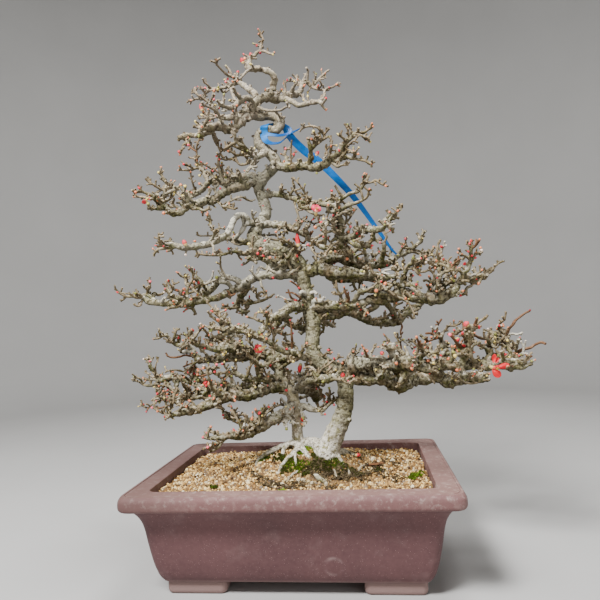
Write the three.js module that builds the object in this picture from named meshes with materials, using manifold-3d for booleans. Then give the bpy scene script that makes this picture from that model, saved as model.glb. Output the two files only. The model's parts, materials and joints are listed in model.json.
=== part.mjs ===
// A dwarf flowering quince grown as a two-stemmed bonsai, with its rectangular clay pot.
// Millimetres, +Z up. X runs along the pot and +Y points away from the viewer.
import * as THREE from "three";
import { mergeVertices } from "three/addons/utils/BufferGeometryUtils.js";
import Module from "manifold-3d";

const wasm = await Module();
wasm.setup();

// Pot
const POT_LENGTH = 350;
const POT_DEPTH = 265;
const POT_HEIGHT = 112.7;
const POT_CORNER = 12;
const RIM_WIDTH = 23.5;
const FOOT_HEIGHT = 15;
const FOOT_LENGTH = 65;
const FOOT_DEPTH = 34;
const FOOT_INSET = 37;
const FOOT_CORNER = 6;
const DRAIN_RADIUS = 11;
const DRAIN_SPREAD = 78;
const SCREEN_SIZE = 34;
const SCREEN_THICK = 0.9;
// Outer wall, as [inset from the lip's outer edge, height]
const POT_OUTSIDE = [
  [34.5, FOOT_HEIGHT],
  [30.5, 22],
  [26.5, 35],
  [22.6, 55],
  [20, 71],
  [17.2, 81],
  [13.5, 88.5],
  [10, 94],
  [8.6, 98.6],
  [2.4, 99.2],
  [0.4, 101.6],
  [0, 105.5],
  [0.5, 109.4],
  [2.6, POT_HEIGHT],
];
const POT_INSIDE = [
  [41, 27.5],
  [36.5, 36],
  [31, 56],
  [27.5, 76],
  [24.6, 96],
  [RIM_WIDTH, POT_HEIGHT - 2],
  [RIM_WIDTH - 1.4, POT_HEIGHT + 1],
];
const CLEARANCE = 0.35;

// Soil: a level bed with a mound that carries both stems
const SOIL_EDGE = 104.5;
const MOUND = { height: 23, x: 8, y: 38, wide: 62, deep: 50 };
const SOIL_COLUMNS = 20;
const SOIL_ROWS = 14;

// The limbs' ways were read on the upright sheet y = SHEET as seen from EYE. Each is then pushed back
// or drawn forward along its own line of sight, so the tree keeps its outline from the front.
const EYE = new THREE.Vector3(87, -688, 280);
const SHEET = 25;

// Stems, as [x, height, depth, radius]
const RIGHT_STEM = [
  [24, 84, 20, 14], [27, 104, 20, 16], [31, 118, 20, 16.5], [36, 130, 20, 13.5], [41, 140, 20, 12],
  [46, 150, 20, 11.2], [52, 162, 20, 10.6], [56, 174, 20, 10], [58, 186, 20, 9.7], [58.5, 198, 20, 9.6],
  [58, 210, 21, 10.5], [55, 219, 22, 11], [48, 221, 22, 10.4], [38, 226, 21, 11], [28, 233, 20, 10],
  [21, 243, 22, 9], [19, 255, 24, 8.6], [20, 265, 26, 8.6], [21, 275, 28, 8.8], [21, 284, 29, 9.6],
  [18, 295, 30, 9], [17, 310, 31, 8.4], [14, 325, 32, 8.2], [11, 340, 31, 8.8], [9, 354, 30, 9.6],
  [2, 366, 28, 9.2], [-6, 373, 27, 9], [-16, 379, 26, 9], [-28, 383, 25, 9], [-40, 386, 24, 9],
  [-49, 392, 24, 8.6], [-51, 401, 24, 8], [-46, 410, 25, 7.5], [-40, 417, 27, 7], [-35, 424, 29, 6.6],
  [-33, 431, 31, 6.3], [-35, 442, 32, 6.4], [-40, 455, 31, 6.5], [-42, 462, 30, 7], [-39, 470, 28, 7],
  [-29, 481, 26, 6.4], [-20, 488, 23, 6.2], [-17, 495, 22, 6.2], [-22, 503, 21, 6.2], [-30, 511, 20, 6],
  [-38, 520, 19, 6], [-40, 528, 18, 5.8], [-35, 535, 18, 5.6], [-26, 537, 18, 5.4], [-17, 537, 18, 5.4],
  [-11, 541, 19, 5.4], [-9, 547, 21, 5.4], [-14, 553, 22, 5.2], [-24, 557, 22, 5.2], [-38, 557, 20, 5.4],
  [-46, 562, 18, 5.2], [-43, 573, 16, 5.2], [-36, 579, 15, 5], [-26, 583, 14, 4.8], [-18, 590, 12, 4.2],
];
const LEFT_STEM = [
  [-6, 90, 48, 7], [-6, 112, 48, 8.6], [-5, 128, 48, 8.4], [-5, 140, 48, 7], [-5, 152, 48, 6.5],
  [-6, 166, 49, 6.8], [-7, 180, 49, 7.2], [-10, 195, 50, 7.6], [-14, 204, 50, 8.6], [-20, 213, 51, 7.6],
  [-24, 223, 53, 7], [-28, 232, 55, 8.4], [-34, 242, 56, 11.5], [-36, 250, 56, 6],
];

// Limbs, as [drift in depth, [x, height, radius], ...]. A radius is given where it changes.
// Each limb starts on the nearest wood that is already there.
const LOW_LIMBS = [
  [-34, [-9, 183, 6], [-14, 176, 5], [-20, 170], [-28, 167, 5], [-36, 163], [-44, 158, 5], [-52, 153],
    [-60, 149, 4.4], [-68, 146], [-75, 143, 4], [-82, 142], [-92, 143, 3.4], [-102, 142], [-112, 141],
    [-120, 141, 2.4], [-128, 142, 1.4]],
  [-5, [-48, 158, 3], [-56, 163], [-66, 163], [-76, 163, 2.4], [-82, 165], [-86, 170], [-84, 175, 1]],
  [4, [-84, 164, 2.4], [-92, 166, 3], [-98, 170], [-101, 175], [-104, 180, 1]],
  [10, [-42, 162, 1.8], [-46, 168], [-40, 174], [-32, 179], [-22, 182, 1]],
  [-6, [-44, 160, 2.4], [-50, 167], [-47, 176, 1.6]],
  [-8, [-98, 142, 2], [-104, 136], [-108, 130], [-114, 126], [-121, 123, 1.3]],
  [-8, [-12, 172, 3], [-18, 164], [-20, 155, 1.8]],
  [-12, [-2, 178, 3.6], [5, 178], [12, 175], [20, 173], [28, 172], [34, 177, 1.8], [42, 183],
    [54, 190, 0.9]],
  [4, [33, 177, 1.4], [30, 188], [26, 198, 0.9]],
  [-34, [-14, 205, 7.5], [-25, 205, 6.5], [-35, 204, 6], [-45, 201], [-55, 198], [-65, 195, 5.6],
    [-75, 194],
    [-85, 195, 5.8], [-93, 194], [-100, 192, 5], [-108, 188], [-115, 185, 4.4], [-125, 182], [-135, 178],
    [-145, 176, 4], [-155, 175], [-165, 173], [-172, 171, 2.6]],
  [26, [-84, 197, 5], [-94, 203, 4.6], [-101, 201], [-108, 196, 4.4], [-118, 199], [-126, 198, 3.6],
    [-135, 195], [-145, 194, 3.6], [-155, 194], [-165, 193, 3], [-171, 190, 2]],
  [16, [-122, 199, 3.6], [-126, 203], [-131, 209], [-135, 214], [-140, 221, 3.4]],
  [20, [-133, 211, 3.4], [-143, 214], [-150, 217], [-158, 219], [-166, 221, 3.6], [-173, 220],
    [-180, 218, 4], [-186, 219, 3]],
  [-5, [-185, 219, 2.8], [-190, 226], [-194, 233], [-198, 240], [-200, 247, 1.6]],
  [4, [-188, 221, 1.5], [-195, 223], [-200, 227], [-204, 229, 1]],
  [8, [-186, 217, 2], [-190, 212], [-198, 211], [-205, 212], [-212, 216], [-219, 219, 1.2]],
  [-4, [-206, 213, 1.4], [-210, 219], [-219, 224, 1]],
  [-8, [-186, 214, 1.8], [-187, 207], [-186, 200], [-183, 195], [-185, 190, 1.4]],
  [-4, [-186, 191, 1.3], [-191, 189], [-196, 186], [-201, 182], [-207, 184], [-211, 187, 0.8]],
  [-12, [-176, 216, 2.4], [-171, 208], [-166, 202], [-166, 196, 2.2], [-171, 190], [-172, 184, 1.5]],
  [-6, [-166, 174, 1.6], [-178, 174], [-186, 177], [-194, 182, 0.9]],
  [8, [-150, 176, 2.4], [-155, 182], [-161, 186, 1.6]],
  [-28, [-4, 200, 4], [0, 203], [5, 207], [12, 210], [20, 212], [30, 212], [38, 211], [47, 216, 3.6]],
  [8, [-10, 208, 3], [-4, 214], [3, 219], [12, 223, 1.6]],
  [30, [0, 198, 5], [8, 199], [16, 197], [21, 190, 5], [20, 185, 3.4]],
];
const LEFT_STEM_LIMBS = [
  [-30, [-34, 243, 9], [-44, 246, 6], [-56, 249, 5.5], [-68, 252, 5.5], [-80, 256, 5.5], [-90, 257],
    [-100, 255, 5], [-108, 255, 3], [-118, 257], [-125, 259], [-132, 262], [-138, 264, 1.8]],
  [14, [-60, 248, 5], [-70, 243, 4.6], [-80, 244], [-90, 243, 4], [-100, 242], [-110, 241, 3.6],
    [-120, 242],
    [-131, 241, 3.4]],
  [8, [-131, 241, 3.4], [-134, 248], [-138, 254, 3], [-140, 260], [-140, 268, 1.4]],
  [-8, [-139, 257, 3], [-148, 262, 3], [-156, 263], [-162, 265, 2.4], [-167, 270], [-172, 275, 1.9],
    [-177, 276],
    [-183, 273], [-190, 272, 1.3]],
  [-12, [-62, 247, 3], [-60, 240], [-52, 234, 2.8], [-45, 232], [-38, 233, 1.8]],
  [6, [-52, 234, 3.6], [-52, 226], [-51, 219, 3.4], [-56, 211], [-54, 205], [-50, 201, 3]],
  [-14, [-56, 213, 3.2], [-67, 215], [-75, 219], [-82, 223], [-88, 225], [-95, 224], [-102, 224, 1.4]],
  [5, [-82, 223, 1.3], [-81, 232], [-84, 239], [-88, 240, 0.9]],
  [-6, [-100, 224, 1.6], [-106, 222], [-112, 226], [-110, 231], [-107, 233, 1.1]],
  [4, [-110, 225, 1.6], [-120, 226], [-128, 224, 1.3]],
  [10, [-84, 203, 2.6], [-93, 208], [-98, 212], [-100, 218, 1.3]],
  [6, [-98, 212, 1.8], [-107, 209], [-114, 211], [-120, 210, 1.2]],
  [14, [-54, 205, 3], [-62, 206], [-72, 205], [-82, 206], [-90, 210, 2]],
  [-8, [-20, 213, 4.6], [-33, 212], [-42, 213], [-51, 217, 3.6]],
  [-12, [-28, 238, 4], [-15, 241], [-5, 240, 3], [0, 237, 2.4]],
  [8, [-96, 256, 3.4], [-99, 263], [-97, 268, 2.2]],
  [-6, [-98, 266, 1.8], [-106, 267], [-113, 268], [-116, 273], [-116, 279, 1]],
];
const CROSSING_LIMBS = [
  [-36, [22, 236, 3.2], [12, 238], [5, 241], [0, 245], [-8, 247], [-15, 248], [-22, 251], [-28, 255],
    [-32, 259],
    [-38, 263, 3], [-44, 266], [-50, 268], [-57, 272], [-62, 276], [-70, 278, 3.6], [-80, 277], [-88, 277],
    [-95, 278], [-100, 281], [-107, 283], [-113, 283, 1.6]],
  [5, [-96, 279, 2.8], [-97, 284], [-98, 290, 2.4], [-95, 296], [-90, 300, 1.4]],
  [-30, [14, 303, 5], [4, 306], [-8, 304, 4.5], [-18, 297], [-27, 294, 3.6], [-34, 291], [-40, 283],
    [-47, 275, 2.8]],
  [30, [-14, 299, 3.4], [-12, 288], [-5, 281], [3, 279], [10, 276, 3], [5, 270, 1.6]],
  [24, [-16, 298, 3], [-20, 290], [-25, 283], [-33, 284, 2]],
  [8, [-22, 283, 2.4], [-28, 277], [-22, 272], [-13, 270, 1.2]],
  [6, [0, 247, 2], [-2, 253], [-8, 257], [-15, 257, 1.2]],
  [-4, [18, 234, 2.4], [17, 228], [18, 220], [22, 213, 1.8]],
  [-8, [22, 216, 1.3], [30, 224], [38, 229], [44, 234], [53, 239, 0.8]],
  [-8, [26, 238, 1.3], [35, 243], [39, 246, 0.9]],
];
const RIGHT_LOW_LIMBS = [
  [-34, [58, 217, 9], [66, 224, 8], [75, 228, 7], [85, 231, 6.4], [95, 231], [105, 231, 5.6], [113, 229],
    [120, 227, 5.4], [128, 226], [137, 228, 6.5], [146, 228, 6.5], [152, 226], [160, 222, 5.5], [170, 222],
    [178, 225, 5.5], [187, 224], [196, 222, 4.4], [206, 222], [216, 223, 4.4], [226, 224], [236, 221, 4.2],
    [246, 222], [256, 225], [266, 226], [277, 224, 1.8]],
  [10, [62, 215, 8], [74, 212, 7], [84, 210], [94, 209, 5.5], [104, 209], [112, 206, 6], [120, 202, 6.5],
    [127, 200], [134, 202, 6], [142, 206], [150, 208], [160, 209, 6], [170, 211], [176, 208, 5.5],
    [183, 204], [190, 202, 5.5], [198, 204], [206, 206, 5], [216, 206], [226, 207, 5], [234, 206, 4.4]],
  [30, [66, 218, 4.5], [78, 219], [88, 218], [97, 214, 4.4], [105, 210, 4]],
  [6, [118, 227, 4.4], [124, 218], [130, 212], [134, 203, 4.4]],
  [4, [140, 226, 4.6], [137, 219], [132, 212, 5]],
  [2, [170, 222, 4], [172, 215], [178, 209, 4.5]],
  [-6, [246, 220, 3.2], [256, 219], [268, 219, 3.4], [276, 218, 2.4], [285, 222, 1.4]],
  [14, [232, 224, 3.2], [236, 232], [237, 240], [239, 247], [244, 250], [251, 251], [258, 252],
    [260, 256, 2]],
  [-8, [258, 251, 2.4], [259, 244], [262, 238], [263, 232], [261, 226, 2.2]],
  [-6, [204, 222, 4], [206, 231, 3.8], [208, 238], [210, 245, 3.6], [213, 252], [215, 260, 3.2],
    [217, 268, 2.8],
    [219, 272, 2]],
  [8, [180, 226, 3.4], [183, 234], [183, 241], [182, 249, 2.8], [180, 256], [181, 263, 2]],
  [6, [181, 261, 1.5], [186, 268], [190, 272], [197, 272], [203, 274, 0.9]],
  [-10, [147, 230, 2.6], [155, 236], [163, 240], [170, 239, 1.8]],
  [-5, [163, 240, 1.6], [157, 245], [150, 250], [146, 255, 1.1]],
  [7, [168, 239, 1.5], [166, 246], [158, 251, 1]],
  [-8, [112, 230, 2.2], [105, 236], [95, 236], [86, 238, 1.3]],
  [8, [63, 222, 1.8], [62, 232], [65, 241], [73, 248, 0.9]],
];
const THIRD_LEFT_LIMBS = [
  [-24, [8, 346, 5.4], [-5, 347, 4.6], [-13, 347], [-22, 347, 4.4], [-33, 348, 4], [-42, 348],
    [-50, 346, 4],
    [-60, 342], [-70, 336, 4.2], [-80, 331, 4], [-90, 327], [-100, 323], [-110, 321, 3.2], [-118, 319],
    [-126, 319], [-134, 318, 3.6], [-143, 317], [-150, 316, 3.6], [-160, 317], [-170, 318, 3.6],
    [-178, 319],
    [-186, 320], [-193, 321, 3], [-198, 323], [-204, 327], [-210, 329, 2], [-218, 330], [-225, 330],
    [-235, 334, 0.9]],
  [14, [-70, 337, 2.8], [-73, 342], [-80, 346], [-88, 348], [-95, 346, 2.6], [-100, 343, 3.4], [-106, 338],
    [-112, 332], [-118, 326], [-125, 321, 3]],
  [-6, [-80, 332, 2.4], [-86, 338], [-92, 342], [-99, 343, 2.4]],
  [6, [-113, 331, 2.8], [-118, 337], [-121, 342], [-128, 350], [-134, 356], [-139, 361, 1.1]],
  [-4, [-120, 338, 1.5], [-130, 337], [-138, 338], [-145, 341, 1]],
  [-4, [-137, 338, 1.5], [-142, 344], [-145, 349, 1.6], [-144, 353, 1]],
  [-10, [-115, 331, 2], [-125, 331], [-133, 332], [-140, 330], [-147, 329, 1.1]],
  [-6, [-145, 318, 2.4], [-150, 323], [-156, 324], [-163, 324, 1.8]],
  [6, [-165, 318, 2.4], [-165, 326], [-166, 331], [-169, 337], [-170, 342, 1.2]],
  [-5, [-165, 330, 1.6], [-162, 338], [-165, 341], [-168, 347, 1.1]],
  [8, [-185, 321, 2.6], [-190, 325], [-194, 329], [-198, 331, 1.8], [-205, 330], [-211, 327, 1.2]],
  [3, [-190, 326, 2], [-187, 333, 1.7]],
  [-4, [-197, 331, 1.5], [-197, 336], [-194, 341], [-193, 347, 1.1]],
  [-7, [-152, 316, 2], [-158, 313], [-165, 312], [-170, 311, 1.1]],
  [5, [-134, 317, 2.6], [-137, 312], [-134, 306], [-132, 302, 1.2]],
  [-8, [-45, 345, 1.6], [-44, 337], [-41, 330], [-38, 325], [-38, 319, 1]],
  [16, [-60, 341, 3], [-62, 334], [-67, 326], [-72, 321], [-76, 314, 3.2], [-76, 307, 2.6]],
  [-6, [-72, 316, 2.6], [-66, 314], [-58, 313], [-50, 314], [-42, 316], [-37, 318], [-30, 320, 1]],
  [4, [-48, 315, 1.6], [-49, 321], [-45, 326], [-41, 326, 1]],
  [5, [-76, 309, 1.8], [-85, 307], [-96, 309, 1]],
  [-4, [-76, 307, 2.4], [-70, 303], [-64, 301, 1.8]],
  [-5, [-66, 328, 2], [-60, 331], [-53, 332, 1.1]],
];
const RIGHT_MID_LIMBS = [
  [-20, [18, 304, 5.4], [30, 304], [40, 305], [50, 304, 4.6], [60, 302], [70, 303], [80, 304],
    [90, 307, 4.4],
    [97, 310], [110, 309, 5.4], [118, 311], [126, 313], [133, 313, 5.6], [141, 313], [148, 311],
    [155, 309, 5.6],
    [163, 308], [170, 307], [178, 307, 5.6], [185, 309], [190, 311], [196, 314, 4.4], [201, 317, 3.6]],
  [26, [20, 293, 6], [32, 294], [45, 293, 5.5], [56, 294], [68, 296, 4.5], [75, 293], [85, 287],
    [97, 281, 4],
    [110, 280], [125, 279, 4], [131, 281], [137, 289], [145, 292], [151, 295, 2.4]],
  [-4, [82, 290, 3.2], [88, 294], [95, 297], [102, 300], [106, 306, 2.6]],
  [-14, [126, 280, 3], [125, 286], [122, 293], [118, 300], [115, 306, 2.6]],
  [22, [24, 287, 4], [33, 285], [40, 282], [46, 278, 2]],
  [-10, [78, 304, 2.4], [76, 308], [79, 315], [83, 320], [90, 321], [100, 321], [106, 316, 2.4]],
  [6, [104, 315, 3.2], [110, 316], [118, 313], [126, 313, 3]],
  [-8, [58, 303, 2.2], [58, 315], [55, 322], [52, 332, 1.2]],
  [6, [200, 317, 3.6], [203, 322], [206, 327, 3], [210, 328], [217, 327], [222, 323, 1.6]],
  [-8, [207, 329, 3], [213, 338], [217, 341, 2.4], [219, 346], [221, 350], [223, 356], [222, 362],
    [223, 368, 1.8],
    [224, 373, 1.2]],
  [5, [223, 357, 1.4], [230, 360], [234, 363, 1.1]],
  [6, [210, 330, 2], [216, 331], [225, 326], [231, 330], [236, 331], [240, 334], [245, 337], [250, 343],
    [257, 349, 1]],
  [8, [182, 309, 3], [183, 318], [190, 325], [200, 326], [206, 327, 2.6]],
  [-5, [178, 308, 3], [178, 315], [177, 322], [180, 330, 2.4], [183, 338], [182, 346], [182, 357],
    [181, 365],
    [183, 376, 1]],
  [6, [183, 338, 1.6], [186, 347], [186, 355], [186, 362], [187, 368, 1.2]],
  [-6, [182, 333, 1.8], [188, 339], [193, 340], [198, 343], [203, 348], [207, 349, 1]],
  [-8, [176, 317, 1.6], [172, 326], [175, 330], [176, 335], [174, 340], [170, 343], [163, 341],
    [155, 341, 1.1]],
  [-12, [137, 311, 2.8], [137, 318], [136, 325], [136, 332], [138, 338], [142, 344], [145, 350], [150, 353],
    [157, 356, 1.6]],
  [6, [145, 349, 2], [150, 352], [158, 351, 1.4]],
  [-6, [137, 326, 2.4], [150, 325], [156, 323, 1.8]],
  [6, [140, 345, 1.6], [132, 348], [125, 350, 1]],
  [8, [136, 320, 2.6], [130, 324], [125, 328], [120, 325, 2]],
  [-5, [152, 354, 1.8], [158, 357], [163, 355], [170, 354], [172, 350, 1.2]],
];
const RIGHT_HIGH_LIMBS = [
  [-14, [10, 347, 6.5], [22, 351], [32, 352], [40, 350, 6], [50, 347], [60, 346], [70, 345], [77, 344, 5.4],
    [86, 342, 4.4], [96, 340], [108, 338, 4], [118, 336], [128, 338, 2.2]],
  [22, [38, 350, 3.8], [45, 342], [52, 338], [60, 337], [75, 336], [90, 337], [100, 336], [107, 334, 3]],
  [-2, [107, 338, 4], [108, 330], [107, 323], [105, 316, 3.6]],
  [-10, [108, 328, 2.6], [112, 325], [118, 322, 2]],
  [-6, [108, 338, 1.6], [110, 336], [115, 331], [118, 327, 0.9]],
  [12, [26, 352, 6], [31, 355], [38, 361], [45, 364, 5.4], [55, 365], [62, 363, 4], [68, 358], [75, 354],
    [82, 351], [90, 352, 3.6], [100, 352], [110, 352], [118, 354], [125, 357], [130, 361], [135, 364],
    [141, 366, 3]],
  [-5, [66, 361, 2.2], [72, 361], [78, 357], [84, 353, 1.8]],
  [10, [98, 352, 2.2], [101, 361], [105, 366], [110, 370, 1.6]],
  [-8, [110, 352, 2.8], [112, 360], [114, 365], [116, 372], [115, 380, 1.8]],
  [-2, [115, 378, 1.6], [118, 384], [120, 388], [118, 392], [117, 397, 1]],
  [-8, [141, 366, 2.4], [148, 368], [152, 372], [158, 377], [162, 379], [163, 385], [166, 391, 1.6]],
  [-4, [145, 367, 1.4], [145, 372], [143, 378], [143, 383, 0.9]],
  [8, [148, 368, 1.4], [157, 365], [162, 362], [170, 361], [177, 362, 0.9]],
  [-6, [150, 370, 1.3], [158, 368], [165, 365], [172, 363], [177, 371, 0.9]],
  [-22, [-37, 450, 3.2], [-32, 452], [-18, 453], [-8, 450], [2, 446], [12, 442], [25, 439], [38, 436],
    [52, 433],
    [58, 432, 2.6]],
  [10, [48, 435, 2.2], [55, 440], [62, 440], [68, 442, 1.3]],
  [-8, [4, 446, 1.4], [5, 437], [7, 428], [9, 420], [10, 414, 1]],
  [-14, [8, 443, 1.8], [10, 438], [18, 431], [26, 425], [34, 421], [42, 421, 1.2]],
  [12, [57, 434, 3.6], [60, 425], [60, 418, 3.6], [63, 411], [63, 403], [60, 397, 3.6], [60, 391],
    [62, 384],
    [64, 377, 3]],
  [-10, [60, 418, 2.5], [56, 417], [50, 413], [45, 410], [40, 405, 1.8]],
  [-8, [60, 425, 2.2], [68, 428], [73, 431], [80, 433], [90, 436], [97, 440], [100, 445], [100, 450, 1.1]],
  [-12, [68, 442, 2], [76, 446], [84, 448], [90, 451], [94, 456], [98, 459], [104, 459], [110, 461],
    [115, 457],
    [122, 453, 1]],
  [-6, [65, 406, 1.3], [72, 412], [78, 420], [84, 427, 0.8]],
  [-6, [62, 400, 2], [57, 404], [50, 400], [40, 398, 1.4]],
  [-12, [61, 390, 3], [75, 391], [83, 394], [90, 397], [97, 399], [103, 398, 3.2], [110, 398], [115, 400],
    [119, 405], [123, 408, 3]],
  [3, [103, 398, 2.4], [103, 388], [104, 384, 1.8]],
  [-5, [119, 405, 2.4], [126, 410], [131, 415], [135, 421], [138, 427, 1.1]],
  [-6, [62, 385, 3], [70, 387], [78, 383], [84, 380], [90, 379, 3.2], [97, 379, 2.6]],
  [20, [36, 360, 3], [42, 368], [50, 370], [60, 371], [70, 371], [77, 372], [84, 376], [92, 379, 2.6]],
  [-14, [-44, 412, 3.6], [-30, 414], [-20, 412], [-10, 410], [-3, 407], [5, 403], [12, 399, 3.2], [18, 396],
    [22, 392], [28, 388], [33, 384], [38, 380], [45, 379], [48, 376, 2.4]],
  [14, [-44, 402, 1.4], [-38, 400], [-25, 400], [-12, 399, 1]],
  [-16, [6, 368, 1.8], [5, 381], [0, 385], [-8, 390], [-14, 394], [-22, 393], [-33, 396, 1]],
];
const SECOND_LEFT_LIMBS = [
  [-22, [-41, 470, 5.5], [-52, 472], [-60, 467], [-70, 466], [-80, 464, 4.5], [-92, 458], [-100, 452],
    [-110, 451], [-120, 449, 4], [-130, 446], [-138, 446], [-144, 440], [-152, 437], [-160, 438],
    [-166, 443],
    [-171, 450, 3]],
  [-3, [-171, 450, 2.6], [-171, 458], [-168, 468], [-166, 476], [-169, 484, 1.3]],
  [3, [-169, 447, 3.4], [-178, 445], [-184, 447, 2]],
  [-8, [-171, 452, 2.2], [-178, 458], [-186, 463], [-195, 467], [-203, 469], [-210, 468, 1]],
  [6, [-180, 459, 1.6], [-190, 459], [-200, 462], [-212, 463, 0.9]],
  [-6, [-168, 468, 1.4], [-172, 470], [-180, 475], [-188, 480], [-192, 483, 0.9]],
  [6, [-167, 474, 1.3], [-165, 478], [-158, 476], [-156, 470, 0.8]],
  [26, [-38, 473, 4.4], [-52, 478], [-62, 478], [-70, 476], [-78, 473], [-95, 475, 4], [-103, 477],
    [-110, 473],
    [-118, 465], [-124, 461, 2.6]],
  [-6, [-124, 461, 1.7], [-135, 457], [-142, 456], [-147, 459], [-152, 463], [-158, 467, 1]],
  [6, [-109, 474, 2.6], [-111, 481], [-114, 488], [-119, 495], [-122, 500, 1.8]],
  [-6, [-111, 482, 1.4], [-108, 484], [-102, 488], [-98, 493], [-94, 494, 1]],
  [6, [-122, 498, 1.4], [-115, 500], [-110, 497], [-105, 493], [-102, 490, 0.9]],
  [5, [-122, 500, 1.5], [-125, 507], [-133, 510, 1]],
  [-4, [-123, 503, 1.5], [-123, 518], [-122, 527], [-119, 533, 0.8]],
  [-6, [-119, 494, 1.8], [-125, 495], [-133, 493], [-142, 494], [-149, 494, 1]],
  [-8, [-124, 461, 1.5], [-127, 463], [-129, 472], [-131, 480], [-132, 486, 0.9]],
  [-10, [-100, 453, 1.6], [-92, 443], [-85, 440], [-75, 437, 0.9]],
  [12, [-86, 441, 1.5], [-80, 448], [-65, 452], [-58, 448], [-52, 446, 0.9]],
  [-8, [-43, 418, 4.4], [-55, 417, 3.4], [-62, 418, 2.8]],
  [-32, [-55, 419, 3], [-61, 425], [-66, 429], [-72, 427], [-77, 422], [-80, 415], [-84, 408], [-90, 402],
    [-97, 398], [-110, 393, 3.2], [-120, 392], [-130, 391], [-140, 390, 3], [-148, 391], [-160, 395, 2.6],
    [-168, 396], [-180, 394, 1.1]],
  [-4, [-154, 392, 1.9], [-165, 391], [-175, 391], [-181, 390], [-187, 384, 1.2]],
  [5, [-65, 426, 2.4], [-63, 414], [-68, 406], [-75, 399, 2]],
  [18, [-51, 394, 3.8], [-58, 392], [-70, 395], [-80, 398], [-90, 400], [-97, 404], [-103, 410],
    [-108, 418],
    [-108, 426, 1.4]],
  [4, [-103, 410, 1.5], [-95, 413], [-88, 411, 0.9]],
  [-16, [-46, 383, 3.4], [-55, 378], [-66, 378, 2.4], [-75, 382], [-85, 380], [-95, 378], [-110, 378],
    [-127, 381, 1]],
  [-22, [-4, 367, 3.2], [-18, 361], [-30, 362], [-36, 367], [-45, 371], [-52, 368, 2]],
  [-8, [-32, 361, 1.8], [-31, 356], [-38, 356], [-43, 359], [-48, 356, 1.1]],
  [16, [2, 356, 2.8], [-12, 357], [-20, 356], [-27, 354, 2]],
];
const UPPER_LIMBS = [
  [-14, [-28, 509, 3.4], [-38, 505], [-45, 503, 2.4]],
  [-10, [-45, 503, 2.2], [-52, 510], [-58, 518], [-62, 526], [-63, 532, 1.3]],
  [6, [-58, 513, 1.8], [-66, 517], [-73, 521], [-80, 522, 1]],
  [-5, [-62, 520, 1.9], [-70, 528], [-70, 535], [-71, 541, 1.1]],
  [8, [-45, 504, 1.8], [-55, 507], [-68, 508], [-75, 504], [-83, 503], [-89, 505, 1]],
  [-8, [-45, 503, 1.6], [-50, 498], [-58, 495], [-65, 495], [-70, 500], [-75, 502, 1]],
  [-20, [-17, 490, 4.6], [0, 486], [10, 487], [20, 487], [30, 484], [40, 485, 4], [48, 487, 3.6], [52, 492],
    [58, 496], [64, 500], [68, 507, 2.6], [76, 514], [81, 519], [88, 525, 1.8], [97, 524], [103, 527],
    [109, 530, 1]],
  [-3, [79, 517, 1.4], [78, 526], [77, 534, 0.8]],
  [5, [92, 525, 1.2], [97, 518], [100, 514, 0.8]],
  [-14, [50, 489, 2.6], [58, 490], [66, 492], [73, 495], [80, 492], [86, 491], [98, 487], [106, 482, 1]],
  [-6, [54, 489, 1.8], [62, 483], [68, 484], [76, 484, 1]],
  [-5, [70, 494, 1.4], [76, 503], [83, 499, 0.9]],
  [6, [45, 487, 1.6], [45, 494], [49, 500], [48, 507, 1]],
  [-10, [26, 486, 2.8], [28, 500], [28, 510], [26, 520, 1.8]],
  [-8, [28, 507, 2.2], [36, 514], [42, 518], [50, 522, 1.5]],
  [-6, [48, 521, 1.6], [46, 527], [42, 532], [38, 536], [32, 538], [25, 538], [20, 537, 0.9]],
  [-7, [4, 487, 1.3], [2, 498], [4, 522, 0.9]],
  [-20, [-46, 573, 3.4], [-50, 582], [-56, 583], [-62, 580], [-68, 575], [-75, 572], [-82, 574],
    [-90, 579, 2]],
  [18, [-45, 566, 3.6], [-58, 565], [-66, 560], [-80, 559], [-88, 561], [-96, 563], [-106, 561, 2.2]],
  [-4, [-94, 563, 2.4], [-94, 568], [-96, 574], [-99, 578], [-103, 582], [-110, 587, 1.6], [-116, 591],
    [-120, 595], [-124, 599, 1]],
  [4, [-110, 587, 1.4], [-115, 587], [-120, 589], [-125, 587], [-131, 586, 1]],
  [-3, [-109, 588, 1.4], [-109, 594], [-112, 601, 0.9]],
  [-6, [-106, 561, 2], [-110, 565], [-113, 570, 1.2]],
  [-26, [-40, 557, 4.6], [-52, 558], [-60, 553], [-68, 546], [-76, 543], [-88, 547, 4], [-98, 549],
    [-106, 548],
    [-118, 547, 2.6]],
  [-5, [-96, 547, 3.2], [-104, 543], [-110, 541], [-120, 539], [-130, 540], [-140, 539], [-146, 537, 2.2]],
  [-4, [-137, 538, 1.4], [-136, 530], [-141, 528], [-142, 523], [-144, 519, 1]],
  [6, [-99, 546, 1.5], [-100, 541], [-97, 536], [-94, 530], [-94, 524], [-92, 518], [-90, 510, 0.8]],
  [4, [-93, 520, 1.1], [-86, 517], [-80, 516, 0.8]],
];
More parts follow.
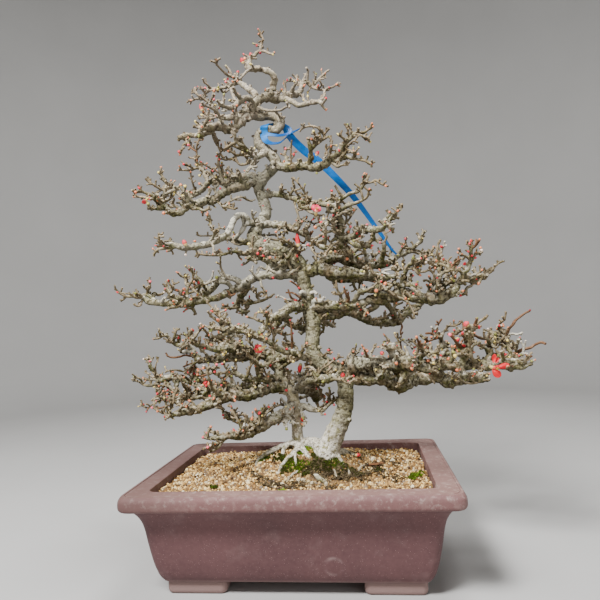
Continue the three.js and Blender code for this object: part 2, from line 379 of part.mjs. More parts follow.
const CROWN_LIMBS = [
  [-8, [-18, 590, 3.6], [-16, 600], [-15, 608], [-22, 615], [-30, 619], [-38, 621], [-46, 621, 2.4]],
  [8, [-46, 621, 2.4], [-48, 625], [-47, 632], [-45, 637], [-40, 639], [-36, 643], [-32, 645, 1.6],
    [-31, 650],
    [-29, 656], [-28, 661], [-31, 669, 0.9]],
  [-6, [-32, 644, 1.4], [-26, 643], [-20, 640], [-16, 638, 0.9]],
  [3, [-48, 622, 2.4], [-52, 625], [-50, 632, 1.5]],
  [-8, [-46, 621, 1.6], [-52, 618], [-58, 612], [-63, 608, 1]],
  [12, [-40, 578, 3.6], [-42, 588], [-50, 595], [-58, 602], [-63, 607], [-66, 613, 2]],
  [10, [-63, 606, 2.1], [-70, 603], [-78, 600], [-90, 600], [-98, 600], [-104, 600, 1.4]],
  [4, [-103, 600, 1.6], [-107, 595], [-109, 590, 1]],
  [-12, [-66, 611, 1.7], [-76, 616], [-82, 621], [-88, 628], [-94, 636, 0.9]],
  [10, [-62, 580, 1.9], [-66, 580], [-70, 585], [-72, 592], [-74, 598, 1]],
  [14, [-24, 582, 4.2], [-15, 577], [-5, 580], [5, 582], [15, 583], [20, 588, 2.8]],
  [-6, [6, 582, 2.4], [10, 592], [14, 597, 1.3]],
  [5, [20, 588, 2.4], [20, 597], [15, 603, 1.3]],
  [-5, [16, 601, 1.3], [10, 600], [2, 601, 0.9]],
  [6, [20, 595, 1.4], [24, 602], [27, 608, 0.9]],
  [12, [20, 592, 2.3], [28, 597], [33, 590], [36, 592], [44, 600], [52, 606, 1.3]],
  [-8, [33, 590, 1.6], [45, 585], [60, 587], [66, 590, 0.9]],
  [-20, [-12, 578, 3], [0, 577], [8, 572], [15, 567], [25, 568], [35, 569], [42, 569], [46, 566, 1.8]],
  [5, [40, 569, 1.8], [49, 575], [50, 583], [52, 585, 1]],
  [-12, [-42, 562, 1.9], [-38, 569], [-30, 565], [-20, 563], [-8, 563], [-2, 566], [4, 568, 1.1]],
];
// Bare, weathered and dead pieces, and the reddish shoots of the last year
const DEAD_WOOD = [
  [2, [123, 226, 5], [122, 234], [120, 242, 4.8], [119, 253, 4.2]],
  [-8, [95, 352, 2.5], [94, 358], [92, 365], [92, 373, 1.5]],
  [-6, [119, 402, 1.7], [125, 403], [131, 404, 0.9]],
  [5, [139, 328, 2.4], [143, 330], [146, 337, 1.7]],
  [-8, [108, 340, 1.2], [115, 345], [122, 346], [127, 346, 0.7]],
  [-6, [6, 311, 1.3], [-5, 314], [-12, 315], [-18, 319], [-24, 319, 0.9]],
  [-6, [18, 321, 2.8], [24, 323], [28, 320, 1.2]],
  [-10, [16, 318, 2.6], [9, 324], [6, 321, 1.6]],
  [-8, [22, 308, 3], [26, 312], [33, 311], [37, 316, 1.4]],
  [-4, [-138, 253, 2.3], [-145, 253], [-154, 253, 1.8]],
  [4, [258, 254, 1.7], [253, 261], [248, 262], [243, 261, 1]],
  [-3, [249, 261, 1.4], [248, 268], [251, 272], [253, 277, 0.8]],
  [-5, [260, 258, 1.3], [266, 259], [272, 258], [278, 260, 0.9]],
  [-3, [278, 240, 1.1], [281, 250, 0.7]],
  [-3, [187, 366, 1], [190, 373], [191, 378, 0.7]],
  [-5, [-119, 339, 1.7], [-112, 344], [-108, 350], [-107, 357, 1.1]],
  [5, [-107, 282, 1.4], [-113, 277], [-113, 271, 0.8]],
  [-6, [-12, 180, 2.2], [-20, 184], [-25, 190, 1]],
];
const SHOOTS = [
  [-8, [131, 281, 1.2], [133, 274], [131, 268], [131, 260], [130, 252], [131, 245, 0.8]],
  [-8, [62, 304, 1.7], [68, 312], [65, 318], [63, 325, 1]],
  [-4, [259, 255, 1.6], [261, 264], [267, 270], [270, 275], [277, 280], [283, 284], [288, 286, 0.9]],
  [5, [263, 239, 1.4], [268, 245], [272, 250, 0.9]],
  [-8, [263, 234, 1.8], [270, 236], [276, 239], [285, 241], [292, 245], [298, 247], [304, 245, 1]],
  [4, [276, 224, 1.3], [281, 228], [287, 231, 0.8]],
  [-5, [218, 271, 1.7], [222, 273], [225, 280, 1.2]],
  [6, [213, 269, 1.4], [207, 267], [200, 263], [195, 262], [188, 262, 0.9]],
  [-6, [207, 241, 1.7], [200, 249], [195, 256], [190, 262, 1]],
  [-5, [180, 261, 1.6], [174, 261], [167, 264], [161, 264, 1]],
  [-3, [179, 260, 1.1], [176, 270], [179, 277], [182, 281, 0.7]],
  [7, [216, 256, 1.7], [220, 259], [226, 256], [232, 254], [238, 256, 1]],
  [-4, [236, 254, 1.2], [238, 260], [237, 266, 0.8]],
  [-5, [223, 367, 1.5], [228, 370], [233, 377, 1.1]],
  [-4, [197, 342, 1.2], [200, 348], [206, 353], [210, 355, 0.7]],
  [-7, [-8, 248, 1.5], [-7, 258], [-7, 268], [-7, 280], [-8, 287, 0.8]],
  [-6, [-136, 249, 1.5], [-142, 248], [-150, 249], [-158, 247], [-168, 247], [-174, 250, 0.8]],
  [6, [-133, 240, 1.3], [-143, 237], [-152, 234, 0.8]],
  [-4, [-134, 239, 1.1], [-140, 230], [-145, 223, 0.7]],
  [-6, [-171, 185, 1.3], [-178, 183], [-188, 181], [-196, 182, 0.8]],
  [-5, [10, 322, 1.3], [2, 333], [-5, 338, 0.8]],
  [-5, [6, 312, 1.3], [-4, 316], [-7, 321], [-9, 328, 0.9]],
  [-8, [8, 374, 1.4], [12, 384], [15, 388], [22, 395], [27, 402, 0.9]],
  [-3, [-137, 533, 1.1], [-133, 526], [-128, 521], [-123, 517, 0.8]],
];
// Surface roots, as [x, depth, lift above the soil, radius]
const ROOTS = [
  [[-8, 46, 2, 6], [-20, 42, 4, 4.2], [-32, 34, 4, 3.4], [-42, 24, 3, 2.9], [-50, 14, 1, 2.3],
    [-56, 2, -3, 1.8]],
  [[-2, 40, 0, 5], [-8, 28, 1, 3], [-14, 17, 1, 2.6], [-19, 8, 1, 2.2], [-25, 0, 0, 1.8],
    [-29, -10, -3, 1.4]],
  [[2, 38, 0, 5], [3, 28, 2, 3.6], [7, 20, 0, 3.2], [11, 10, -3, 2.6]],
  [[-8, 28, 0, 2.2], [-9, 16, 0, 1.5], [-9, 4, -1, 1.3], [-9, -8, -3, 1.1]],
  [[32, 22, 0, 8], [44, 12, 0, 2.6], [50, 4, 0, 1.9], [54, -6, -3, 1.5]],
  [[24, 14, 0, 8], [26, -14, 0, 3], [30, -30, 0, 2], [34, -44, -3, 1.6]],
  [[-4, 46, 1, 8], [8, 38, 3, 7.5], [20, 30, 3, 8.5], [30, 22, 2, 12]],
  [[34, 24, 0, 10], [54, 34, -1, 5], [72, 40, -5, 3]],
  [[14, 34, 0, 8], [6, 60, -1, 5], [-4, 78, -5, 3]],
];

// Side twigs that fill the limbs towards the viewer and away from it
const SPRAY_SPACING = 58;
const SPRAY_SEED = 41;
const SPRAY_FLOOR = 132;
const SPRAY_HOST = { thin: 2, thick: 6.6 };
const LABEL_KEEP_OFF = 9;
const BLOSSOM_KEEP_OFF = 13;
// How much further the limbs reach in depth than their stated drift
const DEPTH_SPREAD = 2.3;
// How far the built wood may leave the ways it follows
const TOLERANCES = { stem: 2.6, limb: 3.4, twig: 5.2 };
// A way that ends thinner than this ends in a point
const POINTED_UNDER = 1.7;

// Blue plastic tie-on label, as [x, height, depth, width] along the strap
const LABEL_THICK = 0.9;
const LABEL_TAIL = [
  [131, 365, 46, 2.6], [125, 372, 46, 3.2], [117, 385, 46, 4.4], [107, 401, 45, 5.8], [97, 417, 44, 6.6],
  [86, 434, 43, 7.8], [76, 448, 42, 8.8], [62, 465, 40, 10], [48, 481, 38, 11], [34, 495, 36, 12],
  [20, 507, 32, 12], [8, 520, 26, 12], [1, 530, 22, 12],
];
const LABEL_BEND = [
  [1, 530, 22, 12], [-1, 537, 27, 11.4], [-7, 542, 34, 10], [-15, 543.6, 36, 9], [-24, 544.2, 29, 8.4],
  [-28, 545.4, 17, 8.6], [-31, 543, 10, 9.6], [-32, 537, 11.6, 10], [-31, 529, 11.2, 10],
];
const LABEL_LOWER_LEG = [
  [-32, 531, 11.4, 4], [-29, 523, 9, 4], [-20, 519, 10, 3.4], [-11, 520, 13, 3.2], [-4, 525, 18, 3.2],
  [1, 530, 22, 3.2],
];
const LABEL_UPPER_LEG = [
  [-29, 533, 11.4, 4], [-22, 531.4, 11, 3.8], [-12, 529.6, 11.6, 3.6], [-2, 530.6, 16, 3.8],
  [8, 533, 20, 3.4],
  [19, 537.5, 20, 0.9],
];

// Flowers and buds, as [x and height of the base, x and height of the tip, radius, depth drift]
const BUDS = {
  bud_tall: [[7, 382], [5.5, 400], 3.1, -12],
  bud_hanging: [[3, 233], [0.5, 221], 3, -4],
  bud_low: [[3, 166], [3, 158], 3.4, -6],
  bud_far_left: [[-193, 457], [-201, 454], 3.1, -4],
  bud_second_left: [[-142, 393], [-146, 401], 3, -6],
  bud_crown_left: [[-113, 571], [-116, 581], 2.8, -4],
  bud_crown_top: [[-55, 630], [-58, 638], 2.8, -5],
  bud_upper_right: [[35, 499], [39, 505], 2.4, -6],
  bud_lower_left: [[-126, 209], [-120, 214], 3, -6],
  bud_crossing: [[-46, 270], [-48, 277], 2.8, -5],
  bud_stem: [[56, 212], [56, 219], 3, -14],
  bud_right_pair: [[147, 237], [147, 244], 2.6, -8],
  bud_right_high: [[214, 271], [209, 276], 3.8, -6],
  bud_right_far: [[258, 231], [253, 235], 3, -5],
  bud_pink_side: [[109, 240], [104, 243], 2.8, -6],
  bud_left_tall: [[-96, 270], [-96, 279], 2.8, -8],
};
const FLOWERS = {
  flower_top: { from: [31, 424], face: [34, 434], petal: 6.2, open: 0.95, drift: -8 },
  flower_left: { from: [-43, 256], face: [-55, 253], petal: 6.4, open: 0.5, drift: -12 },
  flower_right: { from: [240, 222], face: [248, 214], petal: 11, open: 1.2, drift: -12 },
};
const PETALS = 5;
const STALK_RADIUS = 2;

const COLOURS = {
  clay: new THREE.MeshStandardMaterial({ color: 0x5d4144, roughness: 0.82, metalness: 0 }),
  soil: new THREE.MeshStandardMaterial({ color: 0x9a7d55, roughness: 0.95, metalness: 0 }),
  bark: new THREE.MeshStandardMaterial({ color: 0x7d745f, roughness: 0.9, metalness: 0 }),
  label: new THREE.MeshStandardMaterial({ color: 0x1f7fcf, roughness: 0.35, metalness: 0 }),
  petal: new THREE.MeshStandardMaterial({ color: 0xd8475a, roughness: 0.55, metalness: 0 }),
  leaf: new THREE.MeshStandardMaterial({ color: 0x6b4a30, roughness: 0.85, metalness: 0 }),
  screen: new THREE.MeshStandardMaterial({ color: 0x23262a, roughness: 0.6, metalness: 0 }),
};

// A repeatable stream of numbers from 0 to 1
function randomStream(seed) {
  let state = seed >>> 0;
  return () => {
    state = (state + 0x6d2b79f5) >>> 0;
    let t = state;
    t = Math.imul(t ^ (t >>> 15), t | 1);
    t ^= t + Math.imul(t ^ (t >>> 7), t | 61);
    return ((t ^ (t >>> 14)) >>> 0) / 4294967296;
  };
}

// A closed geometry as a solid, and a solid back as a geometry
function solidOf(geometry) {
  const bare = geometry.index ? geometry.toNonIndexed() : geometry.clone();
  for (const name of Object.keys(bare.attributes)) {
    if (name !== "position") bare.deleteAttribute(name);
  }
  const merged = mergeVertices(bare, 1e-4);
  return new wasm.Manifold(
    new wasm.Mesh({
      numProp: 3,
      vertProperties: new Float32Array(merged.attributes.position.array),
      triVerts: new Uint32Array(merged.index.array),
    }),
  );
}

function geometryOf(solid) {
  const mesh = solid.getMesh();
  const geometry = new THREE.BufferGeometry();
  geometry.setAttribute("position", new THREE.BufferAttribute(mesh.vertProperties.slice(), 3));
  geometry.setIndex(new THREE.BufferAttribute(mesh.triVerts.slice(), 1));
  const flat = geometry.toNonIndexed();
  flat.computeVertexNormals();
  return flat;
}

// The point seen at [x, height] on the sheet, at another depth
function seen(x, height, depth) {
  const onSheet = new THREE.Vector3(x, SHEET, height);
  const reach = (depth - EYE.y) / (SHEET - EYE.y);
  return EYE.clone().addScaledVector(onSheet.sub(EYE), reach);
}

function soilHeight(x, y) {
  const across = (x - MOUND.x) / MOUND.wide;
  const back = (y - MOUND.y) / MOUND.deep;
  const mound = MOUND.height * Math.exp(-across * across - back * back);
  const ripple = 0.9 * Math.sin(x * 0.11 + 1.3) * Math.cos(y * 0.13) + 0.6 * Math.sin(x * 0.31 + y * 0.27);
  return SOIL_EDGE + mound + ripple;
}

// A rounded rectangle drawn out upwards, each step inset and set at the height that the outline gives
function walledBlock(length, depth, corner, outline, curveSegments = 3) {
  const halfX = length / 2;
  const halfY = depth / 2;
  const shape = new THREE.Shape();
  shape.moveTo(-halfX + corner, -halfY);
  shape.lineTo(halfX - corner, -halfY);
  shape.absarc(halfX - corner, -halfY + corner, corner, -Math.PI / 2, 0);
  shape.lineTo(halfX, halfY - corner);
  shape.absarc(halfX - corner, halfY - corner, corner, 0, Math.PI / 2);
  shape.lineTo(-halfX + corner, halfY);
  shape.absarc(-halfX + corner, halfY - corner, corner, Math.PI / 2, Math.PI);
  shape.lineTo(-halfX, -halfY + corner);
  shape.absarc(-halfX + corner, -halfY + corner, corner, Math.PI, Math.PI * 1.5);
  const steps = outline.length - 1;
  const plan = { depth: steps, steps, bevelEnabled: false, curveSegments };
  const block = new THREE.ExtrudeGeometry(shape, plan);
  const place = block.attributes.position;
  for (let i = 0; i < place.count; i++) {
    const [inset, height] = outline[Math.round(place.getZ(i))];
    place.setX(i, place.getX(i) * (1 - inset / halfX));
    place.setY(i, place.getY(i) * (1 - inset / halfY));
    place.setZ(i, height);
  }
  return solidOf(block);
}

function makePot() {
  const outside = walledBlock(POT_LENGTH, POT_DEPTH, POT_CORNER, POT_OUTSIDE);
  const inside = walledBlock(POT_LENGTH, POT_DEPTH, POT_CORNER, POT_INSIDE);
  let pot = outside.subtract(inside);
  const footX = POT_LENGTH / 2 - FOOT_INSET - FOOT_LENGTH / 2;
  const footY = POT_DEPTH / 2 - FOOT_INSET - FOOT_DEPTH / 2;
  const footOutline = [
    [4, 0],
    [0.8, 2.4],
    [0, FOOT_HEIGHT + 2],
  ];
  for (const sideX of [-1, 1]) {
    for (const sideY of [-1, 1]) {
      const foot = walledBlock(FOOT_LENGTH, FOOT_DEPTH, FOOT_CORNER, footOutline, 1);
      pot = pot.add(foot.translate([sideX * footX, sideY * footY, 0]));
    }
    const drill = new THREE.CylinderGeometry(DRAIN_RADIUS, DRAIN_RADIUS, 40, 20).rotateX(Math.PI / 2);
    pot = pot.subtract(solidOf(drill).translate([sideX * DRAIN_SPREAD, 0, 20]));
  }
  return pot;
}

// A square of coarse plastic mesh over one drain hole
function makeScreen(sideX) {
  let screen = solidOf(new THREE.BoxGeometry(SCREEN_SIZE, SCREEN_SIZE, SCREEN_THICK));
  const pitch = SCREEN_SIZE / 3;
  for (let column = -1; column <= 1; column++) {
    for (let row = -1; row <= 1; row++) {
      const hole = solidOf(new THREE.BoxGeometry(pitch - 2.4, pitch - 2.4, 4));
      screen = screen.subtract(hole.translate([column * pitch, row * pitch, 0]));
    }
  }
  const floor = POT_INSIDE[0][1];
  return screen.translate([sideX * DRAIN_SPREAD, 0, floor + CLEARANCE + SCREEN_THICK / 2]);
}

function makeSoil(roots) {
  const bed = new THREE.BoxGeometry(POT_LENGTH, POT_DEPTH, 1, SOIL_COLUMNS, SOIL_ROWS, 1);
  const place = bed.attributes.position;
  for (let i = 0; i < place.count; i++) {
    const top = place.getZ(i) > 0;
    place.setZ(i, top ? soilHeight(place.getX(i), place.getY(i)) : 0);
  }
  const fill = POT_INSIDE.map(([inset, height]) => [inset + CLEARANCE, height]);
  fill[0][1] += CLEARANCE;
  fill[fill.length - 1][1] += 60;
  let soil = solidOf(bed).intersect(walledBlock(POT_LENGTH, POT_DEPTH, POT_CORNER, fill));
  for (const sideX of [-1, 1]) {
    const pocketDeep = 2 * (SCREEN_THICK + 2 * CLEARANCE);
    const pocket = new THREE.BoxGeometry(SCREEN_SIZE + 1, SCREEN_SIZE + 1, pocketDeep);
    soil = soil.subtract(solidOf(pocket).translate([sideX * DRAIN_SPREAD, 0, POT_INSIDE[0][1]]));
  }
  for (const root of roots) soil = soil.subtract(limbSolid(root, CLEARANCE + 0.1));
  return largest(soil);
}

function largest(solid) {
  const bodies = solid.decompose();
  bodies.sort((a, b) => b.volume() - a.volume());
  return bodies[0];
}

// Wood as it grows: each way is a list of { point, radius, sheet } from root to tip
const wood = [];

function nearestWood(x, height, radius) {
  let best = null;
  for (const way of wood) {
    for (let i = 0; i + 1 < way.length; i++) {
      const a = way[i];
      const b = way[i + 1];
      const runX = b.sheet[0] - a.sheet[0];
      const runZ = b.sheet[1] - a.sheet[1];
      const length = runX * runX + runZ * runZ || 1;
      let t = ((x - a.sheet[0]) * runX + (height - a.sheet[1]) * runZ) / length;
      t = Math.min(1, Math.max(0, t));
      const there = a.radius + (b.radius - a.radius) * t;
      const gap = Math.hypot(x - a.sheet[0] - runX * t, height - a.sheet[1] - runZ * t);
      const cost = gap + (there < radius * 0.72 ? 12 : 0);
      if (!best || cost < best.cost) {
        const sheet = [a.sheet[0] + runX * t, a.sheet[1] + runZ * t];
        const depth = a.point.y + (b.point.y - a.point.y) * t;
        best = { cost, gap, sheet, depth, radius: there };
      }
    }
  }
  return best;
}

function growStem(points) {
  const way = points.map(([x, height, depth, radius]) => {
    return { sheet: [x, height], point: seen(x, height, depth), radius };
  });
  wood.push(way);
}

// Radii between the points that state one follow a straight line
function filledRadii(points) {
  const radii = points.map((p) => p[2]);
  for (let i = 0; i < radii.length; i++) {
    if (radii[i] !== undefined) continue;
    let next = i;
    while (radii[next] === undefined) next++;
    radii[i] = radii[i - 1] + (radii[next] - radii[i - 1]) / (next - i + 1);
  }
  return radii;
}

function growLimb([drift, ...points]) {
  const radii = filledRadii(points);
  const root = nearestWood(points[0][0], points[0][1], radii[0]);
  const sheets = points.map(([x, height]) => [x, height]);
  if (root.gap < radii[0] * 1.2) sheets[0] = root.sheet;
  else {
    sheets.unshift(root.sheet);
    radii.unshift(Math.min(radii[0], root.radius));
  }
  const lengths = [0];
  for (let i = 1; i < sheets.length; i++) {
    const step = Math.hypot(sheets[i][0] - sheets[i - 1][0], sheets[i][1] - sheets[i - 1][1]);
    lengths.push(lengths[i - 1] + step);
  }
  const total = lengths[lengths.length - 1];
  const sway = Math.min(5, total * 0.05);
  const way = sheets.map(([x, height], i) => {
    const share = lengths[i] / total;
    const wander = sway * Math.sin(share * Math.PI * 3 + points.length) * Math.min(1, share * 3);
    const depth = root.depth + DEPTH_SPREAD * drift * share + wander;
    return { sheet: [x, height], point: seen(x, height, depth), radius: radii[i] };
  });
  wood.push(way);
  return way;
}

function growRoot(points) {
  return points.map(([x, depth, lift, radius]) => {
    return { point: new THREE.Vector3(x, depth, soilHeight(x, depth) + lift - radius * 0.3), radius };
  });
}

function distanceToLine(point, line) {
  const spot = new THREE.Vector3();
  let best = Infinity;
  for (let i = 0; i + 1 < line.length; i++) {
    new THREE.Line3(line[i], line[i + 1]).closestPointToPoint(point, true, spot);
    best = Math.min(best, spot.distanceTo(point));
  }
  return best;
}

const labelLine = [...LABEL_TAIL, ...LABEL_BEND, ...LABEL_LOWER_LEG, ...LABEL_UPPER_LEG].map(
  ([x, height, depth]) => seen(x, height, depth),
);

// One twig that wanders as it goes
function sprayFrom(start, heading, reach, radius, random) {
  const way = [{ point: start.clone(), radius }];
  const aim = heading.clone();
  const spot = start.clone();
  for (let i = 1; i <= 4; i++) {
    const jitter = new THREE.Vector3(random() - 0.5, random() - 0.5, random() - 0.4);
    aim.addScaledVector(jitter, 1.1).normalize();
    spot.addScaledVector(aim, (reach / 4) * (0.8 + 0.4 * random()));
    way.push({ point: spot.clone(), radius: radius * (1 - 0.15 * i) });
  }
  return way;
}

function clearOfNeighbours(way) {
  return way.every(({ point }) => {
    if (point.z < SPRAY_FLOOR) return false;
    if (distanceToLine(point, labelLine) < LABEL_KEEP_OFF) return false;
    return blossomSpots.every((spot) => spot.distanceTo(point) > BLOSSOM_KEEP_OFF);
  });
}

function growSprays(limbs) {
  const sprays = [];
  limbs.forEach((way, index) => {
    const random = randomStream(SPRAY_SEED + index * 7);
    let run = 0;
    let next = SPRAY_SPACING * (0.5 + random());
    let side = random() < 0.5 ? -1 : 1;
    for (let i = 1; i < way.length; i++) {
      const step = way[i].point.distanceTo(way[i - 1].point);
      run += step;
      if (run < next || way[i].radius > SPRAY_HOST.thick || way[i].radius < SPRAY_HOST.thin) continue;
      next = run + SPRAY_SPACING * (0.8 + 0.5 * random());
      side = -side;
      const along = way[i].point.clone().sub(way[i - 1].point).normalize();
      const heading = new THREE.Vector3(along.x * 0.5, side, 0.35).normalize();
      const reach = 16 + way[i].radius * 9 * (0.7 + 0.5 * random());
      const radius = Math.min(2.1, way[i].radius * 0.55);
      const spray = sprayFrom(way[i].point, heading, reach, radius, random);
      if (clearOfNeighbours(spray)) sprays.push(spray);
    }
  });
  return sprays;
}

// Points that the way does without, within a tolerance, are left out
function thinned(way, tolerance) {
  if (way.length < 3) return way;
  const first = way[0];
  const last = way[way.length - 1];
  let worst = 0;
  let at = 0;
  for (let i = 1; i + 1 < way.length; i++) {
    const gap = distanceToLine(way[i].point, [first.point, last.point]);
    if (gap > worst) {
      worst = gap;
      at = i;
    }
  }
  if (worst < tolerance) return [first, last];
  return [...thinned(way.slice(0, at + 1), tolerance).slice(0, -1), ...thinned(way.slice(at), tolerance)];
}

function sidesFor(radius) {
  if (radius > 7.6) return 8;
  if (radius > 4.5) return 5;
  return radius > 3 ? 4 : 3;
}

function simplified(way) {
  const radius = Math.max(...way.map((p) => p.radius));
  const size = radius > 7 ? "stem" : radius > 3 ? "limb" : "twig";
  return thinned(way, TOLERANCES[size]);
}

// A closed cylinder whose rings are moved on to the way, each square to it. A fine tip ends in a point.
function limbSolid(way, grow = 0) {
  const sides = sidesFor(Math.max(...way.map((p) => p.radius)));
  const tube = new THREE.CylinderGeometry(1, 1, 1, sides, way.length - 1);
  const pointed = grow === 0 && way[way.length - 1].radius < POINTED_UNDER;
  const points = way.map((p) => p.point);
  const tangents = points.map((p, i) => {
    const before = points[Math.max(0, i - 1)];
    const after = points[Math.min(points.length - 1, i + 1)];
    return after.clone().sub(before).normalize();
  });
  const frames = [];
  const across = new THREE.Vector3(0, 1, 0);
  if (Math.abs(tangents[0].y) > 0.8) across.set(1, 0, 0);
  for (const tangent of tangents) {
    across.addScaledVector(tangent, -across.dot(tangent)).normalize();
    frames.push([across.clone(), new THREE.Vector3().crossVectors(across, tangent)]);
  }
  const place = tube.attributes.position;
  for (let i = 0; i < place.count; i++) {
    const ring = Math.round((place.getY(i) + 0.5) * (way.length - 1));
    const radius = pointed && ring === way.length - 1 ? 0 : way[ring].radius + grow;
    const [side, up] = frames[ring];
    const spot = points[ring].clone();
    if (grow && ring === way.length - 1) spot.addScaledVector(tangents[ring], grow);
    if (grow && ring === 0) spot.addScaledVector(tangents[ring], -grow);
    spot.addScaledVector(side, place.getX(i) * radius).addScaledVector(up, place.getZ(i) * radius);
    place.setXYZ(i, spot.x, spot.y, spot.z);
  }
  return solidOf(tube);
}

// A flat strap along the points, its width turned across the way and up
function strapSolid(points, turn) {
  const spine = points.map(([x, height, depth]) => seen(x, height, depth));
  const strap = new THREE.BoxGeometry(1, 1, 1, 1, 1, points.length - 1);
  const place = strap.attributes.position;
  for (let i = 0; i < place.count; i++) {
    const ring = Math.round((place.getZ(i) + 0.5) * (points.length - 1));
    const before = spine[Math.max(0, ring - 1)];
    const after = spine[Math.min(spine.length - 1, ring + 1)];
    const along = after.clone().sub(before).normalize();
    const share = ring / (points.length - 1);
    const wide = turn[0].clone().lerp(turn[1], share);
    wide.addScaledVector(along, -wide.dot(along)).normalize();
    const thick = new THREE.Vector3().crossVectors(along, wide);
    const spot = spine[ring].clone();
    spot.addScaledVector(wide, place.getX(i) * points[ring][3]);
    spot.addScaledVector(thick, place.getY(i) * LABEL_THICK);
    place.setXYZ(i, spot.x, spot.y, spot.z);
  }
  return solidOf(strap);
}

function makeLabel() {
  const tail = strapSolid(LABEL_TAIL, [new THREE.Vector3(0.8, 0.1, 0.6), new THREE.Vector3(0.7, 0.5, 0.7)]);
  const bend = strapSolid(LABEL_BEND, [new THREE.Vector3(0.7, 0.5, 0.7), new THREE.Vector3(1, 0, 0)]);
  const flat = new THREE.Vector3(0, 0.75, 0.65);
  const lower = strapSolid(LABEL_LOWER_LEG, [new THREE.Vector3(1, 0, 0.2), flat]);
  const upper = strapSolid(LABEL_UPPER_LEG, [new THREE.Vector3(0.3, 0, 1), flat]);
  return tail.add(bend).add(lower).add(upper);
}

// An egg-shaped bud drawn from its base to its tip
function budSolid(base, tip, radius) {
  const outline = [
    [0, 0], [0.66, 0.05], [1, 0.36], [0.86, 0.66], [0.5, 0.89], [0, 1],
  ];
  const length = tip.distanceTo(base);
  const egg = new THREE.LatheGeometry(outline.map(([r, t]) => new THREE.Vector2(r * radius, t * length)), 7);
  const turn = new THREE.Quaternion().setFromUnitVectors(
    new THREE.Vector3(0, 1, 0),
    tip.clone().sub(base).normalize(),
  );
  egg.applyQuaternion(turn).translate(base.x, base.y, base.z);
  return solidOf(egg);
}

// A cupped petal lying along +X from the middle of the flower
function petalSolid(size, open) {
  const petal = new THREE.SphereGeometry(1, 6, 3);
  const place = petal.attributes.position;
  for (let i = 0; i < place.count; i++) {
    const along = place.getX(i) * 0.5 + 0.5;
    const cup = 0.34 * along * along + 0.3 * place.getY(i) * place.getY(i) * along;
    const x = along * size;
    const y = place.getY(i) * size * 0.47 * (0.55 + 0.45 * along);
    place.setXYZ(i, x, y, cup * size + place.getZ(i) * 0.5);
  }
  return petal.rotateY(-(Math.PI / 2) + open).translate(0, 0, size * 0.22);
}

function flowerSolid(spot, facing, size, open) {
  const turn = new THREE.Quaternion().setFromUnitVectors(new THREE.Vector3(0, 0, 1), facing);
  const heart = new THREE.SphereGeometry(size * 0.26, 5, 3).rotateX(Math.PI / 2);
  heart.translate(0, 0, size * 0.26);
  let flower = solidOf(heart.applyQuaternion(turn));
  for (let i = 0; i < PETALS; i++) {
    const petal = petalSolid(size, open).rotateZ((i * 2 * Math.PI) / PETALS);
    flower = flower.add(solidOf(petal.applyQuaternion(turn)));
  }
  return largest(flower).translate([spot.x, spot.y, spot.z]);
}

// Where each bud or flower sits, worked out from the wood that is nearest to its base
function seatOf([x, height], drift) {
  const host = nearestWood(x, height, 0.1);
  return seen(x, height, host.depth + drift);
}

const blossomSpots = [];
const blossoms = [];

function placeBlossoms() {
  for (const [name, [from, to, radius, drift]] of Object.entries(BUDS)) {
    const base = seatOf(from, drift);
    const tip = seen(to[0], to[1], base.y - 1);
    const start = base.clone().addScaledVector(tip.clone().sub(base).normalize(), CLEARANCE);
    const stalk = Math.max(STALK_RADIUS, radius * 0.7);
    blossoms.push({ name, solid: budSolid(start, tip, radius), base, tip, stalk });
  }
  for (const [name, { from, face, petal, open, drift }] of Object.entries(FLOWERS)) {
    const base = seatOf(from, drift);
    const tip = seen(face[0], face[1], base.y - 7);
    const facing = tip.clone().sub(base).normalize();
    const start = base.clone().addScaledVector(facing, CLEARANCE);
    const solid = flowerSolid(start, facing, petal, open);
    blossoms.push({ name, solid, base, tip, stalk: STALK_RADIUS });
  }
  for (const { base, tip } of blossoms) blossomSpots.push(base.clone().lerp(tip, 0.6));
}

// The stalk that carries a bud or flower, grown from its host
function stalkWays(built) {
  return blossoms.map(({ base, tip, stalk }) => {
    const lead = base.clone().sub(tip).normalize();
    const before = base.clone().addScaledVector(lead, 3);
    return [
      { point: nearestBuilt(before, built).point, radius: 1 },
      { point: before, radius: 0.9 },
      { point: base, radius: stalk },
    ];
  });
}

// The nearest spot on the built wood that is thick enough to carry something
function nearestBuilt(point, ways) {
  const spot = new THREE.Vector3();
  let best = null;
  for (const way of ways) {
    for (let i = 0; i + 1 < way.length; i++) {
      const segment = new THREE.Line3(way[i].point, way[i + 1].point);
      let t = segment.closestPointToPointParameter(point, true);
      const tip = i + 2 === way.length && way[i + 1].radius < POINTED_UNDER;
      const end = tip ? 0 : way[i + 1].radius;
      if (tip) t = Math.min(t, 1 - 0.7 / way[i].radius);
      const gap = segment.at(Math.max(0, t), spot).distanceTo(point);
      const radius = way[i].radius + (end - way[i].radius) * t;
      if (!best || gap - radius < best.gap) best = { gap: gap - radius, point: spot.clone(), radius };
    }
  }
  return best;
}

// Each way without its needless points, and rooted on the wood that was built before it
function buildable(ways) {
  const built = [];
  for (const way of ways) {
    const plain = simplified(way);
    if (built.length > 1) plain[0] = { ...plain[0], point: nearestBuilt(way[0].point, built).point };
    built.push(plain);
  }
  return built;
}

function makeTree(ways) {
  const solids = ways.map((way) => limbSolid(way));
  return largest(wasm.Manifold.union(solids));
}

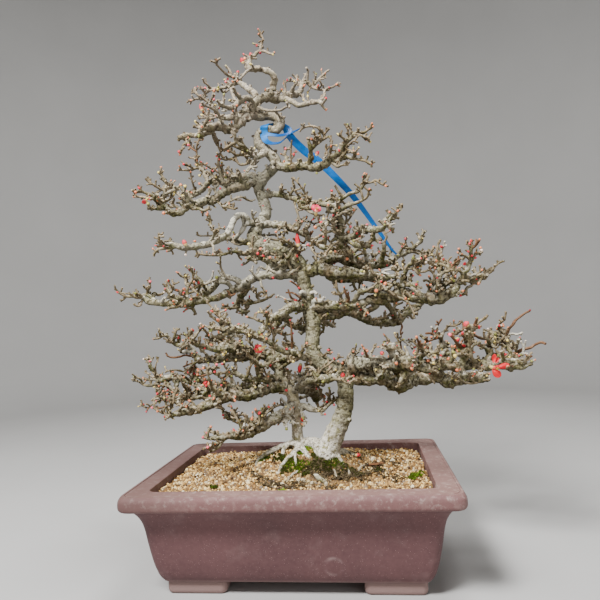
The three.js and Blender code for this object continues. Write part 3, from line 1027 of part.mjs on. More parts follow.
// A brown leaf that dropped on the soil: a thin curled oval
function makeFallenLeaf() {
  const leaf = new THREE.SphereGeometry(1, 10, 6);
  const place = leaf.attributes.position;
  for (let i = 0; i < place.count; i++) {
    const x = place.getX(i);
    const y = place.getY(i);
    place.setXYZ(i, x * 11, y * 5.2 * (1 - 0.25 * x), 0.5 * place.getZ(i) + 1.6 * y * y + 0.8 * x * x);
  }
  leaf.rotateZ(0.5);
  const spot = [92, 6];
  return solidOf(leaf).translate([...spot, soilHeight(...spot) + 2.4]);
}

function makeFallenBud() {
  const spot = [70, 24];
  const height = soilHeight(...spot) + 3.6;
  const base = new THREE.Vector3(spot[0] - 3.5, spot[1], height);
  return budSolid(base, new THREE.Vector3(spot[0] + 3.5, spot[1] + 1, height), 2.7);
}

function nodeMesh(name, solid, material) {
  const mesh = new THREE.Mesh(geometryOf(solid), material);
  mesh.name = name;
  return mesh;
}

growStem(RIGHT_STEM);
growStem(LEFT_STEM);
const limbs = [
  LOW_LIMBS, LEFT_STEM_LIMBS, CROSSING_LIMBS, RIGHT_LOW_LIMBS, THIRD_LEFT_LIMBS, RIGHT_MID_LIMBS,
  RIGHT_HIGH_LIMBS, SECOND_LEFT_LIMBS, UPPER_LIMBS, CROWN_LIMBS,
].flatMap((group) => group.map(growLimb));
for (const piece of [...DEAD_WOOD, ...SHOOTS]) growLimb(piece);
placeBlossoms();
const sprays = growSprays(limbs);
const roots = ROOTS.map(growRoot);
const built = buildable([...wood, ...sprays]);
const tree = makeTree([...built, ...roots, ...stalkWays(built)]);
const buried = [built[0].slice(0, 6), built[1].slice(0, 5), ...roots];

const bonsai = new THREE.Group();
bonsai.add(nodeMesh("pot", makePot(), COLOURS.clay));
bonsai.add(nodeMesh("soil", makeSoil(buried), COLOURS.soil));
bonsai.add(nodeMesh("tree", tree, COLOURS.bark));
bonsai.add(nodeMesh("label", makeLabel(), COLOURS.label));
bonsai.add(nodeMesh("drain_screen_left", makeScreen(-1), COLOURS.screen));
bonsai.add(nodeMesh("drain_screen_right", makeScreen(1), COLOURS.screen));
bonsai.add(nodeMesh("fallen_leaf", makeFallenLeaf(), COLOURS.leaf));
bonsai.add(nodeMesh("fallen_bud", makeFallenBud(), COLOURS.petal));
for (const { name, solid } of blossoms) bonsai.add(nodeMesh(name, solid, COLOURS.petal));

// The origin lies under the middle of the whole, at the height of the feet
const span = new THREE.Box3().setFromObject(bonsai);
const middle = span.getCenter(new THREE.Vector3());
bonsai.position.set(-middle.x, -middle.y, 0);

export default bonsai;
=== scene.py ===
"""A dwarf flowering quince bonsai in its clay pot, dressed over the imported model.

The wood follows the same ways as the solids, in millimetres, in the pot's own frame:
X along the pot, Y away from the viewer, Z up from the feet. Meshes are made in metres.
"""

import json
import logging
import math
from collections.abc import Sequence
from dataclasses import dataclass, field
from enum import Enum
from functools import cache

import bmesh
import bpy
from bpy.types import Collection, Material, Mesh, Node, NodeSocket, NodeTree, Object
from mathutils import Matrix, Quaternion, Vector, noise
from mathutils.geometry import intersect_point_line
from mathutils.kdtree import KDTree

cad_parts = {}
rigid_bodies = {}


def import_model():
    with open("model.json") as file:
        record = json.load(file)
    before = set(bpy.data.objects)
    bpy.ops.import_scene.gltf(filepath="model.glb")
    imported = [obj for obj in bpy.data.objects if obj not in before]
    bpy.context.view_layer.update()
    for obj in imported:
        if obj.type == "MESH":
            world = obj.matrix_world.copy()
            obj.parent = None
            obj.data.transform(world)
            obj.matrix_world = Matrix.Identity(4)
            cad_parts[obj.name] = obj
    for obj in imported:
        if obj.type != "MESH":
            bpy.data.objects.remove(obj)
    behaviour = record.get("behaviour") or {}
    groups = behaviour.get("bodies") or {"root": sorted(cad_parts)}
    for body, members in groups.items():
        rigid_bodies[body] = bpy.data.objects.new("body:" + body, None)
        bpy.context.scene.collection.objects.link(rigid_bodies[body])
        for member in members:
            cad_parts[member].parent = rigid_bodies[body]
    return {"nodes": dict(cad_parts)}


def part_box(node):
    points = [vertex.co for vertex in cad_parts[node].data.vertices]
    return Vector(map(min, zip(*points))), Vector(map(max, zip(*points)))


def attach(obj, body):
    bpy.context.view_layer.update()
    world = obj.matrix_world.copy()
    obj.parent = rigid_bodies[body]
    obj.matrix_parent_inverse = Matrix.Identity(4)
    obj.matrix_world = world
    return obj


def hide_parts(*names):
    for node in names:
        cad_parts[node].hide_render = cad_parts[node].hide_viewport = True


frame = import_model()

log = logging.getLogger("quince")

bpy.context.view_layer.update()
BODY = "root"
MM = 0.001
POT_LOW, POT_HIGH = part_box("pot")
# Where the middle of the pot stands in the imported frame, in millimetres
POT_MIDDLE = Vector(((POT_LOW[0] + POT_HIGH[0]) / 2 / MM, (POT_LOW[1] + POT_HIGH[1]) / 2 / MM, 0.0))

# The upright sheet on which the limbs were read, the eye that saw it, how far drifts reach, the
# spacing and seed of side twigs, and what these keep off: the label, large buds and the soil
EYE = Vector((87.0, -688.0, 280.0))
SHEET = 25.0
DEPTH_SPREAD = 2.3
SPRAY_SPACING = 58.0
SPRAY_SEED = 41
LABEL_KEEP_OFF = 9.0
BUD_KEEP_OFF = 13.0
TWIG_FLOOR = 132.0
# Seeds of the fine growth and of how copies are turned in the soil and as buds
GROWTH_SEED = 905
SOIL_TURNS = 5
BUD_TURNS = 11
# Grains on each square metre before their spacing thins them, and how deep thin wood counts as lying
GRAINS_PER_M2 = 260000.0
THIN_RELIEF = 0.6

Colour = tuple[float, float, float, float]
Pair = tuple[Colour, Colour]
Place = tuple[float, float, float]
Stops = tuple[tuple[float, Colour], ...]

# A limb is [drift in depth, [x, height, radius], ...]; a radius is given where it changes
Points = list[list[float]]
Limb = list[float | list[float]]

# Stems, as [x, height, depth, radius]
RIGHT_STEM: Points = [
    [24, 84, 20, 14], [27, 104, 20, 16], [31, 118, 20, 16.5], [36, 130, 20, 13.5], [41, 140, 20, 12],
    [46, 150, 20, 11.2], [52, 162, 20, 10.6], [56, 174, 20, 10], [58, 186, 20, 9.7], [58.5, 198, 20, 9.6],
    [58, 210, 21, 10.5], [55, 219, 22, 11], [48, 221, 22, 10.4], [38, 226, 21, 11], [28, 233, 20, 10],
    [21, 243, 22, 9], [19, 255, 24, 8.6], [20, 265, 26, 8.6], [21, 275, 28, 8.8], [21, 284, 29, 9.6],
    [18, 295, 30, 9], [17, 310, 31, 8.4], [14, 325, 32, 8.2], [11, 340, 31, 8.8], [9, 354, 30, 9.6],
    [2, 366, 28, 9.2], [-6, 373, 27, 9], [-16, 379, 26, 9], [-28, 383, 25, 9], [-40, 386, 24, 9],
    [-49, 392, 24, 8.6], [-51, 401, 24, 8], [-46, 410, 25, 7.5], [-40, 417, 27, 7], [-35, 424, 29, 6.6],
    [-33, 431, 31, 6.3], [-35, 442, 32, 6.4], [-40, 455, 31, 6.5], [-42, 462, 30, 7], [-39, 470, 28, 7],
    [-29, 481, 26, 6.4], [-20, 488, 23, 6.2], [-17, 495, 22, 6.2], [-22, 503, 21, 6.2], [-30, 511, 20, 6],
    [-38, 520, 19, 6], [-40, 528, 18, 5.8], [-35, 535, 18, 5.6], [-26, 537, 18, 5.4], [-17, 537, 18, 5.4],
    [-11, 541, 19, 5.4], [-9, 547, 21, 5.4], [-14, 553, 22, 5.2], [-24, 557, 22, 5.2], [-38, 557, 20, 5.4],
    [-46, 562, 18, 5.2], [-43, 573, 16, 5.2], [-36, 579, 15, 5], [-26, 583, 14, 4.8], [-18, 590, 12, 4.2],
]

LEFT_STEM: Points = [
    [-6, 90, 48, 7], [-6, 112, 48, 8.6], [-5, 128, 48, 8.4], [-5, 140, 48, 7], [-5, 152, 48, 6.5],
    [-6, 166, 49, 6.8], [-7, 180, 49, 7.2], [-10, 195, 50, 7.6], [-14, 204, 50, 8.6], [-20, 213, 51, 7.6],
    [-24, 223, 53, 7], [-28, 232, 55, 8.4], [-34, 242, 56, 11.5], [-36, 250, 56, 6],
]

LOW_LIMBS: list[Limb] = [
    [
        -34, [-9, 183, 6], [-14, 176, 5], [-20, 170], [-28, 167, 5], [-36, 163], [-44, 158, 5], [-52, 153],
        [-60, 149, 4.4], [-68, 146], [-75, 143, 4], [-82, 142], [-92, 143, 3.4], [-102, 142], [-112, 141],
        [-120, 141, 2.4], [-128, 142, 1.4],
    ],
    [-5, [-48, 158, 3], [-56, 163], [-66, 163], [-76, 163, 2.4], [-82, 165], [-86, 170], [-84, 175, 1]],
    [4, [-84, 164, 2.4], [-92, 166, 3], [-98, 170], [-101, 175], [-104, 180, 1]],
    [10, [-42, 162, 1.8], [-46, 168], [-40, 174], [-32, 179], [-22, 182, 1]],
    [-6, [-44, 160, 2.4], [-50, 167], [-47, 176, 1.6]],
    [-8, [-98, 142, 2], [-104, 136], [-108, 130], [-114, 126], [-121, 123, 1.3]],
    [-8, [-12, 172, 3], [-18, 164], [-20, 155, 1.8]],
    [
        -12, [-2, 178, 3.6], [5, 178], [12, 175], [20, 173], [28, 172], [34, 177, 1.8], [42, 183],
        [54, 190, 0.9],
    ],
    [4, [33, 177, 1.4], [30, 188], [26, 198, 0.9]],
    [
        -34, [-14, 205, 7.5], [-25, 205, 6.5], [-35, 204, 6], [-45, 201], [-55, 198], [-65, 195, 5.6],
        [-75, 194], [-85, 195, 5.8], [-93, 194], [-100, 192, 5], [-108, 188], [-115, 185, 4.4], [-125, 182],
        [-135, 178], [-145, 176, 4], [-155, 175], [-165, 173], [-172, 171, 2.6],
    ],
    [
        26, [-84, 197, 5], [-94, 203, 4.6], [-101, 201], [-108, 196, 4.4], [-118, 199], [-126, 198, 3.6],
        [-135, 195], [-145, 194, 3.6], [-155, 194], [-165, 193, 3], [-171, 190, 2],
    ],
    [16, [-122, 199, 3.6], [-126, 203], [-131, 209], [-135, 214], [-140, 221, 3.4]],
    [
        20, [-133, 211, 3.4], [-143, 214], [-150, 217], [-158, 219], [-166, 221, 3.6], [-173, 220],
        [-180, 218, 4], [-186, 219, 3],
    ],
    [-5, [-185, 219, 2.8], [-190, 226], [-194, 233], [-198, 240], [-200, 247, 1.6]],
    [4, [-188, 221, 1.5], [-195, 223], [-200, 227], [-204, 229, 1]],
    [8, [-186, 217, 2], [-190, 212], [-198, 211], [-205, 212], [-212, 216], [-219, 219, 1.2]],
    [-4, [-206, 213, 1.4], [-210, 219], [-219, 224, 1]],
    [-8, [-186, 214, 1.8], [-187, 207], [-186, 200], [-183, 195], [-185, 190, 1.4]],
    [-4, [-186, 191, 1.3], [-191, 189], [-196, 186], [-201, 182], [-207, 184], [-211, 187, 0.8]],
    [-12, [-176, 216, 2.4], [-171, 208], [-166, 202], [-166, 196, 2.2], [-171, 190], [-172, 184, 1.5]],
    [-6, [-166, 174, 1.6], [-178, 174], [-186, 177], [-194, 182, 0.9]],
    [8, [-150, 176, 2.4], [-155, 182], [-161, 186, 1.6]],
    [-28, [-4, 200, 4], [0, 203], [5, 207], [12, 210], [20, 212], [30, 212], [38, 211], [47, 216, 3.6]],
    [8, [-10, 208, 3], [-4, 214], [3, 219], [12, 223, 1.6]],
    [30, [0, 198, 5], [8, 199], [16, 197], [21, 190, 5], [20, 185, 3.4]],
]

LEFT_STEM_LIMBS: list[Limb] = [
    [
        -30, [-34, 243, 9], [-44, 246, 6], [-56, 249, 5.5], [-68, 252, 5.5], [-80, 256, 5.5], [-90, 257],
        [-100, 255, 5], [-108, 255, 3], [-118, 257], [-125, 259], [-132, 262], [-138, 264, 1.8],
    ],
    [
        14, [-60, 248, 5], [-70, 243, 4.6], [-80, 244], [-90, 243, 4], [-100, 242], [-110, 241, 3.6],
        [-120, 242], [-131, 241, 3.4],
    ],
    [8, [-131, 241, 3.4], [-134, 248], [-138, 254, 3], [-140, 260], [-140, 268, 1.4]],
    [
        -8, [-139, 257, 3], [-148, 262, 3], [-156, 263], [-162, 265, 2.4], [-167, 270], [-172, 275, 1.9],
        [-177, 276], [-183, 273], [-190, 272, 1.3],
    ],
    [-12, [-62, 247, 3], [-60, 240], [-52, 234, 2.8], [-45, 232], [-38, 233, 1.8]],
    [6, [-52, 234, 3.6], [-52, 226], [-51, 219, 3.4], [-56, 211], [-54, 205], [-50, 201, 3]],
    [-14, [-56, 213, 3.2], [-67, 215], [-75, 219], [-82, 223], [-88, 225], [-95, 224], [-102, 224, 1.4]],
    [5, [-82, 223, 1.3], [-81, 232], [-84, 239], [-88, 240, 0.9]],
    [-6, [-100, 224, 1.6], [-106, 222], [-112, 226], [-110, 231], [-107, 233, 1.1]],
    [4, [-110, 225, 1.6], [-120, 226], [-128, 224, 1.3]],
    [10, [-84, 203, 2.6], [-93, 208], [-98, 212], [-100, 218, 1.3]],
    [6, [-98, 212, 1.8], [-107, 209], [-114, 211], [-120, 210, 1.2]],
    [14, [-54, 205, 3], [-62, 206], [-72, 205], [-82, 206], [-90, 210, 2]],
    [-8, [-20, 213, 4.6], [-33, 212], [-42, 213], [-51, 217, 3.6]],
    [-12, [-28, 238, 4], [-15, 241], [-5, 240, 3], [0, 237, 2.4]],
    [8, [-96, 256, 3.4], [-99, 263], [-97, 268, 2.2]],
    [-6, [-98, 266, 1.8], [-106, 267], [-113, 268], [-116, 273], [-116, 279, 1]],
]

CROSSING_LIMBS: list[Limb] = [
    [
        -36, [22, 236, 3.2], [12, 238], [5, 241], [0, 245], [-8, 247], [-15, 248], [-22, 251], [-28, 255],
        [-32, 259], [-38, 263, 3], [-44, 266], [-50, 268], [-57, 272], [-62, 276], [-70, 278, 3.6],
        [-80, 277], [-88, 277], [-95, 278], [-100, 281], [-107, 283], [-113, 283, 1.6],
    ],
    [5, [-96, 279, 2.8], [-97, 284], [-98, 290, 2.4], [-95, 296], [-90, 300, 1.4]],
    [
        -30, [14, 303, 5], [4, 306], [-8, 304, 4.5], [-18, 297], [-27, 294, 3.6], [-34, 291], [-40, 283],
        [-47, 275, 2.8],
    ],
    [30, [-14, 299, 3.4], [-12, 288], [-5, 281], [3, 279], [10, 276, 3], [5, 270, 1.6]],
    [24, [-16, 298, 3], [-20, 290], [-25, 283], [-33, 284, 2]],
    [8, [-22, 283, 2.4], [-28, 277], [-22, 272], [-13, 270, 1.2]],
    [6, [0, 247, 2], [-2, 253], [-8, 257], [-15, 257, 1.2]],
    [-4, [18, 234, 2.4], [17, 228], [18, 220], [22, 213, 1.8]],
    [-8, [22, 216, 1.3], [30, 224], [38, 229], [44, 234], [53, 239, 0.8]],
    [-8, [26, 238, 1.3], [35, 243], [39, 246, 0.9]],
]

RIGHT_LOW_LIMBS: list[Limb] = [
    [
        -34, [58, 217, 9], [66, 224, 8], [75, 228, 7], [85, 231, 6.4], [95, 231], [105, 231, 5.6],
        [113, 229], [120, 227, 5.4], [128, 226], [137, 228, 6.5], [146, 228, 6.5], [152, 226],
        [160, 222, 5.5], [170, 222], [178, 225, 5.5], [187, 224], [196, 222, 4.4], [206, 222],
        [216, 223, 4.4], [226, 224], [236, 221, 4.2], [246, 222], [256, 225], [266, 226], [277, 224, 1.8],
    ],
    [
        10, [62, 215, 8], [74, 212, 7], [84, 210], [94, 209, 5.5], [104, 209], [112, 206, 6],
        [120, 202, 6.5], [127, 200], [134, 202, 6], [142, 206], [150, 208], [160, 209, 6], [170, 211],
        [176, 208, 5.5], [183, 204], [190, 202, 5.5], [198, 204], [206, 206, 5], [216, 206], [226, 207, 5],
        [234, 206, 4.4],
    ],
    [30, [66, 218, 4.5], [78, 219], [88, 218], [97, 214, 4.4], [105, 210, 4]],
    [6, [118, 227, 4.4], [124, 218], [130, 212], [134, 203, 4.4]],
    [4, [140, 226, 4.6], [137, 219], [132, 212, 5]], [2, [170, 222, 4], [172, 215], [178, 209, 4.5]],
    [-6, [246, 220, 3.2], [256, 219], [268, 219, 3.4], [276, 218, 2.4], [285, 222, 1.4]],
    [
        14, [232, 224, 3.2], [236, 232], [237, 240], [239, 247], [244, 250], [251, 251], [258, 252],
        [260, 256, 2],
    ],
    [-8, [258, 251, 2.4], [259, 244], [262, 238], [263, 232], [261, 226, 2.2]],
    [
        -6, [204, 222, 4], [206, 231, 3.8], [208, 238], [210, 245, 3.6], [213, 252], [215, 260, 3.2],
        [217, 268, 2.8], [219, 272, 2],
    ],
    [8, [180, 226, 3.4], [183, 234], [183, 241], [182, 249, 2.8], [180, 256], [181, 263, 2]],
    [6, [181, 261, 1.5], [186, 268], [190, 272], [197, 272], [203, 274, 0.9]],
    [-10, [147, 230, 2.6], [155, 236], [163, 240], [170, 239, 1.8]],
    [-5, [163, 240, 1.6], [157, 245], [150, 250], [146, 255, 1.1]],
    [7, [168, 239, 1.5], [166, 246], [158, 251, 1]],
    [-8, [112, 230, 2.2], [105, 236], [95, 236], [86, 238, 1.3]],
    [8, [63, 222, 1.8], [62, 232], [65, 241], [73, 248, 0.9]],
]

THIRD_LEFT_LIMBS: list[Limb] = [
    [
        -24, [8, 346, 5.4], [-5, 347, 4.6], [-13, 347], [-22, 347, 4.4], [-33, 348, 4], [-42, 348],
        [-50, 346, 4], [-60, 342], [-70, 336, 4.2], [-80, 331, 4], [-90, 327], [-100, 323],
        [-110, 321, 3.2], [-118, 319], [-126, 319], [-134, 318, 3.6], [-143, 317], [-150, 316, 3.6],
        [-160, 317], [-170, 318, 3.6], [-178, 319], [-186, 320], [-193, 321, 3], [-198, 323], [-204, 327],
        [-210, 329, 2], [-218, 330], [-225, 330], [-235, 334, 0.9],
    ],
    [
        14, [-70, 337, 2.8], [-73, 342], [-80, 346], [-88, 348], [-95, 346, 2.6], [-100, 343, 3.4],
        [-106, 338], [-112, 332], [-118, 326], [-125, 321, 3],
    ],
    [-6, [-80, 332, 2.4], [-86, 338], [-92, 342], [-99, 343, 2.4]],
    [6, [-113, 331, 2.8], [-118, 337], [-121, 342], [-128, 350], [-134, 356], [-139, 361, 1.1]],
    [-4, [-120, 338, 1.5], [-130, 337], [-138, 338], [-145, 341, 1]],
    [-4, [-137, 338, 1.5], [-142, 344], [-145, 349, 1.6], [-144, 353, 1]],
    [-10, [-115, 331, 2], [-125, 331], [-133, 332], [-140, 330], [-147, 329, 1.1]],
    [-6, [-145, 318, 2.4], [-150, 323], [-156, 324], [-163, 324, 1.8]],
    [6, [-165, 318, 2.4], [-165, 326], [-166, 331], [-169, 337], [-170, 342, 1.2]],
    [-5, [-165, 330, 1.6], [-162, 338], [-165, 341], [-168, 347, 1.1]],
    [8, [-185, 321, 2.6], [-190, 325], [-194, 329], [-198, 331, 1.8], [-205, 330], [-211, 327, 1.2]],
    [3, [-190, 326, 2], [-187, 333, 1.7]],
    [-4, [-197, 331, 1.5], [-197, 336], [-194, 341], [-193, 347, 1.1]],
    [-7, [-152, 316, 2], [-158, 313], [-165, 312], [-170, 311, 1.1]],
    [5, [-134, 317, 2.6], [-137, 312], [-134, 306], [-132, 302, 1.2]],
    [-8, [-45, 345, 1.6], [-44, 337], [-41, 330], [-38, 325], [-38, 319, 1]],
    [16, [-60, 341, 3], [-62, 334], [-67, 326], [-72, 321], [-76, 314, 3.2], [-76, 307, 2.6]],
    [-6, [-72, 316, 2.6], [-66, 314], [-58, 313], [-50, 314], [-42, 316], [-37, 318], [-30, 320, 1]],
    [4, [-48, 315, 1.6], [-49, 321], [-45, 326], [-41, 326, 1]],
    [5, [-76, 309, 1.8], [-85, 307], [-96, 309, 1]], [-4, [-76, 307, 2.4], [-70, 303], [-64, 301, 1.8]],
    [-5, [-66, 328, 2], [-60, 331], [-53, 332, 1.1]],
]

RIGHT_MID_LIMBS: list[Limb] = [
    [
        -20, [18, 304, 5.4], [30, 304], [40, 305], [50, 304, 4.6], [60, 302], [70, 303], [80, 304],
        [90, 307, 4.4], [97, 310], [110, 309, 5.4], [118, 311], [126, 313], [133, 313, 5.6], [141, 313],
        [148, 311], [155, 309, 5.6], [163, 308], [170, 307], [178, 307, 5.6], [185, 309], [190, 311],
        [196, 314, 4.4], [201, 317, 3.6],
    ],
    [
        26, [20, 293, 6], [32, 294], [45, 293, 5.5], [56, 294], [68, 296, 4.5], [75, 293], [85, 287],
        [97, 281, 4], [110, 280], [125, 279, 4], [131, 281], [137, 289], [145, 292], [151, 295, 2.4],
    ],
    [-4, [82, 290, 3.2], [88, 294], [95, 297], [102, 300], [106, 306, 2.6]],
    [-14, [126, 280, 3], [125, 286], [122, 293], [118, 300], [115, 306, 2.6]],
    [22, [24, 287, 4], [33, 285], [40, 282], [46, 278, 2]],
    [-10, [78, 304, 2.4], [76, 308], [79, 315], [83, 320], [90, 321], [100, 321], [106, 316, 2.4]],
    [6, [104, 315, 3.2], [110, 316], [118, 313], [126, 313, 3]],
    [-8, [58, 303, 2.2], [58, 315], [55, 322], [52, 332, 1.2]],
    [6, [200, 317, 3.6], [203, 322], [206, 327, 3], [210, 328], [217, 327], [222, 323, 1.6]],
    [
        -8, [207, 329, 3], [213, 338], [217, 341, 2.4], [219, 346], [221, 350], [223, 356], [222, 362],
        [223, 368, 1.8], [224, 373, 1.2],
    ],
    [5, [223, 357, 1.4], [230, 360], [234, 363, 1.1]],
    [
        6, [210, 330, 2], [216, 331], [225, 326], [231, 330], [236, 331], [240, 334], [245, 337],
        [250, 343], [257, 349, 1],
    ],
    [8, [182, 309, 3], [183, 318], [190, 325], [200, 326], [206, 327, 2.6]],
    [
        -5, [178, 308, 3], [178, 315], [177, 322], [180, 330, 2.4], [183, 338], [182, 346], [182, 357],
        [181, 365], [183, 376, 1],
    ],
    [6, [183, 338, 1.6], [186, 347], [186, 355], [186, 362], [187, 368, 1.2]],
    [-6, [182, 333, 1.8], [188, 339], [193, 340], [198, 343], [203, 348], [207, 349, 1]],
    [
        -8, [176, 317, 1.6], [172, 326], [175, 330], [176, 335], [174, 340], [170, 343], [163, 341],
        [155, 341, 1.1],
    ],
    [
        -12, [137, 311, 2.8], [137, 318], [136, 325], [136, 332], [138, 338], [142, 344], [145, 350],
        [150, 353], [157, 356, 1.6],
    ],
    [6, [145, 349, 2], [150, 352], [158, 351, 1.4]], [-6, [137, 326, 2.4], [150, 325], [156, 323, 1.8]],
    [6, [140, 345, 1.6], [132, 348], [125, 350, 1]],
    [8, [136, 320, 2.6], [130, 324], [125, 328], [120, 325, 2]],
    [-5, [152, 354, 1.8], [158, 357], [163, 355], [170, 354], [172, 350, 1.2]],
]

RIGHT_HIGH_LIMBS: list[Limb] = [
    [
        -14, [10, 347, 6.5], [22, 351], [32, 352], [40, 350, 6], [50, 347], [60, 346], [70, 345],
        [77, 344, 5.4], [86, 342, 4.4], [96, 340], [108, 338, 4], [118, 336], [128, 338, 2.2],
    ],
    [22, [38, 350, 3.8], [45, 342], [52, 338], [60, 337], [75, 336], [90, 337], [100, 336], [107, 334, 3]],
    [-2, [107, 338, 4], [108, 330], [107, 323], [105, 316, 3.6]],
    [-10, [108, 328, 2.6], [112, 325], [118, 322, 2]],
    [-6, [108, 338, 1.6], [110, 336], [115, 331], [118, 327, 0.9]],
    [
        12, [26, 352, 6], [31, 355], [38, 361], [45, 364, 5.4], [55, 365], [62, 363, 4], [68, 358],
        [75, 354], [82, 351], [90, 352, 3.6], [100, 352], [110, 352], [118, 354], [125, 357], [130, 361],
        [135, 364], [141, 366, 3],
    ],
    [-5, [66, 361, 2.2], [72, 361], [78, 357], [84, 353, 1.8]],
    [10, [98, 352, 2.2], [101, 361], [105, 366], [110, 370, 1.6]],
    [-8, [110, 352, 2.8], [112, 360], [114, 365], [116, 372], [115, 380, 1.8]],
    [-2, [115, 378, 1.6], [118, 384], [120, 388], [118, 392], [117, 397, 1]],
    [-8, [141, 366, 2.4], [148, 368], [152, 372], [158, 377], [162, 379], [163, 385], [166, 391, 1.6]],
    [-4, [145, 367, 1.4], [145, 372], [143, 378], [143, 383, 0.9]],
    [8, [148, 368, 1.4], [157, 365], [162, 362], [170, 361], [177, 362, 0.9]],
    [-6, [150, 370, 1.3], [158, 368], [165, 365], [172, 363], [177, 371, 0.9]],
    [
        -22, [-37, 450, 3.2], [-32, 452], [-18, 453], [-8, 450], [2, 446], [12, 442], [25, 439], [38, 436],
        [52, 433], [58, 432, 2.6],
    ],
    [10, [48, 435, 2.2], [55, 440], [62, 440], [68, 442, 1.3]],
    [-8, [4, 446, 1.4], [5, 437], [7, 428], [9, 420], [10, 414, 1]],
    [-14, [8, 443, 1.8], [10, 438], [18, 431], [26, 425], [34, 421], [42, 421, 1.2]],
    [
        12, [57, 434, 3.6], [60, 425], [60, 418, 3.6], [63, 411], [63, 403], [60, 397, 3.6], [60, 391],
        [62, 384], [64, 377, 3],
    ],
    [-10, [60, 418, 2.5], [56, 417], [50, 413], [45, 410], [40, 405, 1.8]],
    [-8, [60, 425, 2.2], [68, 428], [73, 431], [80, 433], [90, 436], [97, 440], [100, 445], [100, 450, 1.1]],
    [
        -12, [68, 442, 2], [76, 446], [84, 448], [90, 451], [94, 456], [98, 459], [104, 459], [110, 461],
        [115, 457], [122, 453, 1],
    ],
    [-6, [65, 406, 1.3], [72, 412], [78, 420], [84, 427, 0.8]],
    [-6, [62, 400, 2], [57, 404], [50, 400], [40, 398, 1.4]],
    [
        -12, [61, 390, 3], [75, 391], [83, 394], [90, 397], [97, 399], [103, 398, 3.2], [110, 398],
        [115, 400], [119, 405], [123, 408, 3],
    ],
    [3, [103, 398, 2.4], [103, 388], [104, 384, 1.8]],
    [-5, [119, 405, 2.4], [126, 410], [131, 415], [135, 421], [138, 427, 1.1]],
    [-6, [62, 385, 3], [70, 387], [78, 383], [84, 380], [90, 379, 3.2], [97, 379, 2.6]],
    [20, [36, 360, 3], [42, 368], [50, 370], [60, 371], [70, 371], [77, 372], [84, 376], [92, 379, 2.6]],
    [
        -14, [-44, 412, 3.6], [-30, 414], [-20, 412], [-10, 410], [-3, 407], [5, 403], [12, 399, 3.2],
        [18, 396], [22, 392], [28, 388], [33, 384], [38, 380], [45, 379], [48, 376, 2.4],
    ],
    [14, [-44, 402, 1.4], [-38, 400], [-25, 400], [-12, 399, 1]],
    [-16, [6, 368, 1.8], [5, 381], [0, 385], [-8, 390], [-14, 394], [-22, 393], [-33, 396, 1]],
]

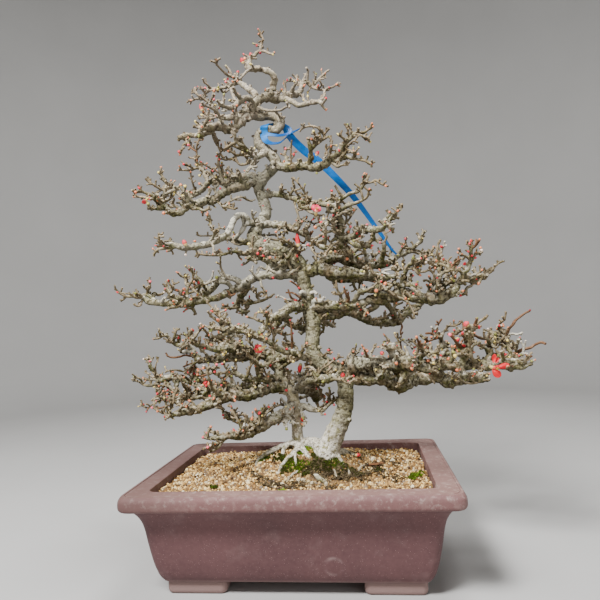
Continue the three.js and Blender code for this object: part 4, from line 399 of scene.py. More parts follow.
SECOND_LEFT_LIMBS: list[Limb] = [
    [
        -22, [-41, 470, 5.5], [-52, 472], [-60, 467], [-70, 466], [-80, 464, 4.5], [-92, 458], [-100, 452],
        [-110, 451], [-120, 449, 4], [-130, 446], [-138, 446], [-144, 440], [-152, 437], [-160, 438],
        [-166, 443], [-171, 450, 3],
    ],
    [-3, [-171, 450, 2.6], [-171, 458], [-168, 468], [-166, 476], [-169, 484, 1.3]],
    [3, [-169, 447, 3.4], [-178, 445], [-184, 447, 2]],
    [-8, [-171, 452, 2.2], [-178, 458], [-186, 463], [-195, 467], [-203, 469], [-210, 468, 1]],
    [6, [-180, 459, 1.6], [-190, 459], [-200, 462], [-212, 463, 0.9]],
    [-6, [-168, 468, 1.4], [-172, 470], [-180, 475], [-188, 480], [-192, 483, 0.9]],
    [6, [-167, 474, 1.3], [-165, 478], [-158, 476], [-156, 470, 0.8]],
    [
        26, [-38, 473, 4.4], [-52, 478], [-62, 478], [-70, 476], [-78, 473], [-95, 475, 4], [-103, 477],
        [-110, 473], [-118, 465], [-124, 461, 2.6],
    ],
    [-6, [-124, 461, 1.7], [-135, 457], [-142, 456], [-147, 459], [-152, 463], [-158, 467, 1]],
    [6, [-109, 474, 2.6], [-111, 481], [-114, 488], [-119, 495], [-122, 500, 1.8]],
    [-6, [-111, 482, 1.4], [-108, 484], [-102, 488], [-98, 493], [-94, 494, 1]],
    [6, [-122, 498, 1.4], [-115, 500], [-110, 497], [-105, 493], [-102, 490, 0.9]],
    [5, [-122, 500, 1.5], [-125, 507], [-133, 510, 1]],
    [-4, [-123, 503, 1.5], [-123, 518], [-122, 527], [-119, 533, 0.8]],
    [-6, [-119, 494, 1.8], [-125, 495], [-133, 493], [-142, 494], [-149, 494, 1]],
    [-8, [-124, 461, 1.5], [-127, 463], [-129, 472], [-131, 480], [-132, 486, 0.9]],
    [-10, [-100, 453, 1.6], [-92, 443], [-85, 440], [-75, 437, 0.9]],
    [12, [-86, 441, 1.5], [-80, 448], [-65, 452], [-58, 448], [-52, 446, 0.9]],
    [-8, [-43, 418, 4.4], [-55, 417, 3.4], [-62, 418, 2.8]],
    [
        -32, [-55, 419, 3], [-61, 425], [-66, 429], [-72, 427], [-77, 422], [-80, 415], [-84, 408],
        [-90, 402], [-97, 398], [-110, 393, 3.2], [-120, 392], [-130, 391], [-140, 390, 3], [-148, 391],
        [-160, 395, 2.6], [-168, 396], [-180, 394, 1.1],
    ],
    [-4, [-154, 392, 1.9], [-165, 391], [-175, 391], [-181, 390], [-187, 384, 1.2]],
    [5, [-65, 426, 2.4], [-63, 414], [-68, 406], [-75, 399, 2]],
    [
        18, [-51, 394, 3.8], [-58, 392], [-70, 395], [-80, 398], [-90, 400], [-97, 404], [-103, 410],
        [-108, 418], [-108, 426, 1.4],
    ],
    [4, [-103, 410, 1.5], [-95, 413], [-88, 411, 0.9]],
    [
        -16, [-46, 383, 3.4], [-55, 378], [-66, 378, 2.4], [-75, 382], [-85, 380], [-95, 378], [-110, 378],
        [-127, 381, 1],
    ],
    [-22, [-4, 367, 3.2], [-18, 361], [-30, 362], [-36, 367], [-45, 371], [-52, 368, 2]],
    [-8, [-32, 361, 1.8], [-31, 356], [-38, 356], [-43, 359], [-48, 356, 1.1]],
    [16, [2, 356, 2.8], [-12, 357], [-20, 356], [-27, 354, 2]],
]

UPPER_LIMBS: list[Limb] = [
    [-14, [-28, 509, 3.4], [-38, 505], [-45, 503, 2.4]],
    [-10, [-45, 503, 2.2], [-52, 510], [-58, 518], [-62, 526], [-63, 532, 1.3]],
    [6, [-58, 513, 1.8], [-66, 517], [-73, 521], [-80, 522, 1]],
    [-5, [-62, 520, 1.9], [-70, 528], [-70, 535], [-71, 541, 1.1]],
    [8, [-45, 504, 1.8], [-55, 507], [-68, 508], [-75, 504], [-83, 503], [-89, 505, 1]],
    [-8, [-45, 503, 1.6], [-50, 498], [-58, 495], [-65, 495], [-70, 500], [-75, 502, 1]],
    [
        -20, [-17, 490, 4.6], [0, 486], [10, 487], [20, 487], [30, 484], [40, 485, 4], [48, 487, 3.6],
        [52, 492], [58, 496], [64, 500], [68, 507, 2.6], [76, 514], [81, 519], [88, 525, 1.8], [97, 524],
        [103, 527], [109, 530, 1],
    ],
    [-3, [79, 517, 1.4], [78, 526], [77, 534, 0.8]], [5, [92, 525, 1.2], [97, 518], [100, 514, 0.8]],
    [-14, [50, 489, 2.6], [58, 490], [66, 492], [73, 495], [80, 492], [86, 491], [98, 487], [106, 482, 1]],
    [-6, [54, 489, 1.8], [62, 483], [68, 484], [76, 484, 1]],
    [-5, [70, 494, 1.4], [76, 503], [83, 499, 0.9]],
    [6, [45, 487, 1.6], [45, 494], [49, 500], [48, 507, 1]],
    [-10, [26, 486, 2.8], [28, 500], [28, 510], [26, 520, 1.8]],
    [-8, [28, 507, 2.2], [36, 514], [42, 518], [50, 522, 1.5]],
    [-6, [48, 521, 1.6], [46, 527], [42, 532], [38, 536], [32, 538], [25, 538], [20, 537, 0.9]],
    [-7, [4, 487, 1.3], [2, 498], [4, 522, 0.9]],
    [
        -20, [-46, 573, 3.4], [-50, 582], [-56, 583], [-62, 580], [-68, 575], [-75, 572], [-82, 574],
        [-90, 579, 2],
    ],
    [18, [-45, 566, 3.6], [-58, 565], [-66, 560], [-80, 559], [-88, 561], [-96, 563], [-106, 561, 2.2]],
    [
        -4, [-94, 563, 2.4], [-94, 568], [-96, 574], [-99, 578], [-103, 582], [-110, 587, 1.6], [-116, 591],
        [-120, 595], [-124, 599, 1],
    ],
    [4, [-110, 587, 1.4], [-115, 587], [-120, 589], [-125, 587], [-131, 586, 1]],
    [-3, [-109, 588, 1.4], [-109, 594], [-112, 601, 0.9]],
    [-6, [-106, 561, 2], [-110, 565], [-113, 570, 1.2]],
    [
        -26, [-40, 557, 4.6], [-52, 558], [-60, 553], [-68, 546], [-76, 543], [-88, 547, 4], [-98, 549],
        [-106, 548], [-118, 547, 2.6],
    ],
    [-5, [-96, 547, 3.2], [-104, 543], [-110, 541], [-120, 539], [-130, 540], [-140, 539], [-146, 537, 2.2]],
    [-4, [-137, 538, 1.4], [-136, 530], [-141, 528], [-142, 523], [-144, 519, 1]],
    [6, [-99, 546, 1.5], [-100, 541], [-97, 536], [-94, 530], [-94, 524], [-92, 518], [-90, 510, 0.8]],
    [4, [-93, 520, 1.1], [-86, 517], [-80, 516, 0.8]],
]

CROWN_LIMBS: list[Limb] = [
    [-8, [-18, 590, 3.6], [-16, 600], [-15, 608], [-22, 615], [-30, 619], [-38, 621], [-46, 621, 2.4]],
    [
        8, [-46, 621, 2.4], [-48, 625], [-47, 632], [-45, 637], [-40, 639], [-36, 643], [-32, 645, 1.6],
        [-31, 650], [-29, 656], [-28, 661], [-31, 669, 0.9],
    ],
    [-6, [-32, 644, 1.4], [-26, 643], [-20, 640], [-16, 638, 0.9]],
    [3, [-48, 622, 2.4], [-52, 625], [-50, 632, 1.5]],
    [-8, [-46, 621, 1.6], [-52, 618], [-58, 612], [-63, 608, 1]],
    [12, [-40, 578, 3.6], [-42, 588], [-50, 595], [-58, 602], [-63, 607], [-66, 613, 2]],
    [10, [-63, 606, 2.1], [-70, 603], [-78, 600], [-90, 600], [-98, 600], [-104, 600, 1.4]],
    [4, [-103, 600, 1.6], [-107, 595], [-109, 590, 1]],
    [-12, [-66, 611, 1.7], [-76, 616], [-82, 621], [-88, 628], [-94, 636, 0.9]],
    [10, [-62, 580, 1.9], [-66, 580], [-70, 585], [-72, 592], [-74, 598, 1]],
    [14, [-24, 582, 4.2], [-15, 577], [-5, 580], [5, 582], [15, 583], [20, 588, 2.8]],
    [-6, [6, 582, 2.4], [10, 592], [14, 597, 1.3]], [5, [20, 588, 2.4], [20, 597], [15, 603, 1.3]],
    [-5, [16, 601, 1.3], [10, 600], [2, 601, 0.9]], [6, [20, 595, 1.4], [24, 602], [27, 608, 0.9]],
    [12, [20, 592, 2.3], [28, 597], [33, 590], [36, 592], [44, 600], [52, 606, 1.3]],
    [-8, [33, 590, 1.6], [45, 585], [60, 587], [66, 590, 0.9]],
    [-20, [-12, 578, 3], [0, 577], [8, 572], [15, 567], [25, 568], [35, 569], [42, 569], [46, 566, 1.8]],
    [5, [40, 569, 1.8], [49, 575], [50, 583], [52, 585, 1]],
    [-12, [-42, 562, 1.9], [-38, 569], [-30, 565], [-20, 563], [-8, 563], [-2, 566], [4, 568, 1.1]],
]

# Bare, weathered pieces, and the reddish shoots of the last year
DEAD_WOOD: list[Limb] = [
    [2, [123, 226, 5], [122, 234], [120, 242, 4.8], [119, 253, 4.2]],
    [-8, [95, 352, 2.5], [94, 358], [92, 365], [92, 373, 1.5]],
    [-6, [119, 402, 1.7], [125, 403], [131, 404, 0.9]], [5, [139, 328, 2.4], [143, 330], [146, 337, 1.7]],
    [-8, [108, 340, 1.2], [115, 345], [122, 346], [127, 346, 0.7]],
    [-6, [6, 311, 1.3], [-5, 314], [-12, 315], [-18, 319], [-24, 319, 0.9]],
    [-6, [18, 321, 2.8], [24, 323], [28, 320, 1.2]], [-10, [16, 318, 2.6], [9, 324], [6, 321, 1.6]],
    [-8, [22, 308, 3], [26, 312], [33, 311], [37, 316, 1.4]],
    [-4, [-138, 253, 2.3], [-145, 253], [-154, 253, 1.8]],
    [4, [258, 254, 1.7], [253, 261], [248, 262], [243, 261, 1]],
    [-3, [249, 261, 1.4], [248, 268], [251, 272], [253, 277, 0.8]],
    [-5, [260, 258, 1.3], [266, 259], [272, 258], [278, 260, 0.9]], [-3, [278, 240, 1.1], [281, 250, 0.7]],
    [-3, [187, 366, 1], [190, 373], [191, 378, 0.7]],
    [-5, [-119, 339, 1.7], [-112, 344], [-108, 350], [-107, 357, 1.1]],
    [5, [-107, 282, 1.4], [-113, 277], [-113, 271, 0.8]], [-6, [-12, 180, 2.2], [-20, 184], [-25, 190, 1]],
]

SHOOTS: list[Limb] = [
    [-8, [131, 281, 1.2], [133, 274], [131, 268], [131, 260], [130, 252], [131, 245, 0.8]],
    [-8, [62, 304, 1.7], [68, 312], [65, 318], [63, 325, 1]],
    [-4, [259, 255, 1.6], [261, 264], [267, 270], [270, 275], [277, 280], [283, 284], [288, 286, 0.9]],
    [5, [263, 239, 1.4], [268, 245], [272, 250, 0.9]],
    [-8, [263, 234, 1.8], [270, 236], [276, 239], [285, 241], [292, 245], [298, 247], [304, 245, 1]],
    [4, [276, 224, 1.3], [281, 228], [287, 231, 0.8]], [-5, [218, 271, 1.7], [222, 273], [225, 280, 1.2]],
    [6, [213, 269, 1.4], [207, 267], [200, 263], [195, 262], [188, 262, 0.9]],
    [-6, [207, 241, 1.7], [200, 249], [195, 256], [190, 262, 1]],
    [-5, [180, 261, 1.6], [174, 261], [167, 264], [161, 264, 1]],
    [-3, [179, 260, 1.1], [176, 270], [179, 277], [182, 281, 0.7]],
    [7, [216, 256, 1.7], [220, 259], [226, 256], [232, 254], [238, 256, 1]],
    [-4, [236, 254, 1.2], [238, 260], [237, 266, 0.8]], [-5, [223, 367, 1.5], [228, 370], [233, 377, 1.1]],
    [-4, [197, 342, 1.2], [200, 348], [206, 353], [210, 355, 0.7]],
    [-7, [-8, 248, 1.5], [-7, 258], [-7, 268], [-7, 280], [-8, 287, 0.8]],
    [-6, [-136, 249, 1.5], [-142, 248], [-150, 249], [-158, 247], [-168, 247], [-174, 250, 0.8]],
    [6, [-133, 240, 1.3], [-143, 237], [-152, 234, 0.8]],
    [-4, [-134, 239, 1.1], [-140, 230], [-145, 223, 0.7]],
    [-6, [-171, 185, 1.3], [-178, 183], [-188, 181], [-196, 182, 0.8]],
    [-5, [10, 322, 1.3], [2, 333], [-5, 338, 0.8]],
    [-5, [6, 312, 1.3], [-4, 316], [-7, 321], [-9, 328, 0.9]],
    [-8, [8, 374, 1.4], [12, 384], [15, 388], [22, 395], [27, 402, 0.9]],
    [-3, [-137, 533, 1.1], [-133, 526], [-128, 521], [-123, 517, 0.8]],
]

# Surface roots, as [x, depth, lift above the soil, radius]
ROOTS: list[Points] = [
    [
        [-8, 44, 3, 6], [-22, 40, 6, 4], [-36, 36, 6, 3.1], [-46, 32, 4, 2.7], [-55, 28, 2, 2.3],
        [-58, 18, 0, 1.8], [-56, 9, -3, 1.3],
    ],
    [
        [11, 4, -2, 2.2], [5, 13, 2, 2.8], [-1, 22, 5, 3.2], [-10, 29, 7, 3.2], [-19, 30, 6, 2.8],
        [-24, 26, 3, 2.3], [-25, 19, -2, 1.7],
    ],
    [
        [-4, 26, 6, 2.6], [-7, 18, 3, 2.5], [-13, 10, 1.6, 2.3], [-18, 1, 1, 1.9], [-22, -7, 0.6, 1.6],
        [-23, -18, 0, 1.4], [-22, -31, -3, 1.1],
    ],
    [[-8, 18, 3, 1.3], [-7, 6, 1, 1.1], [-5, -6, 0.6, 1], [-3, -21, -3, 0.9]],
    [[0, -19, -2, 0.9], [-6, -33, 0.4, 1.1], [-9, -47, 0, 0.9], [-8, -60, -3, 0.7]],
    [[19, -31, -2, 1.5], [22, -38, 1.2, 2], [28, -47, 1.2, 2.1], [34, -59, 0.8, 1.7], [37, -74, -3, 1.1]],
    [[40, 27, -1, 2.2], [45, 17, 1.6, 1.9], [49, 6, 1.2, 1.6], [53, -5, -3, 1.1]],
    [[42, -18, -1, 1], [45, -34, 0.9, 1.1], [48, -44, -2, 0.8]],
    [[57, -8, -1, 1], [60, -27, 0.9, 1.2], [57, -55, -2, 0.9]],
    [[81, 13, -2, 1], [74, -4, 0.6, 1.1], [69, -16, -2, 0.8]],
    [[30, 20, 0, 10], [33, 8, -2, 5.5], [35, -1, -5, 3]],
    [[-4, 46, 1, 8], [8, 38, 3, 7.5], [20, 30, 3, 8.5], [30, 22, 2, 12]],
    [[34, 24, 0, 10], [54, 34, -1, 5], [72, 40, -5, 3]], [[14, 34, 0, 8], [6, 60, -1, 5], [-4, 78, -5, 3]],
]

# The label's strap, as [x, height, depth, width]
LABEL_TAIL: Points = [
    [131, 365, 46, 2.6], [125, 372, 46, 3.2], [117, 385, 46, 4.4], [107, 401, 45, 5.8], [97, 417, 44, 6.6],
    [86, 434, 43, 7.8], [76, 448, 42, 8.8], [62, 465, 40, 10], [48, 481, 38, 11], [34, 495, 36, 12],
    [20, 507, 32, 12], [8, 520, 26, 12], [1, 530, 22, 12],
]

LABEL_BEND: Points = [
    [1, 530, 22, 12], [-1, 537, 27, 11.4], [-7, 542, 34, 10], [-15, 543.6, 36, 9], [-24, 544.2, 29, 8.4],
    [-28, 545.4, 17, 8.6], [-31, 543, 10, 9.6], [-32, 537, 11.6, 10], [-31, 529, 11.2, 10],
]

LABEL_LOWER_LEG: Points = [
    [-32, 531, 11.4, 9], [-30, 524.6, 9, 7.6], [-23, 520.4, 10, 5], [-12, 520, 13, 3.4], [-4, 525, 18, 3.2],
    [1, 530, 22, 3.2],
]

LABEL_UPPER_LEG: Points = [
    [-29, 533, 11.4, 5.6], [-22, 531.4, 11, 4.2], [-12, 529.6, 11.6, 3.6], [-2, 530.6, 16, 3.8],
    [8, 533, 20, 3.4], [19, 537.5, 20, 0.9],
]

# Pot walls, as [inset from the lip's outer edge, height]
POT_OUTSIDE: Points = [
    [35.6, 15], [31.6, 22], [27.6, 35], [23.7, 55], [21.1, 71], [18.6, 81], [15.4, 88], [12.2, 92.6],
    [10.2, 96.2], [3.0, 96.8], [0.5, 99.2], [0, 104], [0.6, 109], [3.0, 112.7],
]

POT_INSIDE: Points = [
    [43.3, 27.5], [38.8, 36], [33.3, 56], [29.8, 76], [26.9, 96], [25.8, 110.7], [24.4, 113.7]
]

# Moss on the soil, as [x, depth, radius, tint from dark olive to bright green]
MOSS: Points = [
    [5, 25, 9, 0.75], [0, 15, 8, 0.6], [-45, 26, 8, 0.4], [-52, 20, 5, 0.5], [-12, -3, 10, 0.45],
    [2, -12, 11, 0.55], [-15, -20, 8, 0.35], [9, -26, 8, 0.3], [-30, 14, 8, 0.3], [39, -2, 10, 0.4],
    [49, -9, 10, 0.45], [61, -17, 10, 0.3], [70, -28, 9, 0.3], [32, -16, 8, 0.2], [20, -8, 8, 0.3],
    [137, -30, 9, 0.6], [130, -42, 6, 0.45], [-11, -84, 5, 0.95], [-90, -70, 7, 0.4], [96, -10, 8, 0.25],
    [22, 44, 10, 0.4], [20, 10, 9, 0.35], [42, 12, 8, 0.4], [-20, 8, 9, 0.3], [-4, -13, 9, 0.5],
    [17, -17, 9, 0.3], [28, -6, 9, 0.25], [36, -24, 7, 0.12], [52, -30, 7, 0.15], [24, -24, 6, 0.2],
    [64, -34, 6, 0.12],
]

# Dark crumbs, chips and bits of twig round the mound, as [x, depth, radius, how many]
LITTER: Points = [
    [-28, -60, 15, 70], [-12, -68, 13, 60], [16, -22, 14, 80], [29, -31, 16, 90], [43, -36, 17, 100],
    [56, -42, 15, 80], [72, -34, 16, 80], [6, -61, 11, 40], [41, -77, 9, 30], [92, -18, 18, 60],
    [22, -6, 12, 60], [48, -14, 12, 70], [64, -22, 12, 60], [112, -40, 16, 40], [-60, -20, 20, 30],
    [-40, -40, 15, 40], [70, 20, 20, 50], [110, 20, 25, 40],
]

# Larger stones, as [x, depth, radius, tint]
STONES: Points = [
    [-39, 10, 2.6, 0.88], [-39, -17, 2.6, 0.9], [-52, 12, 2.4, 0.88], [3, -50, 3.2, 0.96],
    [-14, -60, 3, 0.97], [88, 22, 3.8, 0.96], [-70, -20, 3, 0.96], [9, -52, 3.4, 0.95], [15, -55, 3, 0.78],
    [-4, -56, 2.8, 0.78], [-30, -40, 2.8, 0.5], [-100, -40, 3, 0.5], [-80, -70, 3, 0.78],
    [60, -80, 3, 0.95], [100, -70, 2.8, 0.3], [20, -62, 3.2, 0.96], [-55, -50, 2.6, 0.96],
    [-120, 10, 2.6, 0.78], [120, -5, 2.6, 0.5], [84, -66, 2.6, 0.88], [52, -66, 3, 0.78],
    [-24, -28, 2.6, 0.95], [-46, -4, 2.4, 0.5], [30, -84, 2.6, 0.5], [-60, 60, 3, 0.5],
]

# The faint ring on the pot's front, as its middle and its radius
STAIN = (43.0, -108.5, 33.5, 9.5)
# The limbs in the order in which the solids grow them
LIMB_GROUPS: list[list[Limb]] = [
    LOW_LIMBS,
    LEFT_STEM_LIMBS,
    CROSSING_LIMBS,
    RIGHT_LOW_LIMBS,
    THIRD_LEFT_LIMBS,
    RIGHT_MID_LIMBS,
    RIGHT_HIGH_LIMBS,
    SECOND_LEFT_LIMBS,
    UPPER_LIMBS,
    CROWN_LIMBS,
]

# Large buds that the solids hold, as base, tip, radius and drift; the names are the solids' own
BUDS: dict[str, list] = {
    "bud_tall": [[7, 382], [5.5, 400], 3.1, -12],
    "bud_hanging": [[3, 233], [0.5, 221], 3, -4],
    "bud_low": [[3, 166], [3, 158], 3.4, -6],
    "bud_far_left": [[-193, 457], [-201, 454], 3.1, -4],
    "bud_second_left": [[-142, 393], [-146, 401], 3, -6],
    "bud_crown_left": [[-113, 571], [-116, 581], 2.8, -4],
    "bud_crown_top": [[-55, 630], [-58, 638], 2.8, -5],
    "bud_upper_right": [[35, 499], [39, 505], 2.4, -6],
    "bud_lower_left": [[-126, 209], [-120, 214], 3, -6],
    "bud_crossing": [[-46, 270], [-48, 277], 2.8, -5],
    "bud_stem": [[56, 212], [56, 219], 3, -14],
    "bud_right_pair": [[147, 237], [147, 244], 2.6, -8],
    "bud_right_high": [[214, 271], [209, 276], 3.8, -6],
    "bud_right_far": [[258, 231], [253, 235], 3, -5],
    "bud_pink_side": [[109, 240], [104, 243], 2.8, -6],
    "bud_left_tall": [[-96, 270], [-96, 279], 2.8, -8],
}

# Open flowers, as stalk end, the point they face, petal length and drift
FLOWERS: dict[str, list] = {
    "flower_top": [[31.2, 421.5], [32.4, 428], 6.2, -8],
    "flower_left": [[-41, 256.6], [-50, 253], 6.4, -12],
    "flower_right": [[236, 220], [243, 218], 8, -12],
}

# Each flower's petals, as where it springs, its tip, its width, and how far the tip comes forward
PETALS: dict[str, list] = {
    "flower_top": [
        [[31.6, 426], [27.4, 435.6], 7, 2], [[32.4, 426.5], [38.4, 431.6], 7.5, 3],
        [[32, 427], [33.6, 435.6], 6.5, -3], [[31.6, 427], [30.4, 436], 6, -4],
        [[32, 426.6], [34, 432], 5, 5],
    ],
    "flower_left": [
        [[-43.5, 254.6], [-56.5, 257.4], 4.8, 2], [[-43.4, 253.4], [-58, 253.4], 5.2, 3],
        [[-43.5, 252.2], [-56, 249.6], 4.8, 2], [[-44, 254.4], [-53, 258.6], 3.8, -2],
        [[-44, 252.4], [-52, 248.4], 3.8, -2],
    ],
    "flower_right": [
        [[239.5, 216.5], [248.5, 206.5], 9.5, 4], [[245, 218.5], [260.5, 221.5], 7, 2],
        [[241, 224.5], [243.5, 235.5], 5.6, -1], [[243.6, 224], [248, 230.5], 4, -3],
        [[242, 218.5], [248, 220], 4, 5],
    ],
}

# Where the picture shows limbs crowded with stubs, as [x, height, half width, half height, how many]
CROWDED: Points = [
    [-146, 451, 43, 14, 24], [-81, 580, 49, 17, 8], [23, 371, 78, 26, 40], [177, 330, 62, 23, 30],
    [-107, 262, 62, 23, 46], [-138, 200, 55, 18, 40], [196, 241, 84, 20, 50], [77, 412, 62, 19, 26],
    [-140, 336, 50, 12, 9], [245, 250, 32, 16, 12],
]

# How the wood looks here and there, as ovals of the sheet: [x, height, half width, half height,
# how pale the bark is, how much of the fine growth is there]
LOOKS: Points = [
    [-74, 415, 19, 17, 1.0, 0.0], [-120, 394, 42, 13, 0.3, 0.35], [-62, 349, 58, 17, 0.4, 0.2],
    [-165, 325, 78, 28, 0.0, 0.42], [-32, 588, 104, 62, 0.34, 0.55], [-36, 466, 20, 88, 0.42, 1.0],
    [-4, 180, 18, 44, 0.42, 1.0], [97, 236, 34, 13, 0.25, 0.5], [132, 318, 100, 36, 0.0, 0.8],
    [-105, 470, 75, 24, 0.14, 0.9], [60, 412, 70, 24, 0.1, 0.85],
]

# Finer twigs than the solids hold, read in the picture
FINE_TWIGS: list[Limb] = [
    [-3, [-91, 632, 0.9], [-91, 638, 0.8]], [2, [-120, 595, 1], [-122, 603, 0.8]],
    [-2, [-84, 575, 1], [-84, 582, 0.8]], [-4, [-106, 561, 2.4], [-108, 556, 2], [-106, 549, 1.6]],
    [-3, [-51, 496, 1.2], [-51, 489, 0.9]], [3, [81, 520, 1.2], [81, 533, 0.8]],
    [-3, [47, 526, 1.2], [52, 531, 0.9]], [-5, [33, 512, 1.2], [33, 519, 1], [36, 528, 0.8]],
    [4, [-118, 440, 1.2], [-118, 432, 0.8]], [-4, [-123, 517, 1.2], [-130, 524, 1], [-134, 528, 0.9]],
    [-4, [-52, 368, 2], [-58, 370, 1.6]], [-6, [-45, 371, 2.4], [-52, 377, 2], [-56, 384, 1.8]],
    [-3, [-142, 386, 1.2], [-145, 391, 0.9]], [-3, [-128, 384, 1.1], [-130, 390, 0.9]],
    [-4, [95, 457, 1.3], [94, 464, 1], [97, 466, 0.8]],
    [-5, [66, 408, 1.3], [70, 412, 1.1], [70, 422, 0.8]], [-4, [-9, 410, 1.6], [-8, 402, 1]],
    [-8, [24, 380, 1.5], [28, 372, 1.3], [30, 368, 1]], [-8, [52, 365, 2.4], [63, 366, 2], [70, 366, 1.6]],
    [-3, [132, 417, 1.2], [142, 425, 0.9]], [-8, [88, 338, 1.4], [98, 333, 1.2], [104, 332, 1]],
    [-4, [146, 346, 1.5], [155, 348, 1.2], [160, 350, 0.9]],
    [6, [133, 288, 3], [140, 294, 2.8], [150, 298, 2.6], [158, 300, 2.4]],
    [-6, [56, 318, 1.4], [50, 319, 1]], [-3, [185, 347, 1.2], [190, 349, 0.9]],
    [-8, [97, 229, 3.6], [100, 220, 3.8], [104, 211, 4]],
    [-4, [107, 229, 3], [112, 219, 3.2], [117, 209, 3.4]],
    [-6, [200, 221, 3], [203, 215, 3.2], [206, 208, 3.4]],
    [4, [170, 222, 4], [178, 209, 4.2], [186, 204, 4.4]], [-4, [251, 272, 1.2], [258, 277, 0.9]],
    [-8, [64, 230, 1.4], [70, 239, 1.2], [78, 245, 1]], [-6, [60, 224, 1.4], [55, 231, 1]],
    [-6, [118, 240, 1.2], [112, 246, 1], [105, 252, 0.8]], [-8, [0, 210, 2], [8, 216, 1.7], [18, 218, 1.4]],
    [-4, [-98, 288, 2.2], [-102, 292, 1.8]], [-8, [-97, 268, 1.6], [-85, 263, 1.3], [-79, 260, 1]],
    [-4, [-116, 274, 1.3], [-124, 284, 1]], [-5, [-112, 227, 1.3], [-116, 231, 1.1], [-124, 231, 0.9]],
    [-6, [-18, 231, 2.4], [-8, 238, 2]], [-6, [16, 199, 3], [25, 206, 2.6], [30, 204, 2.2], [32, 209, 1.8]],
    [-4, [-138, 337, 1.5], [-134, 332, 1.1]], [-5, [-130, 319, 2], [-130, 324, 1.6], [-138, 324, 1.2]],
    [-3, [-162, 336, 1.2], [-161, 343, 0.9]], [-3, [-197, 337, 1], [-200, 340, 0.8]],
    [-4, [-212, 329, 1.3], [-214, 334, 1]], [3, [-226, 330, 1.2], [-232, 325, 0.8]],
    [-4, [-203, 325, 1.3], [-206, 321, 1.1], [-207, 317, 1], [-212, 316, 0.8]],
    [-3, [-135, 310, 1.2], [-142, 310, 0.9]], [-4, [-118, 124, 1.1], [-124, 129, 0.9]],
    [-6, [-58, 150, 2.6], [-62, 158, 2]], [-5, [-64, 148, 2.2], [-67, 155, 1.7]],
    [-5, [-8, 166, 2.4], [-12, 158, 2]], [-5, [-16, 183, 1.2], [-15, 190, 1], [-20, 196, 0.9]],
    [-6, [32, 182, 1.1], [36, 186, 1], [36, 193, 0.8]], [-5, [26, 172, 1.2], [26, 167, 0.9]],
    [-6, [0, 172, 2], [3, 168, 1.6], [3, 165, 1.3]],
]

FINE_DEAD: list[Limb] = [
    [-4, [-86, 569, 1.2], [-80, 569, 1]], [-8, [10, 384, 1.2], [17, 383, 0.9]],
    [-8, [113, 342, 1.2], [121, 340, 0.9]], [-8, [131, 259, 1.3], [140, 251, 1.1], [145, 247, 0.9]],
    [-4, [216, 332, 1.2], [226, 335, 0.8]], [-8, [178, 311, 1.6], [174, 317, 1.2], [171, 324, 0.9]],
    [-3, [284, 222, 1.1], [290, 226, 0.8]], [-8, [175, 264, 1.2], [169, 272, 0.9]],
    [-8, [150, 229, 1.2], [147, 235, 0.9]], [-8, [-178, 320, 1.8], [-174, 326, 1.3]],
    [-6, [-77, 144, 1.3], [-77, 150, 1.1], [-74, 156, 0.9]],
]

FINE_SHOOTS: list[Limb] = [
    [-8, [210, 256, 1.2], [205, 260, 0.9]], [-8, [180, 259, 1.2], [170, 256, 1], [161, 253, 0.8]],
    [-8, [155, 247, 1.3], [152, 254, 1], [150, 260, 0.8]], [-8, [88, 238, 1.2], [84, 248, 0.9]],
    [-5, [-138, 233, 1.2], [-147, 229, 0.8]], [-5, [-118, 224, 1.2], [-127, 221, 1], [-133, 223, 0.8]],
    [-8, [6, 316, 1.2], [-3, 323, 1], [-12, 324, 0.8]],
    [-8, [-88, 327, 1.4], [-84, 324, 1.2], [-79, 326, 0.9]], [-5, [-201, 182, 1.1], [-204, 177, 0.8]],
    [-5, [-139, 196, 1.2], [-143, 203, 1], [-147, 209, 0.8]],
]


class WoodKind(Enum):
    """The ages of wood, with the value that the bark finish reads."""

    OLD = 0.0
    DEAD = 1.0
    SHOOT = 2.0


class Tint(Enum):
    """The colours of small buds, with the value that the bud finish reads."""

    GREEN = 0.05
    YELLOW = 0.2
    ORANGE = 0.36
    RED = 0.55
    DEEP = 0.7
    PINK = 0.83
    PALE = 0.97


